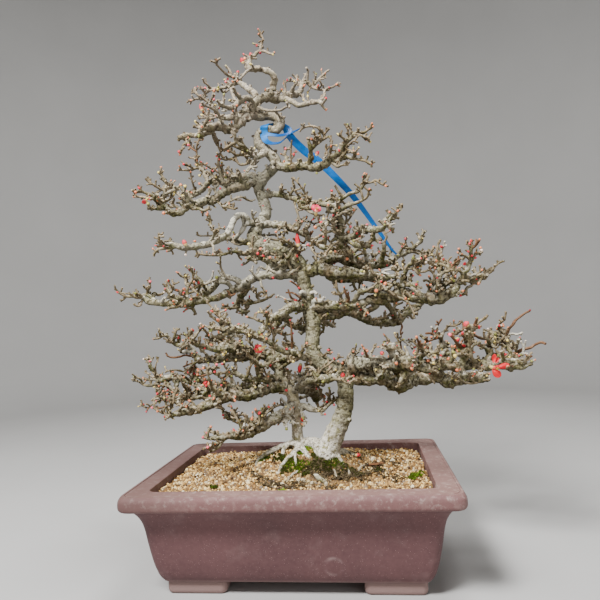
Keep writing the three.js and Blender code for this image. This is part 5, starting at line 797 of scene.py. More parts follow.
# Small buds that show in the picture, as [x, height, radius]
SMALL_BUDS: dict[Tint, Points] = {
    Tint.RED: [
        [-45, 641, 2.6], [-54, 642, 1.8], [-36, 652, 1.7], [-147, 519, 2], [-96, 509, 1.8], [6, 503, 2],
        [-85, 385, 2], [-36, 393, 2], [40, 393, 1.8], [-148, 331, 2], [-168, 348, 1.8], [-145, 309, 1.6],
        [-82, 314, 1.8], [-60, 321, 1.7], [0, 313, 1.8], [5, 329, 1.7], [86, 391, 1.8], [162, 358, 2.2],
        [179, 332, 1.9], [187, 371, 2.4], [214, 348, 2.4], [223, 358, 1.9], [219, 363, 1.8],
        [227, 355, 1.8], [221, 373, 1.9], [-122, 257, 2], [-110, 226, 2], [-14, 252, 1.9], [46, 237, 1.8],
        [39, 248, 1.8], [-17, 199, 2.4], [34, 183, 2], [122, 289, 1.8], [179, 236, 2], [200, 254, 2.6],
        [-53, 171, 2.4], [-101, 170, 1.9], [28, 417, 1.8], [35, 416, 1.7], [-36, 294, 1.7], [206, 262, 2.2],
        [236, 226, 2.6], [163, 246, 1.8], [268, 231, 1.9], [-28, 344, 1.7], [118, 352, 1.7],
    ],
    Tint.DEEP: [
        [140, 357, 2], [-8, 288, 1.6], [-139, 361, 1.7], [147, 247, 1.8], [-32, 642, 1.8], [288, 287, 1.4],
    ],
    Tint.PINK: [
        [-80, 607, 2.2], [-77, 611, 1.9], [-97, 585, 2.1], [-112, 602, 1.9], [-108, 602, 1.8],
        [-134, 527, 2], [2, 602, 1.9], [-4, 511, 2], [75, 404, 2.1], [19, 384, 2.4], [-193, 348, 2],
        [8, 307, 1.9], [111, 381, 2], [96, 405, 1.9], [143, 384, 1.9], [-97, 250, 2], [-107, 235, 1.9],
        [-197, 243, 1.8], [-204, 177, 1.9], [-196, 182, 1.8], [43, 179, 1.9], [62, 208, 2.1], [82, 242, 2],
        [-52, 390, 2.4], [-52, 396, 2.1], [191, 261, 2.2], [-129, 142, 1.9], [-124, 147, 1.8],
        [-123, 129, 1.8],
    ],
    Tint.ORANGE: [
        [-115, 550, 1.9], [-190, 462, 1.8], [-130, 398, 2], [-157, 335, 1.9], [-153, 334, 1.9],
        [-138, 322, 1.8], [72, 397, 1.9], [109, 346, 1.8], [60, 335, 2], [65, 338, 1.9], [63, 327, 1.9],
        [194, 351, 1.9], [234, 367, 1.9], [233, 332, 1.9], [-125, 231, 1.8], [-133, 223, 1.8],
        [-100, 218, 1.8], [-167, 228, 1.8], [-153, 223, 1.8], [43, 245, 1.8], [41, 226, 1.9],
        [88, 245, 1.9], [84, 248, 1.8], [146, 240, 2], [150, 260, 1.8], [270, 243, 1.9], [168, 259, 1.8],
        [173, 259, 1.8], [-62, 172, 1.9], [-100, 166, 1.8], [-33, 183, 1.8], [-7, 494, 1.9], [140, 377, 2],
        [-40, 266, 1.8], [-56, 231, 1.7], [12, 258, 1.7], [56, 231, 1.9], [-112, 570, 1.7],
        [-128, 587, 1.6], [-64, 609, 1.6], [52, 606, 1.6], [66, 590, 1.5], [110, 531, 1.6], [106, 483, 1.6],
        [122, 453, 1.6], [-212, 463, 1.5], [-187, 391, 1.6],
    ],
    Tint.YELLOW: [
        [-95, 578, 1.9], [28, 583, 2], [28, 577, 1.9], [-193, 459, 1.8], [-120, 485, 2.2], [0, 491, 1.8],
        [-45, 269, 1.8], [-40, 271, 1.8], [-26, 263, 1.9], [174, 240, 2], [171, 236, 1.9], [131, 341, 1.9],
        [90, 345, 2], [-150, 200, 2.2], [-52, 242, 1.7], [260, 230, 1.9], [58, 220, 1.8], [-60, 213, 1.6],
        [-144, 353, 1.5], [17, 254, 1.7], [180, 243, 1.8], [102, 315, 1.7], [-15, 638, 1.5],
    ],
    Tint.PALE: [
        [-151, 205, 1.8], [-179, 199, 1.8], [-205, 246, 1.7], [-200, 247, 1.7], [235, 364, 1.8],
        [123, 333, 1.8], [-107, 357, 1.7], [-143, 381, 1.7], [-127, 209, 1.8], [178, 233, 1.9],
        [-3, 597, 1.5],
    ],
    Tint.GREEN: [
        [35, 476, 1.9], [-184, 210, 1.8], [86, 346, 2], [110, 254, 1.6], [-40, 655, 1.5], [-120, 511, 1.6],
        [-134, 529, 1.6], [274, 233, 1.8], [286, 225, 1.6], [-214, 334, 1.6], [158, 343, 1.6],
        [155, 329, 1.6],
    ],
}


def srgb(red: int, green: int, blue: int) -> Colour:
    """A screen colour as the linear one that shaders take."""

    def linear(value: int) -> float:
        """One channel, 0 to 255, made linear."""
        share = value / 255
        return share / 12.92 if share <= 0.04045 else ((share + 0.055) / 1.055) ** 2.4

    return (linear(red), linear(green), linear(blue), 1.0)


def to_frame(point: Vector) -> Vector:
    """A point of the pot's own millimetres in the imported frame's metres."""
    return (point + POT_MIDDLE) * MM


def seen(x: float, height: float, depth: float) -> Vector:
    """The point that shows at [x, height] on the sheet, at another depth."""
    on_sheet = Vector((x, SHEET, height))
    reach = (depth - EYE.y) / (SHEET - EYE.y)
    return EYE + (on_sheet - EYE) * reach


# The soil's level, and the mound at the trunk: its middle, how far it reaches and its height
SOIL_LEVEL = 104.5
MOUND_AT = (8, 38)
MOUND_REACH = (62, 50)
MOUND_HEIGHT = 23


def soil_height(x: float, y: float) -> float:
    """The height of the soil's surface in the pot's own millimetres."""
    across = (x - MOUND_AT[0]) / MOUND_REACH[0]
    back = (y - MOUND_AT[1]) / MOUND_REACH[1]
    mound = MOUND_HEIGHT * math.exp(-across * across - back * back)
    ripple = 0.9 * math.sin(x * 0.11 + 1.3) * math.cos(y * 0.13) + 0.6 * math.sin(x * 0.31 + y * 0.27)
    return SOIL_LEVEL + mound + ripple


# How far from its middle an oval of LOOKS still acts, and over how much of that way it fades
LOOK_END = 1.15
LOOK_FADE = 0.4


def look_at(point: Vector) -> tuple[float, float]:
    """How pale the bark is at a place, and how much fine growth it carries."""
    reach = (SHEET - EYE.y) / (point.y - EYE.y)
    x = EYE.x + (point.x - EYE.x) * reach
    height = EYE.z + (point.z - EYE.z) * reach
    pale, kept = 0.0, 1.0
    for middle_x, middle_z, half_x, half_z, paleness, share in LOOKS:
        off = math.hypot((x - middle_x) / half_x, (height - middle_z) / half_z)
        fade = min(1.0, max(0.0, (LOOK_END - off) / LOOK_FADE))
        pale = max(pale, paleness * fade)
        kept = min(kept, 1 - (1 - share) * fade)
    return pale, kept


def wood_age(kind: WoodKind, point: Vector) -> float:
    """The value that the bark finish reads: old wood is paler in some places."""
    return look_at(point)[0] if kind is WoodKind.OLD else kind.value


class RandomStream:
    """A repeatable stream of numbers from 0 to 1, the one that placed the solids' side twigs."""

    WORD = 0xFFFFFFFF
    STEP = 0x6D2B79F5

    def __init__(self, seed: int) -> None:
        """Starts the stream from a whole number."""
        self.state = seed & self.WORD

    def next(self) -> float:
        """The next number."""
        self.state = (self.state + self.STEP) & self.WORD
        t = self.state
        t = ((t ^ (t >> 15)) * (t | 1)) & self.WORD
        t ^= (t + (((t ^ (t >> 7)) * (t | 61)) & self.WORD)) & self.WORD
        return ((t ^ (t >> 14)) & self.WORD) / (self.WORD + 1)

    def spread(self, low: float, high: float) -> float:
        """The next number between two bounds."""
        return low + (high - low) * self.next()

    def direction(self, lift: float) -> Vector:
        """A random vector whose upward share is raised by lift."""
        return Vector((self.next() - 0.5, self.next() - 0.5, self.next() - 0.5 + lift))


@dataclass
class Spot:
    """One point of a way: where it is, how thick the wood is, and where it shows on the sheet."""

    point: Vector
    radius: float
    sheet: tuple[float, float] = (0.0, 0.0)


@dataclass
class Way:
    """The line that a stem, limb or twig follows, from its root to its tip."""

    spots: list[Spot]
    kind: WoodKind = WoodKind.OLD

    def thickness(self) -> float:
        """The largest radius along the way."""
        return max(spot.radius for spot in self.spots)


@dataclass
class Host:
    """The wood that is nearest to a place on the sheet."""

    cost: float
    gap: float
    sheet: tuple[float, float]
    depth: float
    radius: float


@dataclass
class Blossom:
    """A bud or a flower with its seat and the way it faces."""

    name: str
    base: Vector
    tip: Vector
    size: float


def gap_to_line(point: Vector, line: list[Vector]) -> float:
    """How far a point lies from a line of points."""
    best = math.inf
    for start, end in zip(line, line[1:]):
        spot, share = intersect_point_line(point, start, end)
        if share < 0:
            spot = start
        elif share > 1:
            spot = end
        best = min(best, (spot - point).length)
    return best


@dataclass
class Skeleton:
    """Every way of the tree, grown in the same order as the solids."""

    wood: list[Way] = field(default_factory=list)
    limbs: list[Way] = field(default_factory=list)
    sprays: list[Way] = field(default_factory=list)
    roots: list[Way] = field(default_factory=list)
    stalks: list[Way] = field(default_factory=list)
    blossoms: list[Blossom] = field(default_factory=list)
    blossom_spots: list[Vector] = field(default_factory=list)
    label: list[Vector] = field(default_factory=list)
    strap: list[Vector] = field(default_factory=list)

    def grow(self) -> None:
        """Grows stems, limbs, blossoms and side twigs."""
        for stem in (RIGHT_STEM, LEFT_STEM):
            self.wood.append(Way([Spot(seen(x, z, y), r, (x, z)) for x, z, y, r in stem]))
        for group in LIMB_GROUPS:
            self.limbs.extend(self.grow_limb(limb, WoodKind.OLD) for limb in group)
        for piece in DEAD_WOOD:
            self.grow_limb(piece, WoodKind.DEAD)
        for piece in SHOOTS:
            self.grow_limb(piece, WoodKind.SHOOT)
        self.place_blossoms()
        self.grow_side_twigs()
        fine = {WoodKind.OLD: FINE_TWIGS, WoodKind.DEAD: FINE_DEAD, WoodKind.SHOOT: FINE_SHOOTS}
        for kind, twigs in fine.items():
            for twig in twigs:
                self.grow_limb(twig, kind)
        for root in ROOTS:
            spots = [Spot(Vector((x, y, soil_height(x, y) + lift - r * 0.3)), r) for x, y, lift, r in root]
            self.roots.append(Way(spots))

    def nearest(self, x: float, height: float, radius: float) -> Host:
        """Finds the wood that shows nearest to a place on the sheet.

        Args:
            x: Where the place is along the pot.
            height: How high it is.
            radius: The radius of what is to grow there; much thinner wood is passed over.

        Returns:
            The spot on that wood's middle line.
        """
        best: Host | None = None
        for way in self.wood:
            for a, b in zip(way.spots, way.spots[1:]):
                run_x = b.sheet[0] - a.sheet[0]
                run_z = b.sheet[1] - a.sheet[1]
                length = run_x * run_x + run_z * run_z or 1.0
                t = ((x - a.sheet[0]) * run_x + (height - a.sheet[1]) * run_z) / length
                t = min(1.0, max(0.0, t))
                there = a.radius + (b.radius - a.radius) * t
                gap = math.hypot(x - a.sheet[0] - run_x * t, height - a.sheet[1] - run_z * t)
                cost = gap + (12 if there < radius * 0.72 else 0)
                if best is None or cost < best.cost:
                    sheet = (a.sheet[0] + run_x * t, a.sheet[1] + run_z * t)
                    depth = a.point.y + (b.point.y - a.point.y) * t
                    best = Host(cost, gap, sheet, depth, there)
        assert best is not None
        return best

    def grow_limb(self, limb: Limb, kind: WoodKind) -> Way:
        """Roots a limb on the wood that is there and leads it off with its drift in depth."""
        drift, points = limb[0], limb[1:]
        radii = [p[2] if len(p) > 2 else None for p in points]
        for i, radius in enumerate(radii):
            if radius is None:
                later = next(k for k in range(i, len(radii)) if radii[k] is not None)
                radii[i] = radii[i - 1] + (radii[later] - radii[i - 1]) / (later - i + 1)
        root = self.nearest(points[0][0], points[0][1], radii[0])
        sheets = [(p[0], p[1]) for p in points]
        if root.gap < radii[0] * 1.2:
            sheets[0] = root.sheet
        else:
            sheets.insert(0, root.sheet)
            radii.insert(0, min(radii[0], root.radius))
        lengths = [0.0]
        for a, b in zip(sheets, sheets[1:]):
            lengths.append(lengths[-1] + math.hypot(b[0] - a[0], b[1] - a[1]))
        sway = min(5.0, lengths[-1] * 0.05)
        spots = []
        for sheet, length, radius in zip(sheets, lengths, radii):
            share = length / lengths[-1]
            wander = sway * math.sin(share * math.pi * 3 + len(points)) * min(1.0, share * 3)
            depth = root.depth + DEPTH_SPREAD * drift * share + wander
            spots.append(Spot(seen(sheet[0], sheet[1], depth), radius, sheet))
        way = Way(spots, kind)
        self.wood.append(way)
        return way

    def place_blossoms(self) -> None:
        """Seats the large buds and the flowers where the solids have them."""
        for name, (start, end, radius, drift) in BUDS.items():
            host = self.nearest(start[0], start[1], 0.1)
            base = seen(start[0], start[1], host.depth + drift)
            self.blossoms.append(Blossom(name, base, seen(end[0], end[1], base.y - 1), radius))
        for name, (start, face, petal, drift) in FLOWERS.items():
            host = self.nearest(start[0], start[1], 0.1)
            base = seen(start[0], start[1], host.depth + drift)
            self.blossoms.append(Blossom(name, base, seen(face[0], face[1], base.y - 7), petal))

    def grow_side_twigs(self) -> None:
        """Grows the twigs that fill the limbs towards the viewer and away, as the solids have them."""
        straps = LABEL_TAIL + LABEL_BEND + LABEL_LOWER_LEG + LABEL_UPPER_LEG
        self.label = [seen(x, z, y) for x, z, y, _ in straps]
        wide = smooth_line(LABEL_TAIL, 3) + smooth_line(LABEL_BEND, 3)
        self.strap = [seen(x, z, y) for x, z, y, _ in wide]
        self.blossom_spots = [blossom.base.lerp(blossom.tip, 0.6) for blossom in self.blossoms]
        for index, way in enumerate(self.limbs):
            self.spray(way, RandomStream(SPRAY_SEED + index * 7))

    def spray(self, way: Way, stream: RandomStream) -> None:
        """Grows the side twigs of one limb, to either side in turn."""
        run = 0.0
        following = SPRAY_SPACING * (0.5 + stream.next())
        side = -1 if stream.next() < 0.5 else 1
        for before, spot in zip(way.spots, way.spots[1:]):
            run += (spot.point - before.point).length
            if run < following or spot.radius > 6.6 or spot.radius < 2:
                continue
            following = run + SPRAY_SPACING * (0.8 + 0.5 * stream.next())
            side = -side
            along = (spot.point - before.point).normalized()
            heading = Vector((along.x * 0.5, side, 0.35)).normalized()
            reach = 16 + spot.radius * 9 * (0.7 + 0.5 * stream.next())
            twig = self.side_twig(spot.point, heading, reach, min(2.1, spot.radius * 0.55), stream)
            if self.is_clear(twig):
                self.sprays.append(twig)

    def side_twig(
        self, start: Vector, heading: Vector, reach: float, radius: float, stream: RandomStream
    ) -> Way:
        """One side twig that wanders as it goes.

        Args:
            start: Where it leaves the limb.
            heading: The way it sets out.
            reach: Its length.
            radius: Its radius at the start.
            stream: Where the chance comes from.

        Returns:
            The twig.
        """
        spots = [Spot(start.copy(), radius)]
        aim = heading.copy()
        place = start.copy()
        for i in range(1, 5):
            jitter = Vector((stream.next() - 0.5, stream.next() - 0.5, stream.next() - 0.4))
            aim = (aim + jitter * 1.1).normalized()
            place = place + aim * (reach / 4) * (0.8 + 0.4 * stream.next())
            spots.append(Spot(place.copy(), radius * (1 - 0.15 * i)))
        return Way(spots)

    def is_clear(self, way: Way) -> bool:
        """Whether a twig stays off the soil, the label and the large buds."""
        for spot in way.spots:
            if spot.point.z < TWIG_FLOOR or gap_to_line(spot.point, self.label) < LABEL_KEEP_OFF:
                return False
            if any((place - spot.point).length <= BUD_KEEP_OFF for place in self.blossom_spots):
                return False
        return True


@dataclass
class Surroundings:
    """What growth has to keep clear of: the soil, the label and the large buds."""

    label: list[Vector]
    blossoms: list[Vector]
    strap: list[Vector]
    floor: float = 138.0
    cover: float = 7.5

    def clear(self, spots: list[Spot], label_gap: float = 8.0, bud_gap: float = 6.5) -> bool:
        """Whether a way stays off all of them, and doesn't hide the label."""
        for spot in spots:
            if spot.point.z < self.floor or gap_to_line(spot.point, self.label) < label_gap:
                return False
            if any((place - spot.point).length < bud_gap for place in self.blossoms):
                return False
            if self.hides_label(spot.point):
                return False
        return True

    def hides_label(self, point: Vector) -> bool:
        """Whether a place lies between the viewer and the label's strap."""
        ray = point - EYE
        for place in self.strap:
            share = (place.y - EYE.y) / ray.y
            if share > 1 and (EYE + ray * share - place).length < self.cover:
                return True
        return False


@dataclass
class FineGrowth:
    """The branchlets, spurs and knobs that cover the limbs, too small for the solids."""

    skeleton: Skeleton
    around: Surroundings
    stream: RandomStream = field(default_factory=lambda: RandomStream(GROWTH_SEED))
    knobs: list[Way] = field(default_factory=list)
    branchlets: list[Way] = field(default_factory=list)
    spurs: list[Way] = field(default_factory=list)
    tips: list[tuple[Vector, Vector, float]] = field(default_factory=list)
    bearing: tuple[float, float] = (1.4, 8.0)
    bare_stem: tuple[float, float, float] = (212.0, 262.0, 296.0)
    knob_share: float = 0.55
    twig_share: float = 0.9

    def grow(self) -> None:
        """Grows branchlets first, then spurs and knobs on everything."""
        hosts = self.skeleton.wood + self.skeleton.sprays
        for way in hosts[2:]:
            if way.kind is WoodKind.OLD and way.thickness() > 1.5:
                self.branch_out(way)
        for crowd in CROWDED:
            self.crowd(*crowd)
        for way in hosts + self.branchlets:
            self.dress(way)
            self.end_in_fingers(way)

    def crowd(self, x: float, height: float, half_x: float, half_z: float, count: int) -> None:
        """Sets stubs from the limbs to chance places within an oval of the sheet.

        Args:
            x: The oval's middle along the pot.
            height: Its middle's height.
            half_x: Half its width.
            half_z: Half its height.
            count: How many stubs are tried.
        """
        s = self.stream
        for _ in range(count):
            angle = s.spread(0, math.tau)
            reach = math.sqrt(s.next())
            aim_x = x + math.cos(angle) * reach * half_x
            aim_z = height + math.sin(angle) * reach * half_z
            host = self.skeleton.nearest(aim_x, aim_z, 2.2)
            start = seen(host.sheet[0], host.sheet[1], host.depth)
            end = seen(aim_x, aim_z, host.depth + s.spread(-24, 14))
            if host.gap > 20 or (end - start).length < 5:
                continue
            thick = min(host.radius * 0.9, s.spread(2.0, 3.6))
            spots = self.crooked(start, (end - start).normalized(), (end - start).length, thick, 1.5, 5.0)
            if self.around.clear(spots):
                self.branchlets.append(Way(spots))

    def crooked(
        self, start: Vector, aim: Vector, reach: float, thick: float, thin: float, segment: float
    ) -> list[Spot]:
        """A way that turns a little at each segment.

        Args:
            start: Where it begins.
            aim: Where it heads at first.
            reach: Its length.
            thick: Its radius at the start.
            thin: Its radius at the end.
            segment: About how long each straight stretch is.

        Returns:
            Its spots.
        """
        count = max(2, round(reach / segment))
        spots = [Spot(start.copy(), thick)]
        for i in range(1, count + 1):
            aim = (aim + self.stream.direction(0.07) * 0.95).normalized()
            step = reach / count * self.stream.spread(0.8, 1.2)
            spots.append(Spot(spots[-1].point + aim * step, thick + (thin - thick) * i / count))
        return spots

    def outward(self, along: Vector, depthwise: float) -> Vector:
        """A random direction square to the wood, mostly towards or away from the viewer."""
        s = self.stream
        side = depthwise if s.next() < 0.5 else -depthwise
        out = Vector((s.spread(-1, 1), side + s.spread(-0.6, 0.6), s.spread(-0.45, 1.0)))
        out = out - along * out.dot(along)
        return out.normalized() if out.length > 0.05 else Vector((0, -1, 0))

    def branch_out(self, way: Way) -> None:
        """Sets branchlets along a limb."""
        s = self.stream
        following = s.spread(4, 14)
        run = 0.0
        for before, spot in zip(way.spots, way.spots[1:]):
            step = spot.point - before.point
            while following < run + step.length:
                share = (following - run) / step.length
                radius = before.radius + (spot.radius - before.radius) * share
                following += s.spread(10, 22)
                thinnest, thickest = self.bearing
                if radius < thinnest or radius > thickest or s.next() > look_at(before.point)[1]:
                    continue
                along = step.normalized()
                aim = (self.outward(along, 1.0) + along * s.spread(0.0, 0.7)).normalized()
                reach = s.spread(9, 24) * min(1.15, 0.6 + radius / 7)
                thick = min(2.8, max(1.5, radius * 0.65))
                spots = self.crooked(before.point + step * share, aim, reach, thick, 1.2, 4.5)
                if self.around.clear(spots):
                    self.branchlets.append(Way(spots, way.kind))
            run += step.length

    def dress(self, way: Way) -> None:
        """Walks along a way and sets a knob, a spur or a bud every few millimetres."""
        s = self.stream
        stem = way in self.skeleton.wood[:2]
        run = 0.0
        following = s.spread(2, 7)
        for before, spot in zip(way.spots, way.spots[1:]):
            step = spot.point - before.point
            along = step.normalized()
            while following < run + step.length:
                share = (following - run) / step.length
                place = before.point + step * share
                radius = before.radius + (spot.radius - before.radius) * share
                following += s.spread(1.2, 3.2) if stem else s.spread(3.2, 7.6)
                if self.is_rough(place, stem, s.next()):
                    self.set_growth(place, along, radius, way.kind)
            run += step.length

    def is_rough(self, place: Vector, stem: bool, chance: float) -> bool:
        """Whether something grows there; the stems are bare below and between their forks."""
        if place.z < self.around.floor:
            return False
        if not stem:
            return chance < look_at(place)[1]
        foot, fork, crook = self.bare_stem
        bare = place.z < foot or fork < place.z < crook
        return chance < (0.08 if bare else 0.75)

    def set_growth(self, place: Vector, along: Vector, radius: float, kind: WoodKind) -> None:
        """Sets one knob, spur or bud beside the wood."""
        s = self.stream
        out = self.outward(along, s.spread(0.0, 0.9))
        chance = s.next()
        if kind is not WoodKind.OLD and chance > 0.3:
            return
        if radius > 2.0 and chance < self.knob_share:
            reach = radius + s.spread(0.6, 3.4) * min(1.4, 0.5 + radius / 5)
            thick = min(radius * 0.75, s.spread(1.3, 3.0))
            lean = (out + along * s.spread(-0.5, 0.6)).normalized()
            spots = [Spot(place + lean * radius * 0.3, thick), Spot(place + lean * reach, thick * 0.75)]
            self.knobs.append(Way(spots, kind))
        elif chance < self.twig_share:
            aim = (out + along * s.spread(0.0, 0.8) + Vector((0, 0, 0.25))).normalized()
            thick = min(1.6, max(0.95, radius * 0.62))
            self.add_spur(place + out * radius * 0.75, aim, s.spread(2.4, 7.0), thick, kind)
        else:
            self.tips.append((place + out * radius * 0.95, out, 1.0))

    def end_in_fingers(self, way: Way) -> None:
        """Ends a way in a few short fingers."""
        s = self.stream
        last, before = way.spots[-1], way.spots[-2]
        along = (last.point - before.point).normalized()
        if last.radius < 2:
            self.tips.append((last.point, along, last.radius))
        if way.kind is not WoodKind.OLD or last.radius > 3 or look_at(last.point)[1] < 0.1:
            return
        for _ in range(1 + round(s.next() * 1.8)):
            aim = (along * 0.9 + self.outward(along, 0.5) * s.spread(0.35, 1.0)).normalized()
            start = last.point - along * s.spread(0.5, 4.5)
            self.add_spur(start, aim, s.spread(3.5, 9), min(1.7, max(1.15, last.radius)), way.kind)

    def add_spur(self, start: Vector, aim: Vector, reach: float, thick: float, kind: WoodKind) -> None:
        """Adds a short twig with swollen ends, if there is room for it."""
        spots = self.crooked(start, aim, reach, thick, thick * 0.7, 2.6)
        if not self.around.clear(spots[1:]):
            return
        spots[-1].radius = thick * 1.05
        self.spurs.append(Way(spots, kind))
        last, before = spots[-1], spots[-2]
        self.tips.append((last.point, (last.point - before.point).normalized(), last.radius))


class Socket(Enum):
    """Socket types that take no default value."""

    GEOMETRY = "NodeSocketGeometry"
    COLLECTION = "NodeSocketCollection"
    MATERIAL = "NodeSocketMaterial"


SOCKET_OF = {float: "NodeSocketFloat", int: "NodeSocketInt", tuple: "NodeSocketVector"}
NODE_SPACING = 180


class Wiring:
    """Adds nodes to a tree, sets their values and joins them."""

    def __init__(self, tree: NodeTree) -> None:
        """Keeps the tree that the nodes go into."""
        self.tree = tree
        self.column = 0

    def node(self, kind: str, values: dict | None = None, **settings: object) -> Node:
        """Adds one node.

        Args:
            kind: Blender's name for the node type.
            values: Input values by name or place; an output socket given as a value is linked.
            **settings: Properties of the node, set before its inputs.

        Returns:
            The node.
        """
        made = self.tree.nodes.new(kind)
        self.column += 1
        made.location = (self.column * NODE_SPACING, 0)
        for name, value in settings.items():
            setattr(made, name, value)
        for name, value in (values or {}).items():
            self.put(self.socket(made, name), value)
        return made

    def socket(self, node: Node, name: str | int) -> NodeSocket:
        """The enabled input of that name, or the input at that place."""
        if isinstance(name, int):
            return node.inputs[name]
        return next(s for s in node.inputs if s.name == name and s.enabled)

    def put(self, socket: NodeSocket, value: object) -> None:
        """Gives an input a value, or links it to an output."""
        if isinstance(value, NodeSocket):
            self.tree.links.new(value, socket)
        else:
            socket.default_value = value

    def math(self, operation: str, a: object, b: object = 0.0, c: object = 0.0) -> NodeSocket:
        """The result of a number operation."""
        return self.node("ShaderNodeMath", {0: a, 1: b, 2: c}, operation=operation).outputs[0]

    def times(self, a: object, b: object) -> NodeSocket:
        """The product of two numbers."""
        return self.math("MULTIPLY", a, b)

    def vector(self, operation: str, a: object, b: object = None, scale: object = None) -> NodeSocket:
        """The result of a vector operation."""
        values: dict = {0: a}
        if b is not None:
            values[1] = b
        if scale is not None:
            values[3] = scale
        made = self.node("ShaderNodeVectorMath", values, operation=operation)
        return next(s for s in made.outputs if s.enabled)

    def ranged(
        self, value: object, low: float, high: float, to_low: object = 0.0, to_high: object = 1.0
    ) -> NodeSocket:
        """A value moved from one range to another, and kept in it."""
        values = {"Value": value, "From Min": low, "From Max": high, "To Min": to_low, "To Max": to_high}
        return self.node("ShaderNodeMapRange", values).outputs[0]

    def noise(
        self, vector: object, scale: object, detail: float = 3.0, rough: float = 0.55, colour: bool = False
    ) -> NodeSocket:
        """A noise value, or a noise colour for use as three values."""
        values = {"Vector": vector, "Scale": scale, "Detail": detail, "Roughness": rough}
        return self.node("ShaderNodeTexNoise", values).outputs["Color" if colour else 0]

    def cells(self, vector: object, scale: object) -> NodeSocket:
        """How far each place is from the middle of its cell."""
        return self.node("ShaderNodeTexVoronoi", {"Vector": vector, "Scale": scale}).outputs["Distance"]

    def blend(self, share: object, a: object, b: object) -> NodeSocket:
        """One colour laid over another by a share."""
        made = self.node("ShaderNodeMix", data_type="RGBA")
        for index, value in ((0, share), (6, a), (7, b)):
            self.put(made.inputs[index], value)
        return made.outputs[2]

    def place(self) -> NodeSocket:
        """The shaded point in the object's own space."""
        return self.node("ShaderNodeTexCoord").outputs["Object"]

    def facing(self, axis: int) -> NodeSocket:
        """How far the surface faces along an axis."""
        return self.part(self.node("ShaderNodeNewGeometry").outputs["Normal"], axis)

    def part(self, vector: object, axis: int) -> NodeSocket:
        """One of a vector's three numbers."""
        return self.node("ShaderNodeSeparateXYZ", {0: vector}).outputs[axis]

    def away(self, place: object, spot: Vector) -> NodeSocket:
        """How far a place is from a spot that is given in the pot's own millimetres."""
        return self.vector("DISTANCE", place, tuple(to_frame(spot)))

    def attribute(self, name: str) -> NodeSocket:
        """A stored value of the mesh, in a shader."""
        return self.node("ShaderNodeAttribute", attribute_name=name).outputs["Fac"]

    def ramp(self, value: object, stops: Stops, smooth: bool = True) -> NodeSocket:
        """A colour ramp with the given stops."""
        made = self.node("ShaderNodeValToRGB", {0: value})
        made.color_ramp.interpolation = "LINEAR" if smooth else "CONSTANT"
        elements = made.color_ramp.elements
        while len(elements) < len(stops):
            elements.new(0.5)
        for element, (place, colour) in zip(elements, stops):
            element.position = place
            element.color = colour
        return made.outputs[0]

    def stored(self, name: str, kind: str = "FLOAT") -> NodeSocket:
        """A stored value of the mesh, in a geometry tree."""
        return self.node("GeometryNodeInputNamedAttribute", {"Name": name}, data_type=kind).outputs[0]

    def keep(self, geometry: object, name: str, value: object, domain: str) -> Node:
        """Stores a value on the geometry."""
        values = {"Geometry": geometry, "Name": name, "Value": value}
        return self.node("GeometryNodeStoreNamedAttribute", values, data_type="FLOAT", domain=domain)

    def shifted(self, geometry: object, direction: object, scale: object) -> NodeSocket:
        """The geometry with its points moved along a direction."""
        values = {"Geometry": geometry, "Offset": self.vector("SCALE", direction, scale=scale)}
        return self.node("GeometryNodeSetPosition", values).outputs[0]

    def chance(self, low: object, high: object, seed: object) -> NodeSocket:
        """A random number or vector between two bounds."""
        many = isinstance(low, tuple)
        values = {"Min": low, "Max": high, "Seed": seed}
        made = self.node("FunctionNodeRandomValue", values, data_type="FLOAT_VECTOR" if many else "FLOAT")
        return made.outputs[0 if many else 1]

    def copies(self, points: object, collection: object, rotation: object, scale: object) -> Node:
        """Copies of a collection's shapes, one on each point."""
        values = {"Collection": collection, "Separate Children": True, "Reset Children": True}
        shapes = self.node("GeometryNodeCollectionInfo", values).outputs[0]
        values = {"Points": points, "Instance": shapes, "Pick Instance": True}
        return self.node("GeometryNodeInstanceOnPoints", {**values, "Rotation": rotation, "Scale": scale})

    def close(self, last: NodeSocket, start: Node, end: Node) -> None:
        """Ends a geometry tree: copies are made real and everything takes the material."""
        whole = self.node("GeometryNodeRealizeInstances", {"Geometry": last}).outputs[0]
        values = {"Geometry": whole, "Material": start.outputs["Material"]}
        self.put(end.inputs["Geometry"], self.node("GeometryNodeSetMaterial", values).outputs[0])


def new_group(name: str, kind: str, inputs: dict, outputs: dict) -> tuple[NodeTree, Wiring, Node, Node]:
    """Makes a node tree with named sockets.

    Args:
        name: The tree's name.
        kind: Its type, for shaders or for geometry.
        inputs: Default values by socket name, or a Socket where there is none.
        outputs: The same for the outputs; a default only tells the type.

    Returns:
        The tree, its wiring, its input node and its output node.
    """
    tree = bpy.data.node_groups.new(name, kind)
    for side, sockets in (("INPUT", inputs), ("OUTPUT", outputs)):
        for label, value in sockets.items():
            bare = isinstance(value, Socket)
            socket_type = value.value if bare else SOCKET_OF[type(value)]
            item = tree.interface.new_socket(name=label, in_out=side, socket_type=socket_type)
            if side == "INPUT" and not bare:
                item.default_value = value
    wiring = Wiring(tree)
    return tree, wiring, wiring.node("NodeGroupInput"), wiring.node("NodeGroupOutput")


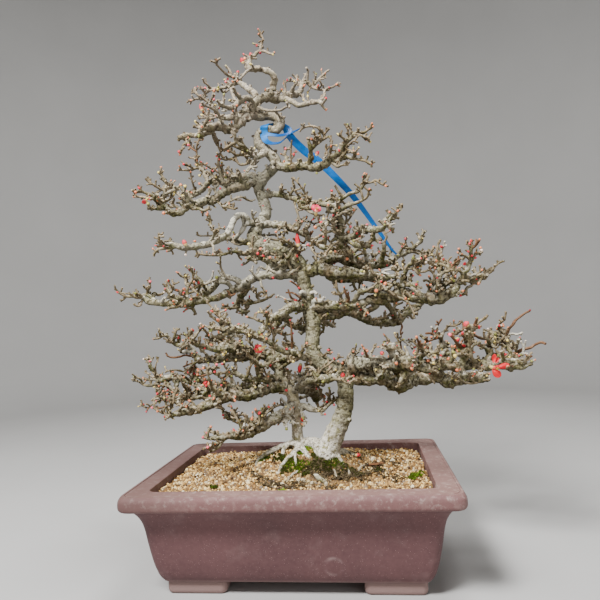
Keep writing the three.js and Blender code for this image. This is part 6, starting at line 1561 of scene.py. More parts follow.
class SharedEffects:
    """Shader groups that more than one finish uses, each built once."""

    @staticmethod
    @cache
    def patches_group() -> NodeTree:
        """A mask of soft-edged patches."""
        inputs = {"Scale": 60.0, "Low": 0.5, "High": 0.6, "Shift": (0.0, 0.0, 0.0)}
        tree, w, start, end = new_group("patches", "ShaderNodeTree", inputs, {"Mask": 0.0})
        moved = w.vector("ADD", w.place(), start.outputs["Shift"])
        raw = w.noise(moved, start.outputs["Scale"], 5.0, 0.62)
        values = {"Value": raw, "From Min": start.outputs["Low"], "From Max": start.outputs["High"]}
        w.put(end.inputs["Mask"], w.node("ShaderNodeMapRange", values).outputs[0])
        return tree

    @staticmethod
    @cache
    def grit_group() -> NodeTree:
        """Fine relief and specks."""
        outputs = {"Height": 0.0, "Specks": 0.0}
        tree, w, start, end = new_group("grit", "ShaderNodeTree", {"Scale": 900.0, "Speck": 0.12}, outputs)
        place = w.place()
        w.put(end.inputs["Height"], w.noise(place, start.outputs["Scale"], 4.0, 0.6))
        inside = w.math("LESS_THAN", w.cells(place, start.outputs["Scale"]), start.outputs["Speck"])
        w.put(end.inputs["Specks"], inside)
        return tree

    @classmethod
    def patches(
        cls, w: Wiring, scale: float, low: float, high: float, shift: tuple = (0.0, 0.0, 0.0)
    ) -> NodeSocket:
        """A mask of patches in a material.

        Args:
            w: The material's wiring.
            scale: How fine the patches are.
            low: The noise value below which there is none.
            high: The noise value above which a patch is full.
            shift: Moves the pattern, so that masks differ.

        Returns:
            The mask.
        """
        values = {"Scale": scale, "Low": low, "High": high, "Shift": shift}
        return w.node("ShaderNodeGroup", values, node_tree=cls.patches_group()).outputs["Mask"]

    @classmethod
    def grit(cls, w: Wiring, scale: float, speck: float) -> tuple[NodeSocket, NodeSocket]:
        """The height of fine grit and a mask of its specks."""
        made = w.node("ShaderNodeGroup", {"Scale": scale, "Speck": speck}, node_tree=cls.grit_group())
        return made.outputs["Height"], made.outputs["Specks"]


class Finish:
    """A material whose shader is filled in by each kind of finish."""

    name = "finish"
    rough = 0.8
    gloss = 0.35

    def build(self) -> Material:
        """Makes the material."""
        material = bpy.data.materials.new(self.name)
        material.use_nodes = True
        shader = material.node_tree.nodes["Principled BSDF"]
        shader.inputs["Roughness"].default_value = self.rough
        shader.inputs["Specular IOR Level"].default_value = self.gloss
        self.fill(Wiring(material.node_tree), shader)
        return material

    def fill(self, w: Wiring, shader: Node) -> None:
        """Gives the shader its colours and relief."""
        raise NotImplementedError

    def relief(self, w: Wiring, shader: Node, height: object, depth: float, strength: float = 1.0) -> None:
        """Adds fine relief to the shader's normal."""
        bump = w.node("ShaderNodeBump", {"Strength": strength, "Distance": depth, "Height": height})
        w.put(shader.inputs["Normal"], bump.outputs[0])


@dataclass(frozen=True)
class BarkFinish(Finish):
    """Grey-olive bark with pale lichen, green algae and reddish shoots, and painted light: highlight on top
    faces and on what stands proud, shade on undersides and in pits.
    """

    name: str = "bark"
    rough: float = 0.9
    gloss: float = 0.2
    bark: Pair = (srgb(82, 74, 48), srgb(154, 146, 112))
    # Algae colours, also serving as painted shade on undersides
    algae_and_underside_shade: Pair = (srgb(52, 54, 18), srgb(116, 116, 52))
    # Lichen colours; the paler one also serves as painted highlight on top faces
    lichen_and_top_highlight: Pair = (srgb(182, 176, 152), srgb(226, 220, 202))
    stem: Pair = (srgb(86, 78, 52), srgb(150, 145, 118))
    # Greenish tone with painted shade for the stems' right side
    stem_right_shade: Colour = srgb(104, 104, 58)
    rind: Pair = (srgb(88, 70, 46), srgb(166, 144, 114))
    dead: Colour = srgb(212, 207, 190)
    shoot: Colour = srgb(118, 72, 46)
    pores: Colour = srgb(58, 46, 30)
    # Painted shade for pits and crevices
    crevice_shade: Colour = srgb(40, 33, 20)
    # Painted highlight for wood that stands proud
    knobs: Colour = srgb(206, 198, 174)
    foot: Pair = (srgb(126, 116, 88), srgb(150, 146, 78))
    crust: Pair = (srgb(84, 66, 42), srgb(236, 229, 212))
    # Warm tone with painted light for the left stem
    warm_stem_light: Colour = srgb(206, 186, 138)
    crown: Colour = srgb(134, 104, 84)
    # Painted shade laid on wood that faces down
    under: Colour = srgb(46, 42, 24)
    flare_at: Place = (6, 24, 112)
    # Where the painted light on the left stem is centred
    stem_light_at: Place = (-6, 25, 178)

    def fill(self, w: Wiring, shader: Node) -> None:
        """Lays the bark's colours over each other, and raises its grain."""
        place = w.place()
        upward = w.facing(2)
        smooth = w.ranged(w.attribute("limb_radius"), 0.0056, 0.0086)
        spots = w.cells(place, 330.0)
        body = self.old_bark(w, upward)
        body = self.smooth_stems(w, body, place, smooth)
        body = self.ages(w, body, place)
        body = self.hollows(w, body, place, spots, smooth)
        body = self.foot_and_crown(w, body, place, smooth)
        # Wood that faces down is darkened towards the under colour as painted shade
        w.put(shader.inputs["Base Color"], w.blend(w.ranged(upward, -0.95, 0.1, 0.6, 0.0), body, self.under))
        grain = w.noise(place, 900.0, 5.0, 0.65)
        self.relief(w, shader, w.math("ADD", grain, w.times(spots, 0.9)), 0.0014, 1.0)

    def old_bark(self, w: Wiring, upward: NodeSocket) -> NodeSocket:
        """Mottled bark with algae, laid mostly on undersides as painted shade, and pale lichen, laid mostly
        on top faces as painted highlight.
        """
        fine = SharedEffects.patches(w, 330.0, 0.4, 0.6)
        wide = SharedEffects.patches(w, 120.0, 0.42, 0.6, (1.0, 4.0, 0.0))
        body = w.blend(fine, *self.bark)
        body = w.blend(w.times(wide, 0.5), body, self.lichen_and_top_highlight[0])
        olive = SharedEffects.patches(w, 60.0, 0.45, 0.57, (3.1, 0.7, 1.9))
        # Faces that point down take the algae colour: partly algae, partly painted shade
        below = w.ranged(upward, -0.7, 0.6, 1.0, 0.25)
        body = w.blend(w.times(olive, below), body, w.blend(fine, *self.algae_and_underside_shade))
        # Faces that point up take the palest lichen: partly lichen, partly painted highlight
        pale = SharedEffects.patches(w, 170.0, 0.5, 0.6, (0.3, 5.2, 2.2))
        return w.blend(w.times(pale, w.ranged(upward, -0.2, 0.7, 0.05, 0.85)), body, self.lichen_and_top_highlight[1])

    def smooth_stems(self, w: Wiring, body: NodeSocket, place: NodeSocket, smooth: NodeSocket) -> NodeSocket:
        """Evens out the bark of thick wood, marks it with level dashes, and paints greenish shade on its
        right side.
        """
        flat = w.vector("MULTIPLY", place, (1.0, 1.0, 3.4))
        dashes = w.ranged(w.noise(flat, 125.0, 4.0), 0.53, 0.59)
        body = w.blend(w.times(smooth, 0.74), body, self.stem[1])
        body = w.blend(w.times(w.times(dashes, smooth), 0.8), body, self.stem[0])
        # Faces that point right take a greenish painted shade
        edge = w.ranged(w.facing(0), 0.3, 0.9)
        return w.blend(w.times(w.times(edge, smooth), 0.5), body, self.stem_right_shade)

    def ages(self, w: Wiring, body: NodeSocket, place: NodeSocket) -> NodeSocket:
        """Browner twigs, pale dead wood and reddish shoots."""
        twig = w.ranged(w.attribute("limb_radius"), 0.0011, 0.0021, 0.7, 0.0)
        body = w.blend(twig, body, w.blend(w.ranged(w.noise(place, 90.0), 0.4, 0.6), *self.rind))
        past_dead = w.math("SUBTRACT", w.attribute("limb_kind"), 1.0)
        dead = w.math("MAXIMUM", w.math("SUBTRACT", 1.0, w.math("ABSOLUTE", past_dead)), 0.0)
        body = w.blend(w.times(dead, 0.85), body, self.dead)
        return w.blend(w.times(w.math("MAXIMUM", past_dead, 0.0), 0.7), body, self.shoot)

    def hollows(
        self, w: Wiring, body: NodeSocket, place: NodeSocket, spots: NodeSocket, smooth: NodeSocket
    ) -> NodeSocket:
        """Darkens pores, paints shade into pits and crevices, and paints highlight on what stands proud on
        rough wood.
        """
        pores = w.ranged(spots, 0.12, 0.3, 0.6, 0.0)
        body = w.blend(w.times(pores, w.noise(place, 60.0)), body, self.pores)
        depth = w.attribute("relief")
        # Low relief, in hollows, is darkened as painted shade
        body = w.blend(w.times(w.ranged(depth, 0.18, 0.5, 1.0, 0.0), 0.9), body, self.crevice_shade)
        # High relief, standing proud, is lightened as painted highlight
        ridge_highlight = w.times(w.ranged(depth, 0.68, 0.95, 0.0, 0.4), w.math("SUBTRACT", 1.0, smooth))
        return w.blend(ridge_highlight, body, self.knobs)

    def foot_and_crown(
        self, w: Wiring, body: NodeSocket, place: NodeSocket, smooth: NodeSocket
    ) -> NodeSocket:
        """The crusted root flare, the left stem made warmer and paler as painted light, and the browner
        crown.
        """
        near = w.ranged(w.away(place, Vector(self.flare_at)), 0.038, 0.076, 1.0, 0.0)
        crust = w.times(near, w.ranged(w.noise(place, 210.0, 4.0, 0.6), 0.4, 0.5))
        ground = w.blend(w.ranged(w.noise(place, 120.0, 3.0), 0.5, 0.6), *self.foot)
        body = w.blend(w.times(near, 0.7), body, ground)
        body = w.blend(w.times(crust, 0.95), body, self.crust[1])
        # Near the left stem the bark is warmed and lightened: partly its tone, partly painted light
        stem_light_share = w.times(w.ranged(w.away(place, Vector(self.stem_light_at)), 0.026, 0.052, 0.5, 0.0), smooth)
        body = w.blend(stem_light_share, body, self.warm_stem_light)
        peppered = w.times(near, w.ranged(w.noise(place, 420.0, 3.0, 0.6), 0.54, 0.6))
        body = w.blend(w.times(peppered, 0.75), body, self.crust[0])
        return w.blend(w.ranged(w.part(place, 2), 0.47, 0.54, 0.0, 0.26), body, self.crown)


@dataclass(frozen=True)
class ClayFinish(Finish):
    """Unglazed brown-purple stoneware with pale specks and lime left by water."""

    name: str = "clay"
    rough: float = 0.72
    gloss: float = 0.35
    clay: Pair = (srgb(77, 50, 52), srgb(94, 64, 65))
    grain: Colour = srgb(112, 80, 79)
    specks: Colour = srgb(170, 146, 138)
    lip: Colour = srgb(134, 98, 93)
    rim: Colour = srgb(132, 104, 95)
    worn: Colour = srgb(164, 142, 134)
    lime: Colour = srgb(196, 182, 174)
    bloom: Colour = srgb(150, 128, 124)
    ring: Colour = srgb(168, 148, 144)
    # Painted shade for the rim's left end
    shade: Colour = srgb(84, 62, 58)
    salt: Colour = srgb(226, 218, 212)
    feet: Colour = srgb(142, 118, 112)
    salt_at: Place = (146, -103, 111)

    def fill(self, w: Wiring, shader: Node) -> None:
        """Lays specks, lip, lime and stains over the clay."""
        place = w.place()
        height = w.part(place, 2)
        lip = w.ranged(height, 0.094, 0.101)
        upward = w.facing(2)
        cloud = SharedEffects.patches(w, 14.0, 0.3, 0.7)
        fine = SharedEffects.patches(w, 220.0, 0.35, 0.7, (0.2, 0.4, 0.9))
        grit, specks = SharedEffects.grit(w, 520.0, 0.16)
        few = SharedEffects.patches(w, 300.0, 0.5, 0.52, (7.0, 0.0, 0.0))
        speck = w.times(specks, few)
        body = w.blend(cloud, *self.clay)
        body = w.blend(w.times(fine, 0.3), body, self.grain)
        body = w.blend(w.times(speck, 0.5), body, self.specks)
        body = self.limed(w, body, height, lip, upward)
        body = self.stained(w, body, place, lip, upward)
        body = w.blend(w.ranged(height, 0.012, 0.018, 0.75, 0.0), body, self.feet)
        w.put(shader.inputs["Base Color"], body)
        w.put(shader.inputs["Roughness"], w.ranged(cloud, 0.0, 1.0, 0.62, 0.8))
        self.relief(w, shader, w.math("ADD", grit, w.times(speck, 0.5)), 0.0005, 0.5)

    def limed(
        self, w: Wiring, body: NodeSocket, height: NodeSocket, lip: NodeSocket, upward: NodeSocket
    ) -> NodeSocket:
        """The paler, worn lip with its band of lime, and a faint bloom all over."""
        body = w.blend(w.times(lip, 0.36), body, self.lip)
        body = w.blend(w.times(w.times(w.ranged(upward, 0.6, 0.95), lip), 0.55), body, self.rim)
        worn = SharedEffects.patches(w, 75.0, 0.5, 0.62, (5.0, 1.0, 2.0))
        body = w.blend(w.times(w.times(worn, lip), 0.17), body, self.worn)
        lime = SharedEffects.patches(w, 170.0, 0.54, 0.72, (2.0, 2.0, 5.0))
        body = w.blend(w.times(w.times(lime, w.ranged(height, 0.095, 0.106)), 0.36), body, self.lime)
        wall = SharedEffects.patches(w, 26.0, 0.56, 0.8, (1.0, 8.0, 3.0))
        return w.blend(w.times(wall, 0.28), body, self.bloom)

    def stained(
        self, w: Wiring, body: NodeSocket, place: NodeSocket, lip: NodeSocket, upward: NodeSocket
    ) -> NodeSocket:
        """The broken ring on the front, painted shade on the rim's left end, and the salty inner corner."""
        off = w.math("ABSOLUTE", w.math("SUBTRACT", w.away(place, Vector(STAIN[:3])), STAIN[3] * MM))
        broken = w.ranged(w.noise(place, 60.0, 3.0), 0.4, 0.6, 0.02, 0.4)
        body = w.blend(w.times(w.ranged(off, 0.0, 0.0028, 1.0, 0.0), broken), body, self.ring)
        # The rim darkens towards its left end as painted shade
        left = w.ranged(w.part(place, 0), -0.17, -0.08, 0.65, 0.0)
        body = w.blend(w.times(left, lip), body, self.shade)
        corner = w.ranged(w.away(place, Vector(self.salt_at)), 0.004, 0.02, 0.9, 0.0)
        salty = w.times(corner, w.ranged(upward, 0.95, 0.6))
        return w.blend(w.times(salty, w.ranged(w.noise(place, 300.0, 3.0), 0.35, 0.55)), body, self.salt)


@dataclass(frozen=True)
class GrainFinish(Finish):
    """Granules of baked clay, pumice and lava, coloured one by one."""

    name: str = "granules"
    rough: float = 0.95
    gloss: float = 0.15
    dust: Colour = srgb(96, 70, 42)
    damp: Colour = srgb(58, 46, 28)
    damp_at: Place = (36, -28, 108)
    stops: Stops = (
        (0.0, srgb(72, 52, 32)),
        (0.09, srgb(142, 104, 56)),
        (0.22, srgb(198, 158, 96)),
        (0.42, srgb(236, 198, 128)),
        (0.62, srgb(178, 140, 86)),
        (0.75, srgb(244, 218, 160)),
        (0.88, srgb(136, 124, 112)),
        (0.94, srgb(242, 228, 192)),
    )

    def fill(self, w: Wiring, shader: Node) -> None:
        """Colours each grain by its stored tint, dusty all over and damp by the trunk."""
        place = w.place()
        body = w.ramp(w.attribute("tint"), self.stops, smooth=False)
        body = w.blend(w.ranged(w.noise(place, 900.0, 3.0), 0.4, 0.75, 0.0, 0.4), body, self.dust)
        damp = SharedEffects.patches(w, 70.0, 0.36, 0.54, (4.0, 4.0, 0.0))
        near = w.ranged(w.away(place, Vector(self.damp_at)), 0.03, 0.075, 0.62, 0.0)
        w.put(shader.inputs["Base Color"], w.blend(w.times(damp, near), body, self.damp))
        self.relief(w, shader, w.noise(place, 1500.0, 3.0), 0.0004, 0.7)


@dataclass(frozen=True)
class SoilFinish(Finish):
    """The shaded bed between the granules."""

    name: str = "bed"
    rough: float = 1.0
    dark: Colour = srgb(70, 52, 34)
    light: Colour = srgb(140, 110, 74)

    def fill(self, w: Wiring, shader: Node) -> None:
        """Dark crumbs."""
        crumbs = w.noise(w.place(), 500.0, 4.0)
        w.put(shader.inputs["Base Color"], w.blend(crumbs, self.dark, self.light))
        self.relief(w, shader, crumbs, 0.001, 1.0)


@dataclass(frozen=True)
class MossFinish(Finish):
    """Low moss, from dark to yellow-green."""

    name: str = "moss"
    rough: float = 0.95
    gloss: float = 0.1
    stops: Stops = (
        (0.0, srgb(40, 34, 18)),
        (0.3, srgb(58, 58, 20)),
        (0.55, srgb(70, 92, 20)),
        (0.8, srgb(104, 132, 30)),
        (1.0, srgb(160, 190, 50)),
    )

    def fill(self, w: Wiring, shader: Node) -> None:
        """Colours each tuft by its stored tint."""
        w.put(shader.inputs["Base Color"], w.ramp(w.attribute("tint"), self.stops))


@dataclass(frozen=True)
class BudFinish(Finish):
    """Bud scales and petals, coloured by each bud's tint and by the way along it."""

    name: str = "buds"
    rough: float = 0.5
    gloss: float = 0.4
    calyx: Pair = (srgb(124, 92, 54), srgb(150, 128, 70))
    streak: Colour = srgb(244, 214, 196)
    stops: Stops = (
        (0.0, srgb(142, 146, 66)),
        (0.12, srgb(226, 204, 112)),
        (0.28, srgb(222, 128, 84)),
        (0.45, srgb(214, 34, 52)),
        (0.62, srgb(140, 20, 36)),
        (0.76, srgb(236, 96, 112)),
        (0.9, srgb(240, 220, 206)),
    )

    def fill(self, w: Wiring, shader: Node) -> None:
        """Runs from the calyx colour at the base to the petal colour at the tip."""
        place = w.place()
        petal = w.ramp(w.attribute("tint"), self.stops, smooth=False)
        calyx = w.blend(w.noise(place, 300.0), *self.calyx)
        along = w.math("ADD", w.attribute("along"), w.times(w.noise(place, 600.0), 0.25))
        body = w.blend(w.ranged(along, 0.38, 0.58), calyx, petal)
        streak = w.noise(place, 700.0, 3.0)
        w.put(shader.inputs["Base Color"], w.blend(w.ranged(streak, 0.5, 0.8, 0.0, 0.3), body, self.streak))
        self.relief(w, shader, streak, 0.0004, 0.4)


@dataclass(frozen=True)
class PetalFinish(Finish):
    """Thin petals, paler at the heart, with fine veins, over a cream calyx."""

    name: str = "petal"
    rough: float = 0.5
    gloss: float = 0.35
    edge: Colour = srgb(214, 40, 58)
    heart: Colour = srgb(240, 150, 140)
    calyx: Colour = srgb(222, 200, 128)
    glow: float = 0.15
    glow_reach: tuple = (0.002, 0.0008, 0.0006)

    def fill(self, w: Wiring, shader: Node) -> None:
        """Blends the heart's colour into the edge's, and lets some light through."""
        place = w.place()
        along = w.attribute("along")
        veins = w.noise(place, 1100.0, 2.0)
        share = w.ranged(w.math("ADD", along, w.times(veins, 0.3)), 0.25, 0.75)
        petal = w.blend(share, self.heart, self.edge)
        foot = w.math("ADD", along, w.times(w.noise(place, 400.0), 0.12))
        w.put(shader.inputs["Base Color"], w.blend(w.ranged(foot, 0.24, 0.34), self.calyx, petal))
        shader.inputs["Subsurface Weight"].default_value = self.glow
        shader.inputs["Subsurface Radius"].default_value = self.glow_reach
        self.relief(w, shader, veins, 0.0003, 0.4)


@dataclass(frozen=True)
class PlainFinish(Finish):
    """One colour with a fine variation, for small pieces."""

    name: str = "plain"
    rough: float = 0.6
    gloss: float = 0.4
    dark: Colour = srgb(30, 32, 34)
    light: Colour = srgb(52, 55, 58)
    scale: float = 400.0

    def fill(self, w: Wiring, shader: Node) -> None:
        """Varies the colour a little."""
        grain = w.noise(w.place(), self.scale, 4.0)
        w.put(shader.inputs["Base Color"], w.blend(w.ranged(grain, 0.3, 0.7), self.dark, self.light))
        self.relief(w, shader, grain, 0.0004, 0.5)


@dataclass(frozen=True)
class LabelFinish(Finish):
    """Smooth blue plastic, paler along its edges, with a painted highlight where it bends."""

    name: str = "label_plastic"
    rough: float = 0.4
    gloss: float = 0.2
    blue: Pair = (srgb(0, 64, 132), srgb(0, 84, 156))
    edge: Colour = srgb(10, 138, 200)
    # Painted highlight for the bend
    bend: Colour = srgb(0, 122, 196)
    bend_highlight_at: Place = (-32, 534, 11)

    def fill(self, w: Wiring, shader: Node) -> None:
        """Blue with paler edges, a painted highlight on the bend, and faint scuffs."""
        place = w.place()
        scuffs = w.noise(place, 180.0, 5.0)
        blue = w.blend(w.ranged(scuffs, 0.3, 0.8), *self.blue)
        blue = w.blend(w.times(w.attribute("edge"), 0.4), blue, self.edge)
        # Around the bend the blue is lightened as painted highlight
        near = w.ranged(w.away(place, seen(*self.bend_highlight_at)), 0.007, 0.02, 0.6, 0.0)
        w.put(shader.inputs["Base Color"], w.blend(near, blue, self.bend))
        w.put(shader.inputs["Roughness"], w.ranged(scuffs, 0.3, 0.7, 0.28, 0.42))


class Trees:
    """The geometry trees, each built once."""

    @staticmethod
    def begin(name: str, **inputs: object) -> tuple[NodeTree, Wiring, Node, Node]:
        """Starts a tree that takes a mesh, the given inputs and a material, and gives a mesh."""
        sockets = {"Geometry": Socket.GEOMETRY, **inputs, "Material": Socket.MATERIAL}
        return new_group(name, "GeometryNodeTree", sockets, {"Geometry": Socket.GEOMETRY})

    @staticmethod
    @cache
    def limb_sweep() -> NodeTree:
        """Sweeps round wood along lines whose points hold a radius."""
        tree, w, start, end = Trees.begin(
            "limb_sweep", Step=0.002, Sides=8, Wobble=0.0008, Knuckles=0.2, Gain=1.0, Extra=0.0
        )
        values = start.outputs
        curve = w.node("GeometryNodeMeshToCurve", {"Mesh": values["Geometry"]}).outputs[0]
        smooth = w.node("GeometryNodeCurveSplineType", {"Curve": curve}, spline_type="CATMULL_ROM")
        spaced = {"Curve": smooth.outputs[0], "Length": values["Step"]}
        even = w.node("GeometryNodeResampleCurve", spaced, mode="LENGTH")
        place = w.node("GeometryNodeInputPosition").outputs[0]
        drift = w.vector("SUBTRACT", w.noise(place, 130.0, 2.0, colour=True), (0.5, 0.5, 0.5))
        moved = w.shifted(even.outputs[0], drift, values["Wobble"])
        radius = w.stored("limb_radius")
        swell = w.math("SUBTRACT", w.noise(place, 170.0, 2.0), 0.5)
        share = w.math("MULTIPLY_ADD", swell, values["Knuckles"], 1.0)
        share = w.times(share, w.ranged(radius, 0.0022, 0.005, 1.0, values["Gain"]))
        circle = {"Resolution": values["Sides"], "Radius": 1.0}
        ring = w.node("GeometryNodeCurvePrimitiveCircle", circle).outputs[0]
        scale = w.math("MULTIPLY_ADD", radius, share, values["Extra"])
        swept = {"Curve": moved, "Profile Curve": ring, "Scale": scale, "Fill Caps": True}
        tube = w.node("GeometryNodeCurveToMesh", swept).outputs[0]
        w.close(w.node("GeometryNodeSetShadeSmooth", {"Geometry": tube}).outputs[0], start, end)
        return tree

    @staticmethod
    @cache
    def bark_relief() -> NodeTree:
        """Raises lumps and ridges on fused wood, and stores how deep each point lies."""
        tree, w, start, end = Trees.begin("bark_relief", Lumps=0.0016, Ridges=0.0008)
        place = w.node("GeometryNodeInputPosition").outputs[0]
        normal = w.node("GeometryNodeInputNormal").outputs[0]
        size = w.ranged(w.stored("limb_radius"), 0.001, 0.009, 0.4, 1.25)
        lumps = w.math("SUBTRACT", w.noise(place, 120.0, 3.0), 0.5)
        squeezed = w.vector("MULTIPLY", place, (1.0, 1.0, 0.6))
        ridges = w.noise(squeezed, 330.0, 5.0, 0.62)
        rise = w.times(w.times(lumps, start.outputs["Lumps"]), 2.0)
        doubled = w.times(start.outputs["Ridges"], 2.0)
        rise = w.math("MULTIPLY_ADD", w.math("SUBTRACT", ridges, 0.5), doubled, rise)
        moved = w.shifted(start.outputs["Geometry"], normal, w.times(rise, size))
        values = {"Value": place, "Iterations": 5}
        around = w.node("GeometryNodeBlurAttribute", values, data_type="FLOAT_VECTOR").outputs[0]
        stands = w.vector("DOT_PRODUCT", normal, w.vector("SUBTRACT", place, around))
        hollow = w.ranged(stands, -0.00022, 0.0005)
        depth = w.math("MULTIPLY_ADD", w.ranged(ridges, 0.3, 0.7), 0.35, w.times(hollow, 0.65))
        kept = w.keep(moved, "relief", depth, "POINT").outputs[0]
        w.close(w.node("GeometryNodeSetShadeSmooth", {"Geometry": kept}).outputs[0], start, end)
        return tree

    @staticmethod
    @cache
    def seat_copies() -> NodeTree:
        """Sets a copy of a small shape on every point, turned and sized by the point's own values."""
        tree, w, start, end = Trees.begin("seat_copies", Shapes=Socket.COLLECTION, Seed=7)
        axis = w.stored("axis", "FLOAT_VECTOR")
        size = w.stored("size", "FLOAT_VECTOR")
        turn = w.node("FunctionNodeAlignRotationToVector", {"Vector": axis}, axis="Z").outputs[0]
        spin = w.chance(0.0, math.tau, start.outputs["Seed"])
        spun = w.node("FunctionNodeAxisAngleToRotation", {"Axis": (0.0, 0.0, 1.0), "Angle": spin}).outputs[0]
        both = {"Rotation": turn, "Rotate By": spun}
        full = w.node("FunctionNodeRotateRotation", both, rotation_space="LOCAL").outputs[0]
        copies = w.copies(start.outputs["Geometry"], start.outputs["Shapes"], full, size)
        w.close(copies.outputs[0], start, end)
        return tree

    @staticmethod
    @cache
    def scatter_grains() -> NodeTree:
        """Covers a surface with grains of mixed shape, size and tint."""
        tree, w, start, end = Trees.begin(
            "scatter_grains", Shapes=Socket.COLLECTION, Spacing=0.0026, Small=0.0012, Large=0.0022, Seed=3
        )
        given = start.outputs
        seed = given["Seed"]
        values = {"Mesh": given["Geometry"], "Distance Min": given["Spacing"], "Density Max": GRAINS_PER_M2}
        spread = w.node(
            "GeometryNodeDistributePointsOnFaces", {**values, "Seed": seed}, distribute_method="POISSON"
        )
        turn = w.chance((0.0, 0.0, 0.0), (math.tau,) * 3, seed)
        spun = w.node("FunctionNodeEulerToRotation", {0: turn}).outputs[0]
        skewed = w.math("POWER", w.chance(0.0, 1.0, w.math("ADD", seed, 11.0)), 2.2)
        size = w.ranged(skewed, 0.0, 1.0, given["Small"], given["Large"])
        copies = w.copies(spread.outputs[0], given["Shapes"], spun, size)
        tint = w.chance(0.0, 1.0, w.math("ADD", seed, 23.0))
        w.close(w.keep(copies.outputs[0], "tint", tint, "INSTANCE").outputs[0], start, end)
        return tree


def in_scene(name: str, data: object) -> Object:
    """A new object in the scene."""
    made = bpy.data.objects.new(name, data)
    bpy.context.scene.collection.objects.link(made)
    return made


def evaluated(holder: Object, name: str, keep: bool = True) -> Mesh:
    """The plain mesh that an object's modifiers give; the object is removed.

    Args:
        holder: The object with its modifiers.
        name: The name of the result.
        keep: Whether the stored values stay on the mesh.

    Returns:
        The mesh.
    """
    depsgraph = bpy.context.evaluated_depsgraph_get()
    source = holder.evaluated_get(depsgraph)
    if keep:
        result = bpy.data.meshes.new_from_object(source, preserve_all_data_layers=True, depsgraph=depsgraph)
    else:
        result = bpy.data.meshes.new_from_object(source)
    result.name = name
    bpy.data.objects.remove(holder)
    return result


def store(mesh: Mesh, name: str, values: list[float], kind: str = "FLOAT") -> None:
    """Stores a number, or a vector's three numbers, on each point of a mesh."""
    field_name = "value" if kind == "FLOAT" else "vector"
    mesh.attributes.new(name, kind, "POINT").data.foreach_set(field_name, values)


def shade_smooth(mesh: Mesh) -> None:
    """Shades all faces smoothly."""
    mesh.polygons.foreach_set("use_smooth", [True] * len(mesh.polygons))


def turns(count: int) -> list[float]:
    """Evenly spread angles round a circle."""
    return [math.tau * k / count for k in range(count)]


def run_tree(mesh: Mesh, tree: NodeTree, values: dict[str, object], name: str) -> Mesh:
    """Runs a geometry tree on a mesh and gives back the plain result.

    Args:
        mesh: What goes in.
        tree: The geometry tree.
        values: Input values by socket name; each is set by the socket's identifier.
        name: The name of the result.

    Returns:
        The resulting mesh.
    """
    holder = in_scene(name + "_source", mesh)
    modifier = holder.modifiers.new("tree", "NODES")
    modifier.node_group = tree
    for item in tree.interface.items_tree:
        if item.item_type == "SOCKET" and item.in_out == "INPUT" and item.name in values:
            modifier[item.identifier] = values[item.name]
    return evaluated(holder, name)


def add_piece(
    name: str, mesh: Mesh, replaced: tuple[str, ...] = (), material: Material | None = None
) -> None:
    """Puts a finished mesh into the scene as a piece of the object.

    Args:
        name: The piece's name.
        mesh: Its mesh.
        replaced: The solids' nodes that it stands in for.
        material: Its finish, where the mesh has none yet.
    """
    piece = in_scene(name, mesh)
    if material is not None:
        mesh.materials.clear()
        mesh.materials.append(material)
    if replaced:
        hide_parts(*replaced)
    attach(piece, BODY)
    log.info("%s: %d faces", name, len(mesh.polygons))


def strands(name: str, ways: list[Way]) -> Mesh:
    """A mesh of bare lines, one for each way, whose points hold a radius and an age."""
    points: list[Vector] = []
    edges: list[tuple[int, int]] = []
    for way in ways:
        first = len(points)
        points.extend(to_frame(spot.point) for spot in way.spots)
        edges.extend((i, i + 1) for i in range(first, len(points) - 1))
    mesh = bpy.data.meshes.new(name)
    mesh.from_pydata(points, edges, [])
    store(mesh, "limb_radius", [spot.radius * MM for way in ways for spot in way.spots])
    store(mesh, "limb_kind", [wood_age(way.kind, spot.point) for way in ways for spot in way.spots])
    return mesh


@dataclass
class Seat:
    """Where a copy of a small shape sits: its place, its axis, its size and its tint."""

    place: Vector
    axis: Vector
    wide: float
    high: float
    tint: float


def points_mesh(name: str, seats: list[Seat]) -> Mesh:
    """A mesh of bare points that hold an axis, a size and a tint."""
    mesh = bpy.data.meshes.new(name)
    mesh.from_pydata([to_frame(seat.place) for seat in seats], [], [])
    store(mesh, "axis", [c for seat in seats for c in seat.axis], "FLOAT_VECTOR")
    sizes = [c * MM for seat in seats for c in (seat.wide, seat.wide, seat.high)]
    store(mesh, "size", sizes, "FLOAT_VECTOR")
    store(mesh, "tint", [seat.tint for seat in seats])
    return mesh


def shapes_collection(name: str, meshes: list[Mesh]) -> Collection:
    """A hidden collection of small shapes for a tree to copy."""
    collection = bpy.data.collections.new(name)
    for i, mesh in enumerate(meshes):
        collection.objects.link(bpy.data.objects.new(f"{name}_{i}", mesh))
    return collection


def seat_shapes(name: str, shapes: list[Mesh], seats: list[Seat], seed: int, material: Material) -> Mesh:
    """Copies a few shapes onto seats.

    Args:
        name: The name of the result.
        shapes: The shapes to copy.
        seats: Where the copies go.
        seed: The chance by which each copy is turned round its own axis.
        material: The finish of all copies.

    Returns:
        One mesh of all copies.
    """
    source = shapes_collection(name + "_shapes", shapes)
    values = {"Shapes": source, "Seed": seed, "Material": material}
    whole = run_tree(points_mesh(name + "_points", seats), Trees.seat_copies(), values, name)
    discard(source)
    return whole


def discard(collection: Collection) -> None:
    """Removes a collection of source shapes and the shapes in it."""
    for item in list(collection.objects):
        bpy.data.objects.remove(item)
    bpy.data.collections.remove(collection)


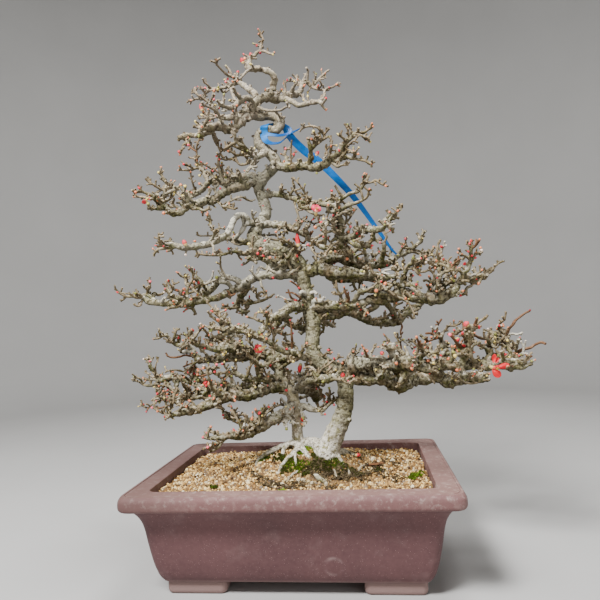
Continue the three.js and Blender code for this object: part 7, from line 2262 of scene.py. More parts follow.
def lathe_mesh(name: str, outline: list[tuple[float, float]], sides: int, pinch: float) -> Mesh:
    """A closed turned shape of unit length, whose points hold how far along they are.

    Args:
        name: The mesh's name.
        outline: Radius and height from the bottom to the top.
        sides: How many faces go round.
        pinch: How deep every second edge is drawn in, as for overlapping petals.

    Returns:
        The mesh.
    """
    rings: list[list[Vector]] = []
    for radius, height in outline:
        ring = []
        for k in range(sides):
            angle = math.tau * k / sides + height * 0.8
            r = radius * (1 - pinch * (k % 2) * min(1.0, height * 2))
            ring.append(Vector((r * math.cos(angle), r * math.sin(angle), height)))
        rings.append(ring)
    return loft(name, rings, along=[height for _, height in outline])


def loft(name: str, rings: list[list[Vector]], along: list[float] | None = None) -> Mesh:
    """Joins rings of points into a closed skin with flat ends."""
    count = len(rings[0])
    points = [point for ring in rings for point in ring]
    faces: list[tuple[int, ...]] = []
    for i in range(len(rings) - 1):
        for k in range(count):
            after = (k + 1) % count
            faces.append((i * count + k, i * count + after, (i + 1) * count + after, (i + 1) * count + k))
    faces.append(tuple(reversed(range(count))))
    faces.append(tuple(range((len(rings) - 1) * count, len(rings) * count)))
    mesh = bpy.data.meshes.new(name)
    mesh.from_pydata(points, [], faces)
    if along is not None:
        store(mesh, "along", [value for value in along for _ in range(count)])
    shade_smooth(mesh)
    return mesh


def thick_sheet(name: str, near: list[Vector], far: list[Vector], wide: int, along: list[float]) -> Mesh:
    """A closed sheet between two skins.

    Args:
        name: The mesh's name.
        near: One skin's points, row by row.
        far: The other skin's points in the same order.
        wide: How many points a row has.
        along: How far along the sheet each row lies.

    Returns:
        The mesh, whose points hold how far along they are.
    """
    count = len(near)
    steps = count // wide
    faces = []
    for i in range(steps - 1):
        for j in range(wide - 1):
            a = i * wide + j
            faces.append((a, a + wide, a + wide + 1, a + 1))
            faces.append((count + a, count + a + 1, count + a + wide + 1, count + a + wide))
    rim = [*range(wide), *(i * wide + wide - 1 for i in range(1, steps))]
    rim += [(steps - 1) * wide + j for j in range(wide - 2, -1, -1)]
    rim += [i * wide for i in range(steps - 2, 0, -1)]
    for a, b in zip(rim, rim[1:] + rim[:1]):
        faces.append((a, b, count + b, count + a))
    mesh = bpy.data.meshes.new(name)
    mesh.from_pydata([*near, *far], [], faces)
    store(mesh, "along", [value for value in along for _ in range(wide)] * 2)
    made = bmesh.new()
    made.from_mesh(mesh)
    bmesh.ops.recalc_face_normals(made, faces=made.faces)
    made.to_mesh(mesh)
    made.free()
    shade_smooth(mesh)
    return mesh


def smooth_line(points: Sequence[Sequence[float]], steps: int) -> list[tuple[float, ...]]:
    """A rounded line through the points, with a number of steps between each two."""
    line = []
    padded = [points[0], *points, points[-1]]
    for a, b, c, d in zip(padded, padded[1:], padded[2:], padded[3:]):
        for k in range(steps):
            line.append(tuple(between(*four, k / steps) for four in zip(a, b, c, d)))
    line.append(tuple(points[-1]))
    return line


def between(p: float, q: float, r: float, s: float, t: float) -> float:
    """A value a share t of the way from q to r, on a smooth run through all four."""
    return 0.5 * (2 * q + (r - p) * t + (2 * p - 5 * q + 4 * r - s) * t * t + (3 * q - p - 3 * r + s) * t**3)


def merge_meshes(name: str, meshes: list[Mesh]) -> Mesh:
    """Joins meshes into one, keeping their stored values."""
    joined = bmesh.new()
    for mesh in meshes:
        joined.from_mesh(mesh)
    result = bpy.data.meshes.new(name)
    joined.to_mesh(result)
    joined.free()
    return result


def round_step(angle: float) -> Vector:
    """A level step of length one in the direction of an angle."""
    return Vector((math.cos(angle), math.sin(angle), 0))


def rounded(half_x: float, half_y: float, corner: float, steps: int) -> list[Vector]:
    """The corners of a rounded rectangle, round its middle."""
    points: list[Vector] = []
    for quarter, (sx, sy) in enumerate(((1, -1), (1, 1), (-1, 1), (-1, -1))):
        centre = Vector((sx * (half_x - corner), sy * (half_y - corner), 0))
        for k in range(steps + 1):
            angle = -math.pi / 2 + (quarter + k / steps) * math.pi / 2
            points.append(centre + round_step(angle) * corner)
    return points


@dataclass
class Pot:
    """The rectangular clay pot with its lip and four feet."""

    length: float = 354.6
    depth: float = 270.0
    corner: float = 11.5
    foot_length: float = 65.0
    foot_depth: float = 34.0
    foot_inset: float = 39.4
    foot_corner: float = 6.0
    drain_radius: float = 11.0
    drain_spread: float = 78.0
    uneven: float = 0.35
    crease: float = 42.0
    finish: Finish = ClayFinish()

    def ring(self, inset: float, height: float) -> list[Vector]:
        """One level of the wall, as a rounded rectangle, slightly uneven as thrown by hand."""
        half_x = self.length / 2
        half_y = self.depth / 2
        points = rounded(half_x, half_y, self.corner, 8)
        full: list[Vector] = []
        for a, b in zip(points, points[1:] + points[:1]):
            parts = max(1, round((b - a).length / 9))
            full.extend(a.lerp(b, k / parts) for k in range(parts))
        shaped = []
        for point in full:
            place = Vector((point.x * (1 - inset / half_x), point.y * (1 - inset / half_y), height))
            drawn_in = self.uneven * (1 + noise.noise(place * 0.012))
            shaped.append(place * (1 - drawn_in / self.length) if inset < 30 else place)
            shaped[-1].z = height + (0.25 * noise.noise(place * 0.02) - 0.25 if height > 100 else 0)
        return shaped

    def outline(self) -> list[tuple[float, float]]:
        """The wall's section, up the outside, over the lip with its scored line, and down the inside."""
        outside = smooth_line(POT_OUTSIDE[:-6], 5)[:-1]
        lip = smooth_line(POT_OUTSIDE[-6:], 4)
        scored = [(5.2, 112.7), (5.5, 112.1), (6.1, 112.0), (6.4, 112.6), (15.0, 112.7)]
        inner_edge = [(24.3, 112.7), (25.5, 112.2), (26.0, 110.7)]
        inside = smooth_line([*inner_edge, *reversed(POT_INSIDE[:-2])], 3)
        return outside + lip + scored + inside

    def build(self) -> None:
        """Makes the pot as one piece."""
        rings = [[to_frame(point) for point in self.ring(inset, height)] for inset, height in self.outline()]
        holder = in_scene("pot_wall", loft("pot_wall", rings))
        drills = [self.drill(side) for side in (-1, 1)]
        for drill in drills:
            cut = holder.modifiers.new("drain", "BOOLEAN")
            cut.operation = "DIFFERENCE"
            cut.object = drill
        wall = evaluated(holder, "pot_drilled", keep=False)
        for drill in drills:
            bpy.data.objects.remove(drill)
        feet = [self.foot(sx, sy) for sx in (-1, 1) for sy in (-1, 1)]
        whole = merge_meshes("clay_pot", [wall, *feet])
        shade_smooth(whole)
        whole.set_sharp_from_angle(angle=math.radians(self.crease))
        add_piece("clay_pot", whole, ("pot",), self.finish.build())

    def drill(self, side: int) -> Object:
        """The cutter for one drain hole."""
        rings = []
        for height in (5, 40):
            centre = Vector((side * self.drain_spread, 0, height))
            rings.append([to_frame(centre + round_step(a) * self.drain_radius) for a in turns(40)])
        return in_scene("drill", loft("drill", rings))

    def foot(self, side_x: int, side_y: int) -> Mesh:
        """One foot, a low block with rounded edges."""
        centre_x = side_x * (self.length / 2 - self.foot_inset - self.foot_length / 2)
        centre_y = side_y * (self.depth / 2 - self.foot_inset - self.foot_depth / 2)
        section = ((5, 0), (3, 0.1), (1.4, 0.8), (0.5, 2.2), (0, 4.5), (0, 12), (0.8, 15.5), (3, 18))
        rings = []
        for inset, height in section:
            half_x = self.foot_length / 2 - inset
            half_y = self.foot_depth / 2 - inset
            centre = Vector((centre_x, centre_y, height))
            corners = rounded(half_x, half_y, self.foot_corner, 6)
            rings.append([to_frame(centre + corner) for corner in corners])
        return loft("foot", rings)


@dataclass
class Soil:
    """The bed of granules with its mound, moss and litter."""

    half_x: float = 149.6
    half_y: float = 107.2
    cell: float = 2.6
    corner: float = 11.0
    floor: float = 30.0
    narrowing: tuple[float, float] = (0.905, 0.87)
    sunk: float = 1.3
    seed: int = 3

    def height(self, x: float, y: float) -> float:
        """The bed's surface a little below the level of the grains' tops, with its own unevenness."""
        wide = noise.noise(Vector((x * 0.05, y * 0.05, 4.0))) * 1.1
        fine = noise.noise(Vector((x * 0.2, y * 0.2, 9.0))) * 0.5
        return soil_height(x, y) - self.sunk + (wide + fine)

    def inside(self, x: float, y: float) -> bool:
        """Whether a place lies within the rounded inner walls."""
        dx = max(0.0, abs(x) - (self.half_x - self.corner))
        dy = max(0.0, abs(y) - (self.half_y - self.corner))
        return math.hypot(dx, dy) <= self.corner

    def bed(self) -> tuple[Mesh, Mesh]:
        """The bed's top as a fine grid, and the closed block under it."""
        columns = round(2 * self.half_x / self.cell)
        rows = round(2 * self.half_y / self.cell)
        made = bmesh.new()
        grid: dict[tuple[int, int], bmesh.types.BMVert] = {}
        for i in range(columns + 1):
            for j in range(rows + 1):
                x = -self.half_x + 2 * self.half_x * i / columns
                y = -self.half_y + 2 * self.half_y * j / rows
                if self.inside(x, y):
                    grid[i, j] = made.verts.new(to_frame(Vector((x, y, self.height(x, y)))))
        for i in range(columns):
            for j in range(rows):
                corners = [grid.get(key) for key in ((i, j), (i + 1, j), (i + 1, j + 1), (i, j + 1))]
                present = [corner for corner in corners if corner is not None]
                if len(present) > 2:
                    made.faces.new(present)
        mesh = bpy.data.meshes.new("soil_top")
        made.to_mesh(mesh)
        skirt = bmesh.ops.extrude_edge_only(made, edges=[e for e in made.edges if e.is_boundary])["geom"]
        middle = to_frame(Vector((0, 0, 0)))
        for vert in (item for item in skirt if isinstance(item, bmesh.types.BMVert)):
            vert.co.z = self.floor * MM
            vert.co.x = middle.x + (vert.co.x - middle.x) * self.narrowing[0]
            vert.co.y = middle.y + (vert.co.y - middle.y) * self.narrowing[1]
        bmesh.ops.holes_fill(made, edges=[e for e in made.edges if e.is_boundary], sides=0)
        bmesh.ops.recalc_face_normals(made, faces=made.faces)
        block = bpy.data.meshes.new("soil_bed")
        made.to_mesh(block)
        made.free()
        shade_smooth(block)
        return mesh, block

    def grain_shapes(self) -> list[Mesh]:
        """A few angular crumbs."""
        stream = RandomStream(self.seed * 17)
        shapes = []
        for i in range(6):
            made = bmesh.new()
            bmesh.ops.create_icosphere(made, subdivisions=1, radius=1.0)
            stretch = Vector((stream.spread(0.8, 1.25), stream.spread(0.7, 1.1), stream.spread(0.6, 0.95)))
            for vert in made.verts:
                vert.co *= stream.spread(0.8, 1.15)
                vert.co = vert.co * stretch
            mesh = bpy.data.meshes.new(f"crumb_{i}")
            made.to_mesh(mesh)
            made.free()
            shapes.append(mesh)
        return shapes

    def moss_shapes(self) -> list[Mesh]:
        """A few tufts of short leaves."""
        stream = RandomStream(self.seed * 29)
        shapes = []
        for i in range(4):
            points: list[Vector] = []
            faces: list[tuple[int, ...]] = []
            for _ in range(5):
                lean = Vector((stream.next() - 0.5, stream.next() - 0.5, 0.5)).normalized()
                side = lean.orthogonal().normalized() * 0.26
                a = len(points)
                root = Vector((stream.spread(-0.5, 0.5), stream.spread(-0.5, 0.5), -0.3))
                top = root + lean * stream.spread(1.1, 1.9)
                points += [root - side, root + side, root + side.cross(lean), top]
                faces += [(a, a + 1, a + 3), (a + 1, a + 2, a + 3), (a + 2, a, a + 3), (a, a + 2, a + 1)]
            mesh = bpy.data.meshes.new(f"tuft_{i}")
            mesh.from_pydata(points, [], faces)
            shapes.append(mesh)
        return shapes

    def litter_shapes(self) -> list[Mesh]:
        """A bent bit of twig, a flake of bark and a splinter."""
        bits = []
        for i, (width, height) in enumerate(((0.22, 0.22), (0.75, 0.12), (0.3, 0.14))):
            rings = []
            for share, size in ((-1.0, 0.5), (-0.2, 1.0), (0.4, 0.85), (1.0, 0.35)):
                bend = 0.35 * share * share * (i - 1)
                x, z = width * size, height * size
                section = ((-x, -z), (x, -z), (x, z), (-x, z))
                rings.append([Vector((a, share * 1.4, b + bend)) for a, b in section])
            bits.append(loft(f"bit_{i}", rings))
        return bits

    def build(self) -> None:
        """Makes the bed, its grains, its stones, its litter and its moss."""
        top, bed = self.bed()
        add_piece("soil_bed", bed, ("soil",), SoilFinish().build())
        baked = GrainFinish().build()
        crumbs = shapes_collection("crumbs", self.grain_shapes())
        sizes = {"Spacing": 0.0027, "Small": 0.0011, "Large": 0.0028}
        values = {"Shapes": crumbs, **sizes, "Seed": self.seed, "Material": baked}
        add_piece("soil_grains", run_tree(top, Trees.scatter_grains(), values, "soil_grains"))
        discard(crumbs)
        stream = RandomStream(self.seed * 101)
        stones = []
        for x, y, size, tint in STONES:
            stones.append((Vector((x, y, self.height(x, y) + size * 0.5)), size, tint))
        self.scatter("soil_stones", self.grain_shapes(), stones, 1.2, stream, baked)
        bits = []
        for x, y, radius, count in LITTER:
            for _ in range(int(count)):
                bits.append((self.within(x, y, radius, 2.1, stream), stream.spread(0.8, 2.3), 0.5))
        dark = PlainFinish("soil_litter", 0.95, 0.1, srgb(34, 27, 18), srgb(104, 90, 66), 220.0)
        self.scatter("soil_litter", self.litter_shapes(), bits, 1.6, stream, dark.build())
        tufts = []
        for x, y, radius, tint in MOSS:
            for _ in range(int(radius * radius * 2.2)):
                shade = min(1.0, max(0.0, tint + stream.spread(-0.3, 0.25)))
                tufts.append((self.within(x, y, radius, 1.5, stream), stream.spread(0.8, 1.6), shade))
        self.scatter("moss", self.moss_shapes(), tufts, 0.7, stream, MossFinish().build())

    def within(self, x: float, y: float, radius: float, lift: float, stream: RandomStream) -> Vector:
        """A chance place in a ragged patch, thicker towards its middle.

        Args:
            x: The middle of the patch along the pot.
            y: The middle of the patch across the pot.
            radius: About how far the patch reaches.
            lift: How high above the bed the place is.
            stream: Where the chance comes from.

        Returns:
            The place.
        """
        angle = stream.spread(0, math.tau)
        ragged = 0.75 + 0.6 * noise.noise(Vector((math.cos(angle), math.sin(angle), x)))
        reach = radius * stream.next() ** 0.6 * ragged
        px = x + math.cos(angle) * reach * 1.1
        py = y + math.sin(angle) * reach * 1.35
        return Vector((px, py, self.height(px, py) + lift))

    def scatter(
        self,
        name: str,
        shapes: list[Mesh],
        spots: list[tuple],
        tumble: float,
        stream: RandomStream,
        material: Material,
    ) -> None:
        """Makes one piece of copies of a few shapes.

        Args:
            name: The piece's name.
            shapes: The shapes to copy.
            spots: Place, size and tint of each copy.
            tumble: How far a copy may tip over.
            stream: Where the chance comes from.
            material: The finish of all copies.
        """
        seats = []
        for place, size, tint in spots:
            axis = (Vector((0, 0, 1)) + stream.direction(0.0) * tumble).normalized()
            seats.append(Seat(place, axis, size, size, tint))
        add_piece(name, seat_shapes(name, shapes, seats, SOIL_TURNS, material))


class Region(Enum):
    """The pieces into which the fused wood is parted."""

    STEMS = "stems"
    LEFT = "limbs_left"
    RIGHT = "limbs_right"
    UPPER = "limbs_upper"
    CROWN = "limbs_crown"


@dataclass
class Wood:
    """Stems, limbs, twigs and roots, swept, fused and given their bark."""

    skeleton: Skeleton
    growth: FineGrowth
    thin: float = 1.7
    extra: float = 0.7
    gain: float = 1.26
    voxel: float = 0.95
    stem_voxel: float = 1.15
    kept: float = 0.37
    crown_from: float = 500.0
    upper_from: float = 345.0
    middle: float = 8.0

    def build(self) -> None:
        """Makes the fused old wood in a few regions, and the thin wood beside it."""
        bark = BarkFinish().build()
        regions: dict[Region, list[Way]] = {region: [] for region in Region}
        regions[Region.STEMS] = self.skeleton.wood[:2] + self.skeleton.roots
        thin: list[Way] = []
        for way in self.skeleton.wood[2:] + self.skeleton.sprays:
            thick, rest = self.parted(way)
            if thick:
                regions[self.region_of(thick)].append(thick)
            if rest:
                thin.append(rest)
        for way in self.growth.knobs:
            regions[self.region_of(way)].append(way)
        for region, ways in regions.items():
            self.fuse(region, ways, bark)
        self.sweep("twigs_read", thin + self.skeleton.stalks, bark, 7, 1.9)
        self.sweep("branchlets", self.growth.branchlets, bark, 6, 2.2)
        half = len(self.growth.spurs) // 2
        self.sweep("spurs_low", self.growth.spurs[:half], bark, 5, 2.3)
        self.sweep("spurs_high", self.growth.spurs[half:], bark, 5, 2.3)

    def parted(self, way: Way) -> tuple[Way | None, Way | None]:
        """Parts a way where it grows too thin to be fused."""
        count = next((i for i, spot in enumerate(way.spots) if spot.radius < self.thin), len(way.spots))
        thick = Way(way.spots[:count], way.kind) if count > 1 else None
        rest = Way(way.spots[max(0, count - 2) :], way.kind) if count < len(way.spots) else None
        return thick, rest

    def region_of(self, way: Way) -> Region:
        """The piece that a limb or knob is fused into, by where it starts."""
        start = way.spots[0].point
        if start.z > self.crown_from:
            return Region.CROWN
        if start.z > self.upper_from:
            return Region.UPPER
        return Region.LEFT if start.x < self.middle else Region.RIGHT

    def fuse(self, region: Region, ways: list[Way], bark: Material) -> None:
        """Sweeps the ways, melts them into one skin and raises the bark on it."""
        name = region.value
        stems = region is Region.STEMS
        values = {
            "Step": 1.6 * MM,
            "Sides": 14 if stems else 10,
            "Wobble": 0.002,
            "Knuckles": 0.35 if stems else 1.1,
            "Gain": 1.0 if stems else self.gain,
            "Extra": self.extra * MM,
            "Material": bark,
        }
        swept = run_tree(strands(name, ways), Trees.limb_sweep(), values, name + "_swept")
        holder = in_scene(name, swept)
        melt = holder.modifiers.new("melt", "REMESH")
        melt.mode = "VOXEL"
        melt.voxel_size = (self.stem_voxel if stems else self.voxel) * MM
        settle = holder.modifiers.new("settle", "SMOOTH")
        settle.factor = 0.5
        settle.iterations = 2
        skin = evaluated(holder, name + "_skin", keep=False)
        self.store_age(skin, ways)
        lumps, ridges = (1.2, 0.55) if stems else (2.3, 1.3)
        relief = {"Lumps": lumps * MM, "Ridges": ridges * MM, "Material": bark}
        raised = run_tree(skin, Trees.bark_relief(), relief, name + "_raised")
        add_piece(name, self.thinned(raised, name), ("tree",) if stems else (), bark)

    def thinned(self, mesh: Mesh, name: str) -> Mesh:
        """The same skin with fewer faces where it is even."""
        holder = in_scene(name + "_fine", mesh)
        holder.modifiers.new("fewer", "DECIMATE").ratio = self.kept
        return evaluated(holder, name)

    def store_age(self, mesh: Mesh, ways: list[Way]) -> None:
        """Stores on each point of the skin the radius and age of the wood under it."""
        spots = []
        for way in ways:
            for spot in way.spots:
                spots.append((to_frame(spot.point), spot.radius * MM, wood_age(way.kind, spot.point)))
        tree = KDTree(len(spots))
        for i, (place, _, _) in enumerate(spots):
            tree.insert(place, i)
        tree.balance()
        under = [spots[tree.find(vert.co)[1]] for vert in mesh.vertices]
        store(mesh, "limb_radius", [radius for _, radius, _ in under])
        store(mesh, "limb_kind", [kind for _, _, kind in under])

    def sweep(self, name: str, ways: list[Way], bark: Material, sides: int, step: float) -> None:
        """Sweeps thin wood that stays as separate rounds sunk into what carries it.

        Args:
            name: The piece's name.
            ways: The lines to follow.
            bark: The finish.
            sides: How many faces go round.
            step: How far apart the rings are, in millimetres.
        """
        values = {
            "Step": step * MM,
            "Sides": sides,
            "Wobble": 0.0012,
            "Knuckles": 1.1,
            "Extra": 0.3 * MM,
            "Material": bark,
        }
        mesh = run_tree(strands(name, ways), Trees.limb_sweep(), values, name)
        store(mesh, "relief", [THIN_RELIEF] * len(mesh.vertices))
        add_piece(name, mesh)


@dataclass
class SmallBuds:
    """The many small buds, those seen in the picture and those that end the spurs."""

    skeleton: Skeleton
    growth: FineGrowth
    seed: int = 77
    share: float = 0.17

    def shapes(self) -> list[Mesh]:
        """Three bud forms: plump, pointed and just opening."""
        plump = [(0.4, -0.2), (0.92, 0.3), (0.95, 0.75), (0.25, 1.4)]
        pointed = [(0.35, -0.2), (0.8, 0.35), (0.66, 1.0), (0.1, 1.8)]
        opening = [(0.35, -0.2), (0.85, 0.3), (1.05, 0.9), (0.4, 1.15)]
        return [
            lathe_mesh("bud_plump", plump, 6, 0.08),
            lathe_mesh("bud_pointed", pointed, 5, 0.0),
            lathe_mesh("bud_opening", opening, 7, 0.1),
        ]

    def build(self) -> None:
        """Places every bud and sets a stalk under those that stand off the wood."""
        stream = RandomStream(self.seed)
        seats: list[Seat] = []
        for tint, buds in SMALL_BUDS.items():
            for x, height, radius in buds:
                host = self.skeleton.nearest(x, height, 0.1)
                forward = host.radius + radius * 0.4 if host.gap < host.radius + radius else 1.0
                place = seen(x, height, host.depth - forward)
                seat = seen(host.sheet[0], host.sheet[1], host.depth)
                axis = place - seat
                if axis.length < 0.5:
                    axis = Vector((0, -1, 0.5))
                axis.normalize()
                axis = (axis + Vector((0, -0.2, 0.35))).normalized()
                self.skeleton.stalks.append(Way([Spot(seat, 0.9), Spot(place, 0.8)]))
                high = radius * stream.spread(0.95, 1.25)
                seats.append(Seat(place - axis * radius * 0.6, axis, radius, high, tint.value))
        for point, axis, radius in self.growth.tips:
            if stream.next() > self.share:
                continue
            size = max(radius, 0.8) * stream.spread(1.05, 1.6)
            high = size * stream.spread(1.0, 1.5)
            seats.append(Seat(point - axis * 0.3, axis, size, high, self.tip_tint(stream.next()).value))
        whole = seat_shapes("small_buds", self.shapes(), seats, BUD_TURNS, BudFinish().build())
        add_piece("small_buds", whole)

    def tip_tint(self, chance: float) -> Tint:
        """The colour of a bud at the end of a spur; most are still closed and brownish."""
        if chance < 0.5:
            return Tint.ORANGE
        if chance < 0.68:
            return Tint.YELLOW
        if chance < 0.8:
            return Tint.GREEN
        return Tint.RED if chance < 0.97 else Tint.PALE


PINK_BUDS = {
    "bud_right_high",
    "bud_left_tall",
    "bud_pink_side",
    "bud_crown_left",
    "bud_upper_right",
    "bud_second_left",
}


@dataclass
class LargeBuds:
    """The swollen flower buds, with their calyx and overlapping petals, each in its solid's place."""

    skeleton: Skeleton
    sides: int = 20

    def build(self) -> None:
        """Makes one piece for each bud."""
        red = PetalFinish(name="bud_petal", edge=srgb(196, 26, 40), heart=srgb(226, 96, 88)).build()
        pink = PetalFinish(name="bud_petal_pink", edge=srgb(214, 64, 76), heart=srgb(234, 150, 110)).build()
        for blossom in self.skeleton.blossoms:
            if blossom.name.startswith("flower"):
                continue
            material = pink if blossom.name in PINK_BUDS else red
            add_piece(blossom.name + "_petals", self.bud(blossom), (blossom.name,), material)

    def bud(self, blossom: Blossom) -> Mesh:
        """An egg of spiralled petals between its base and tip."""
        axis = blossom.tip - blossom.base
        length = axis.length
        turn = Vector((0, 0, 1)).rotation_difference(axis.normalized())
        lower = [(0.26, 0.0), (0.6, 0.06), (0.74, 0.16), (0.78, 0.27), (0.95, 0.42)]
        upper = [(0.97, 0.55), (0.84, 0.7), (0.6, 0.84), (0.3, 0.95), (0.08, 1.0)]
        outline = smooth_line(lower + upper, 2)
        rings = []
        for radius, height in outline:
            ring = []
            for k in range(self.sides):
                angle = math.tau * k / self.sides + height * 1.5
                seam = (0.5 + 0.5 * math.sin(3 * angle + 2.4 * height)) ** 4 * min(1.0, height * 2.5)
                r = radius * blossom.size * (1 - 0.16 * seam)
                local = Vector((r * math.cos(angle), r * math.sin(angle), height * length))
                ring.append(to_frame(blossom.base + turn @ local))
            rings.append(ring)
        return loft(blossom.name, rings, along=[height for _, height in outline])


@dataclass
class Flowers:
    """The three open flowers: petals set as the picture shows them, a calyx and stamens."""

    skeleton: Skeleton
    steps: int = 10
    wide: int = 9
    threads: int = 12

    def build(self) -> None:
        """Makes petals and stamens for each open flower."""
        red = PetalFinish(name="flower_petal_red", edge=srgb(206, 20, 30), heart=srgb(226, 84, 80))
        pink = PetalFinish(name="flower_petal_pink", edge=srgb(224, 48, 84), heart=srgb(244, 170, 150))
        mixed = PetalFinish(name="flower_petal_mixed", edge=srgb(222, 44, 66), heart=srgb(246, 226, 168))
        gold = PlainFinish("stamen", dark=srgb(196, 160, 60), light=srgb(232, 206, 110), scale=900.0).build()
        finishes = {"flower_right": red.build(), "flower_top": pink.build(), "flower_left": mixed.build()}
        for blossom in self.skeleton.blossoms:
            if blossom.name not in PETALS:
                continue
            depth = blossom.base.y - 3
            petals = [self.petal(depth, *shape) for shape in PETALS[blossom.name]]
            whole = merge_meshes(blossom.name, [self.calyx(blossom), *petals])
            shade_smooth(whole)
            add_piece(blossom.name + "_petals", whole, (blossom.name,), finishes[blossom.name])
            threads = [self.stamen(blossom, k) for k in range(self.threads)]
            add_piece(blossom.name + "_stamens", merge_meshes("stamens", threads), (), gold)

    def petal(
        self, depth: float, root: Sequence[float], tip: Sequence[float], width: float, forward: float
    ) -> Mesh:
        """One cupped petal; those that come forward show their backs, the others their hollows.

        Args:
            depth: How deep the flower's heart lies.
            root: Where the petal springs, on the sheet.
            tip: Where it ends, on the sheet.
            width: How wide it is.
            forward: How far its tip comes towards the viewer.

        Returns:
            The petal's mesh.
        """
        start = seen(root[0], root[1], depth)
        way = seen(tip[0], tip[1], depth - forward) - start
        ahead = way.normalized()
        face = Vector((0, -1, 0.15))
        face = (face - ahead * face.dot(ahead)).normalized()
        side = ahead.cross(face)
        bulge = width * (0.3 if forward > 0 else -0.3)
        shares = [i / (self.steps - 1) for i in range(self.steps)]
        near: list[Vector] = []
        far: list[Vector] = []
        for share in shares:
            half = width / 2 * math.sin(math.pi * (0.07 + 0.84 * share)) ** 0.75 * (0.62 + 0.5 * share)
            for j in range(self.wide):
                across = j / (self.wide - 1) * 2 - 1
                notch = 0.05 * (1 - abs(across)) * share**6
                frill = 0.035 * width * math.sin(8 * across + root[0]) * share * share
                hollow = (1 - across * across) * math.sin(math.pi * min(1.0, share + 0.12))
                rise = bulge * (hollow + 0.1) + frill
                place = start + way * (share * (1 - 0.08 * across * across) - notch) + side * across * half
                near.append(to_frame(place + face * (rise + 0.14)))
                far.append(to_frame(place + face * (rise - 0.14)))
        return thick_sheet("petal", near, far, self.wide, [0.34 + 0.66 * share for share in shares])

    def calyx(self, blossom: Blossom) -> Mesh:
        """The cup that holds the petals."""
        way = blossom.tip - blossom.base
        turn = Vector((0, 0, 1)).rotation_difference(way.normalized())
        outline = smooth_line([(0.9, 0.0), (1.5, 0.15), (1.9, 0.4), (1.8, 0.7), (2.3, 0.95), (1.2, 1.05)], 3)
        rings = []
        for radius, height in outline:
            level = Vector((0, 0, height * way.length))
            ring = [level + round_step(angle) * radius for angle in turns(14)]
            rings.append([to_frame(blossom.base + turn @ point) for point in ring])
        return loft("calyx", rings, along=[height * 0.3 for _, height in outline])

    def stamen(self, blossom: Blossom, index: int) -> Mesh:
        """One thread with a small head."""
        turn = Vector((0, 0, 1)).rotation_difference((blossom.tip - blossom.base).normalized())
        angle = math.tau * index / self.threads
        lean = 0.9 + 0.5 * (index % 3)
        outward = round_step(angle)
        foot = blossom.tip + turn @ (outward * 0.5)
        head = blossom.tip + turn @ (outward * lean + Vector((0, 0, 3.6 + 0.4 * (index % 2))))
        rings = []
        for share, radius in ((0, 0.13), (0.8, 0.11), (0.84, 0.3), (0.95, 0.34), (1.0, 0.12)):
            centre = foot.lerp(head, share)
            rings.append([to_frame(centre + turn @ round_step(a) * radius) for a in (0, 1.57, 3.14, 4.71)])
        return loft("stamen", rings)


@dataclass
class Label:
    """The blue tie-on label: a strap, its bend over the limb and two thin legs that hold the limb."""

    thickness: float = 0.9
    crease: float = 50.0
    finish: Finish = LabelFinish()

    def build(self) -> None:
        """Makes the strap, the bend and the legs as one piece."""
        first = (Vector((0.8, 0.1, 0.6)), Vector((0.7, 0.5, 0.7)))
        second = (Vector((0.7, 0.5, 0.7)), Vector((1, 0, 0)))
        flat = Vector((0, 0.75, 0.65))
        straps = [
            self.strap(LABEL_TAIL, first),
            self.strap(LABEL_BEND, second),
            self.strap(LABEL_LOWER_LEG, (Vector((1, 0, 0.2)), flat)),
            self.strap(LABEL_UPPER_LEG, (Vector((0.3, 0, 1)), flat)),
        ]
        whole = merge_meshes("tie_label", straps)
        shade_smooth(whole)
        whole.set_sharp_from_angle(angle=math.radians(self.crease))
        add_piece("tie_label", whole, ("label",), self.finish.build())

    def strap(self, points: Points, turn: tuple[Vector, Vector]) -> Mesh:
        """A thin strap along a smooth line, its width turned from one direction to another."""
        line = smooth_line(points, 6)
        spine = [seen(x, height, depth) for x, height, depth, _ in line]
        section = [(-0.5, 0.0), (-0.46, 0.5), (-0.4, 0.5), (0.4, 0.5)]
        section += [(0.46, 0.5), (0.5, 0.0), (0.46, -0.5), (-0.46, -0.5)]
        edges = [1.0, 1.0, 0.0, 0.0, 1.0, 1.0, 0.3, 0.3]
        rings = []
        for i, place in enumerate(spine):
            along = (spine[min(i + 1, len(spine) - 1)] - spine[max(i - 1, 0)]).normalized()
            wide = turn[0].lerp(turn[1], i / (len(spine) - 1))
            wide = (wide - along * wide.dot(along)).normalized()
            thick = along.cross(wide)
            wide, thick = wide * line[i][3], thick * self.thickness
            rings.append([to_frame(place + wide * a + thick * b) for a, b in section])
        mesh = loft("strap", rings)
        store(mesh, "edge", edges * len(rings))
        return mesh


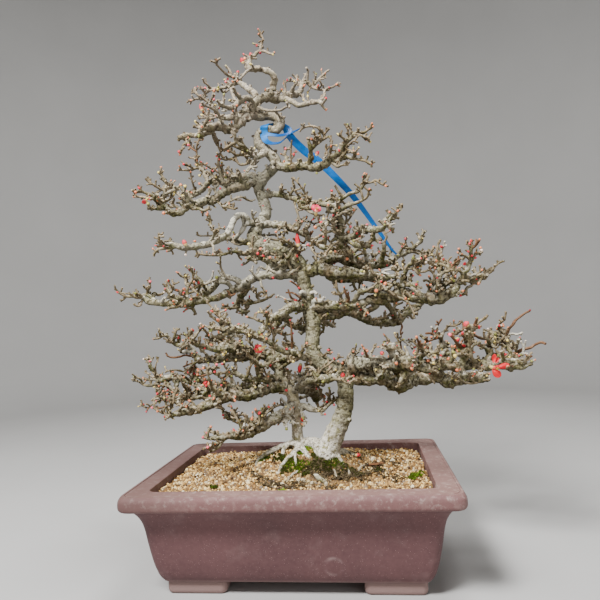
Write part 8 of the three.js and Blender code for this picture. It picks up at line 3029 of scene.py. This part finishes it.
@dataclass
class Litter:
    """What has fallen on the soil, and the screens under it."""

    def build(self) -> None:
        """Dresses the fallen leaf, the fallen bud and the two drain screens."""
        self.leaf()
        self.bud()
        plastic = PlainFinish(name="screen_plastic").build()
        for node in ("drain_screen_left", "drain_screen_right"):
            carried = frame["nodes"][node]
            carried.data.materials.clear()
            carried.data.materials.append(plastic)

    def middle(self, node: str) -> Vector:
        """The middle of a solid's box, in metres."""
        low, high = (Vector(corner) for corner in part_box(node))
        return (low + high) / 2

    def leaf(self) -> None:
        """A dry curled leaf with a raised midrib."""
        middle = self.middle("fallen_leaf")
        steps, wide = 14, 9
        turn = Matrix.Rotation(0.5, 3, "Z")
        shares = [i / (steps - 1) for i in range(steps)]
        skins: list[list[Vector]] = []
        for side in (0.0, 0.35):
            skin = []
            for share in shares:
                along = share * 2 - 1
                half = 4.6 * (1 - along * along) ** 0.6 * (1 - 0.25 * along) + 0.05
                for j in range(wide):
                    across = j / (wide - 1) * 2 - 1
                    midrib = 0.35 * math.exp(-((across * 6) ** 2))
                    lift = 1.3 * across * across + 0.5 * along * along - midrib
                    lift += 0.15 * math.sin(along * 11 + abs(across) * 3) - side
                    skin.append(middle + (turn @ Vector((along * 10.2, across * half, lift - 0.6))) * MM)
            skins.append(skin)
        mesh = thick_sheet("dry_leaf", skins[0], skins[1], wide, shares)
        finish = PlainFinish("dry_leaf", 0.8, dark=srgb(74, 46, 28), light=srgb(128, 86, 52), scale=260.0)
        add_piece("dry_leaf", mesh, ("fallen_leaf",), finish.build())

    def bud(self) -> None:
        """A red bud that dropped on the soil."""
        middle = self.middle("fallen_bud") / MM - POT_MIDDLE
        base = middle - Vector((3.4, 0.4, 0))
        tip = middle + Vector((3.4, 0.5, 0))
        blossom = Blossom("fallen", base, tip, 2.6)
        mesh = LargeBuds(Skeleton()).bud(blossom)
        red = PetalFinish(name="fallen_petal", edge=srgb(178, 24, 38), heart=srgb(214, 92, 80)).build()
        add_piece("dropped_bud", mesh, ("fallen_bud",), red)


@dataclass
class Studio:
    """A pale floor, soft light and the camera at the picture's angle."""

    yaw: float = -6.5
    pitch: float = 2.68
    roll: float = 2.6
    lens: float = 33.6
    flat: float = 1.7
    bend: float = 0.7
    wall: float = 3.4
    sides: int = 96
    paper: Pair = (srgb(172, 171, 169), srgb(176, 175, 173))

    def build(self) -> None:
        """Sets the camera, the floor and the lights."""
        self.camera()
        self.floor()
        self.lights()

    def camera(self) -> None:
        """The camera stands where the picture was taken."""
        data = bpy.data.cameras.new("view")
        data.lens = self.lens
        data.sensor_width = 36
        data.clip_start = 0.01
        camera = in_scene("view", data)
        yaw, pitch = math.radians(self.yaw), math.radians(self.pitch)
        forward = Vector((math.sin(yaw) * math.cos(pitch), math.cos(yaw) * math.cos(pitch), math.sin(pitch)))
        aim = forward.to_track_quat("-Z", "Y")
        camera.rotation_mode = "QUATERNION"
        camera.rotation_quaternion = aim @ Quaternion((0, 0, 1), math.radians(-self.roll))
        camera.location = to_frame(EYE)
        bpy.context.scene.camera = camera

    def floor(self) -> None:
        """A wide round floor that curves up into a wall on every side."""
        bends = [math.radians(9 * k) for k in range(11)]
        profile = [(0.0, 0.0), (0.6, 0.0)]
        profile += [(self.flat + self.bend * math.sin(a), self.bend * (1 - math.cos(a))) for a in bends]
        profile.append((self.flat + self.bend, self.wall))
        count = self.sides
        points = [(r * math.cos(a), r * math.sin(a), z) for r, z in profile[1:] for a in turns(count)]
        faces = [tuple(range(count))]
        for low in range(0, (len(profile) - 2) * count, count):
            after = [(k + 1) % count for k in range(count)]
            faces += [(low + k, low + count + k, low + count + n, low + n) for k, n in enumerate(after)]
        mesh = bpy.data.meshes.new("floor")
        mesh.from_pydata(points, [], faces)
        shade_smooth(mesh)
        floor = in_scene("floor", mesh)
        mesh.materials.append(PlainFinish("floor_paper", 0.9, 0.1, *self.paper, 3.0).build())

    def lights(self) -> None:
        """A large soft light above on the left, one overhead, a weak one on the right, a pale surround."""
        self.area("key", (-0.6, -1.05, 1.6), (0, 0, 0.3), 0.45, 84)
        self.area("top", (0.3, 0.0, 1.9), (0, 0, 0.3), 0.6, 28)
        self.area("side", (1.1, -1.2, 0.6), (0, 0, 0.25), 0.8, 6)
        world = bpy.data.worlds.new("surround")
        bpy.context.scene.world = world
        world.use_nodes = True
        background = world.node_tree.nodes["Background"]
        background.inputs["Color"].default_value = (0.86, 0.9, 0.95, 1)
        background.inputs["Strength"].default_value = 0.05

    def area(self, name: str, place: tuple, aim: tuple, size: float, power: float) -> None:
        """One square light.

        Args:
            name: Its name.
            place: Where it stands.
            aim: Where it points.
            size: The length of its side.
            power: Its strength in watts.
        """
        data = bpy.data.lights.new(name, "AREA")
        data.size = size
        data.energy = power
        light = in_scene(name, data)
        light.location = place
        light.rotation_mode = "QUATERNION"
        light.rotation_quaternion = (Vector(aim) - Vector(place)).to_track_quat("-Z", "Y")


def main() -> None:
    """Builds every part of the bonsai in order."""
    logging.basicConfig(level=logging.INFO, format="%(name)s %(message)s")
    skeleton = Skeleton()
    skeleton.grow()
    growth = FineGrowth(skeleton, Surroundings(skeleton.label, skeleton.blossom_spots, skeleton.strap))
    growth.grow()
    log.info("ways: %d read, %d side twigs", len(skeleton.wood), len(skeleton.sprays))
    counts = (len(growth.branchlets), len(growth.spurs), len(growth.knobs))
    log.info("grown: %d branchlets, %d spurs, %d knobs", *counts)
    Studio().build()
    Pot().build()
    Soil().build()
    SmallBuds(skeleton, growth).build()
    LargeBuds(skeleton).build()
    Flowers(skeleton).build()
    Wood(skeleton, growth).build()
    Label().build()
    Litter().build()


if __name__ == "__main__":
    main()
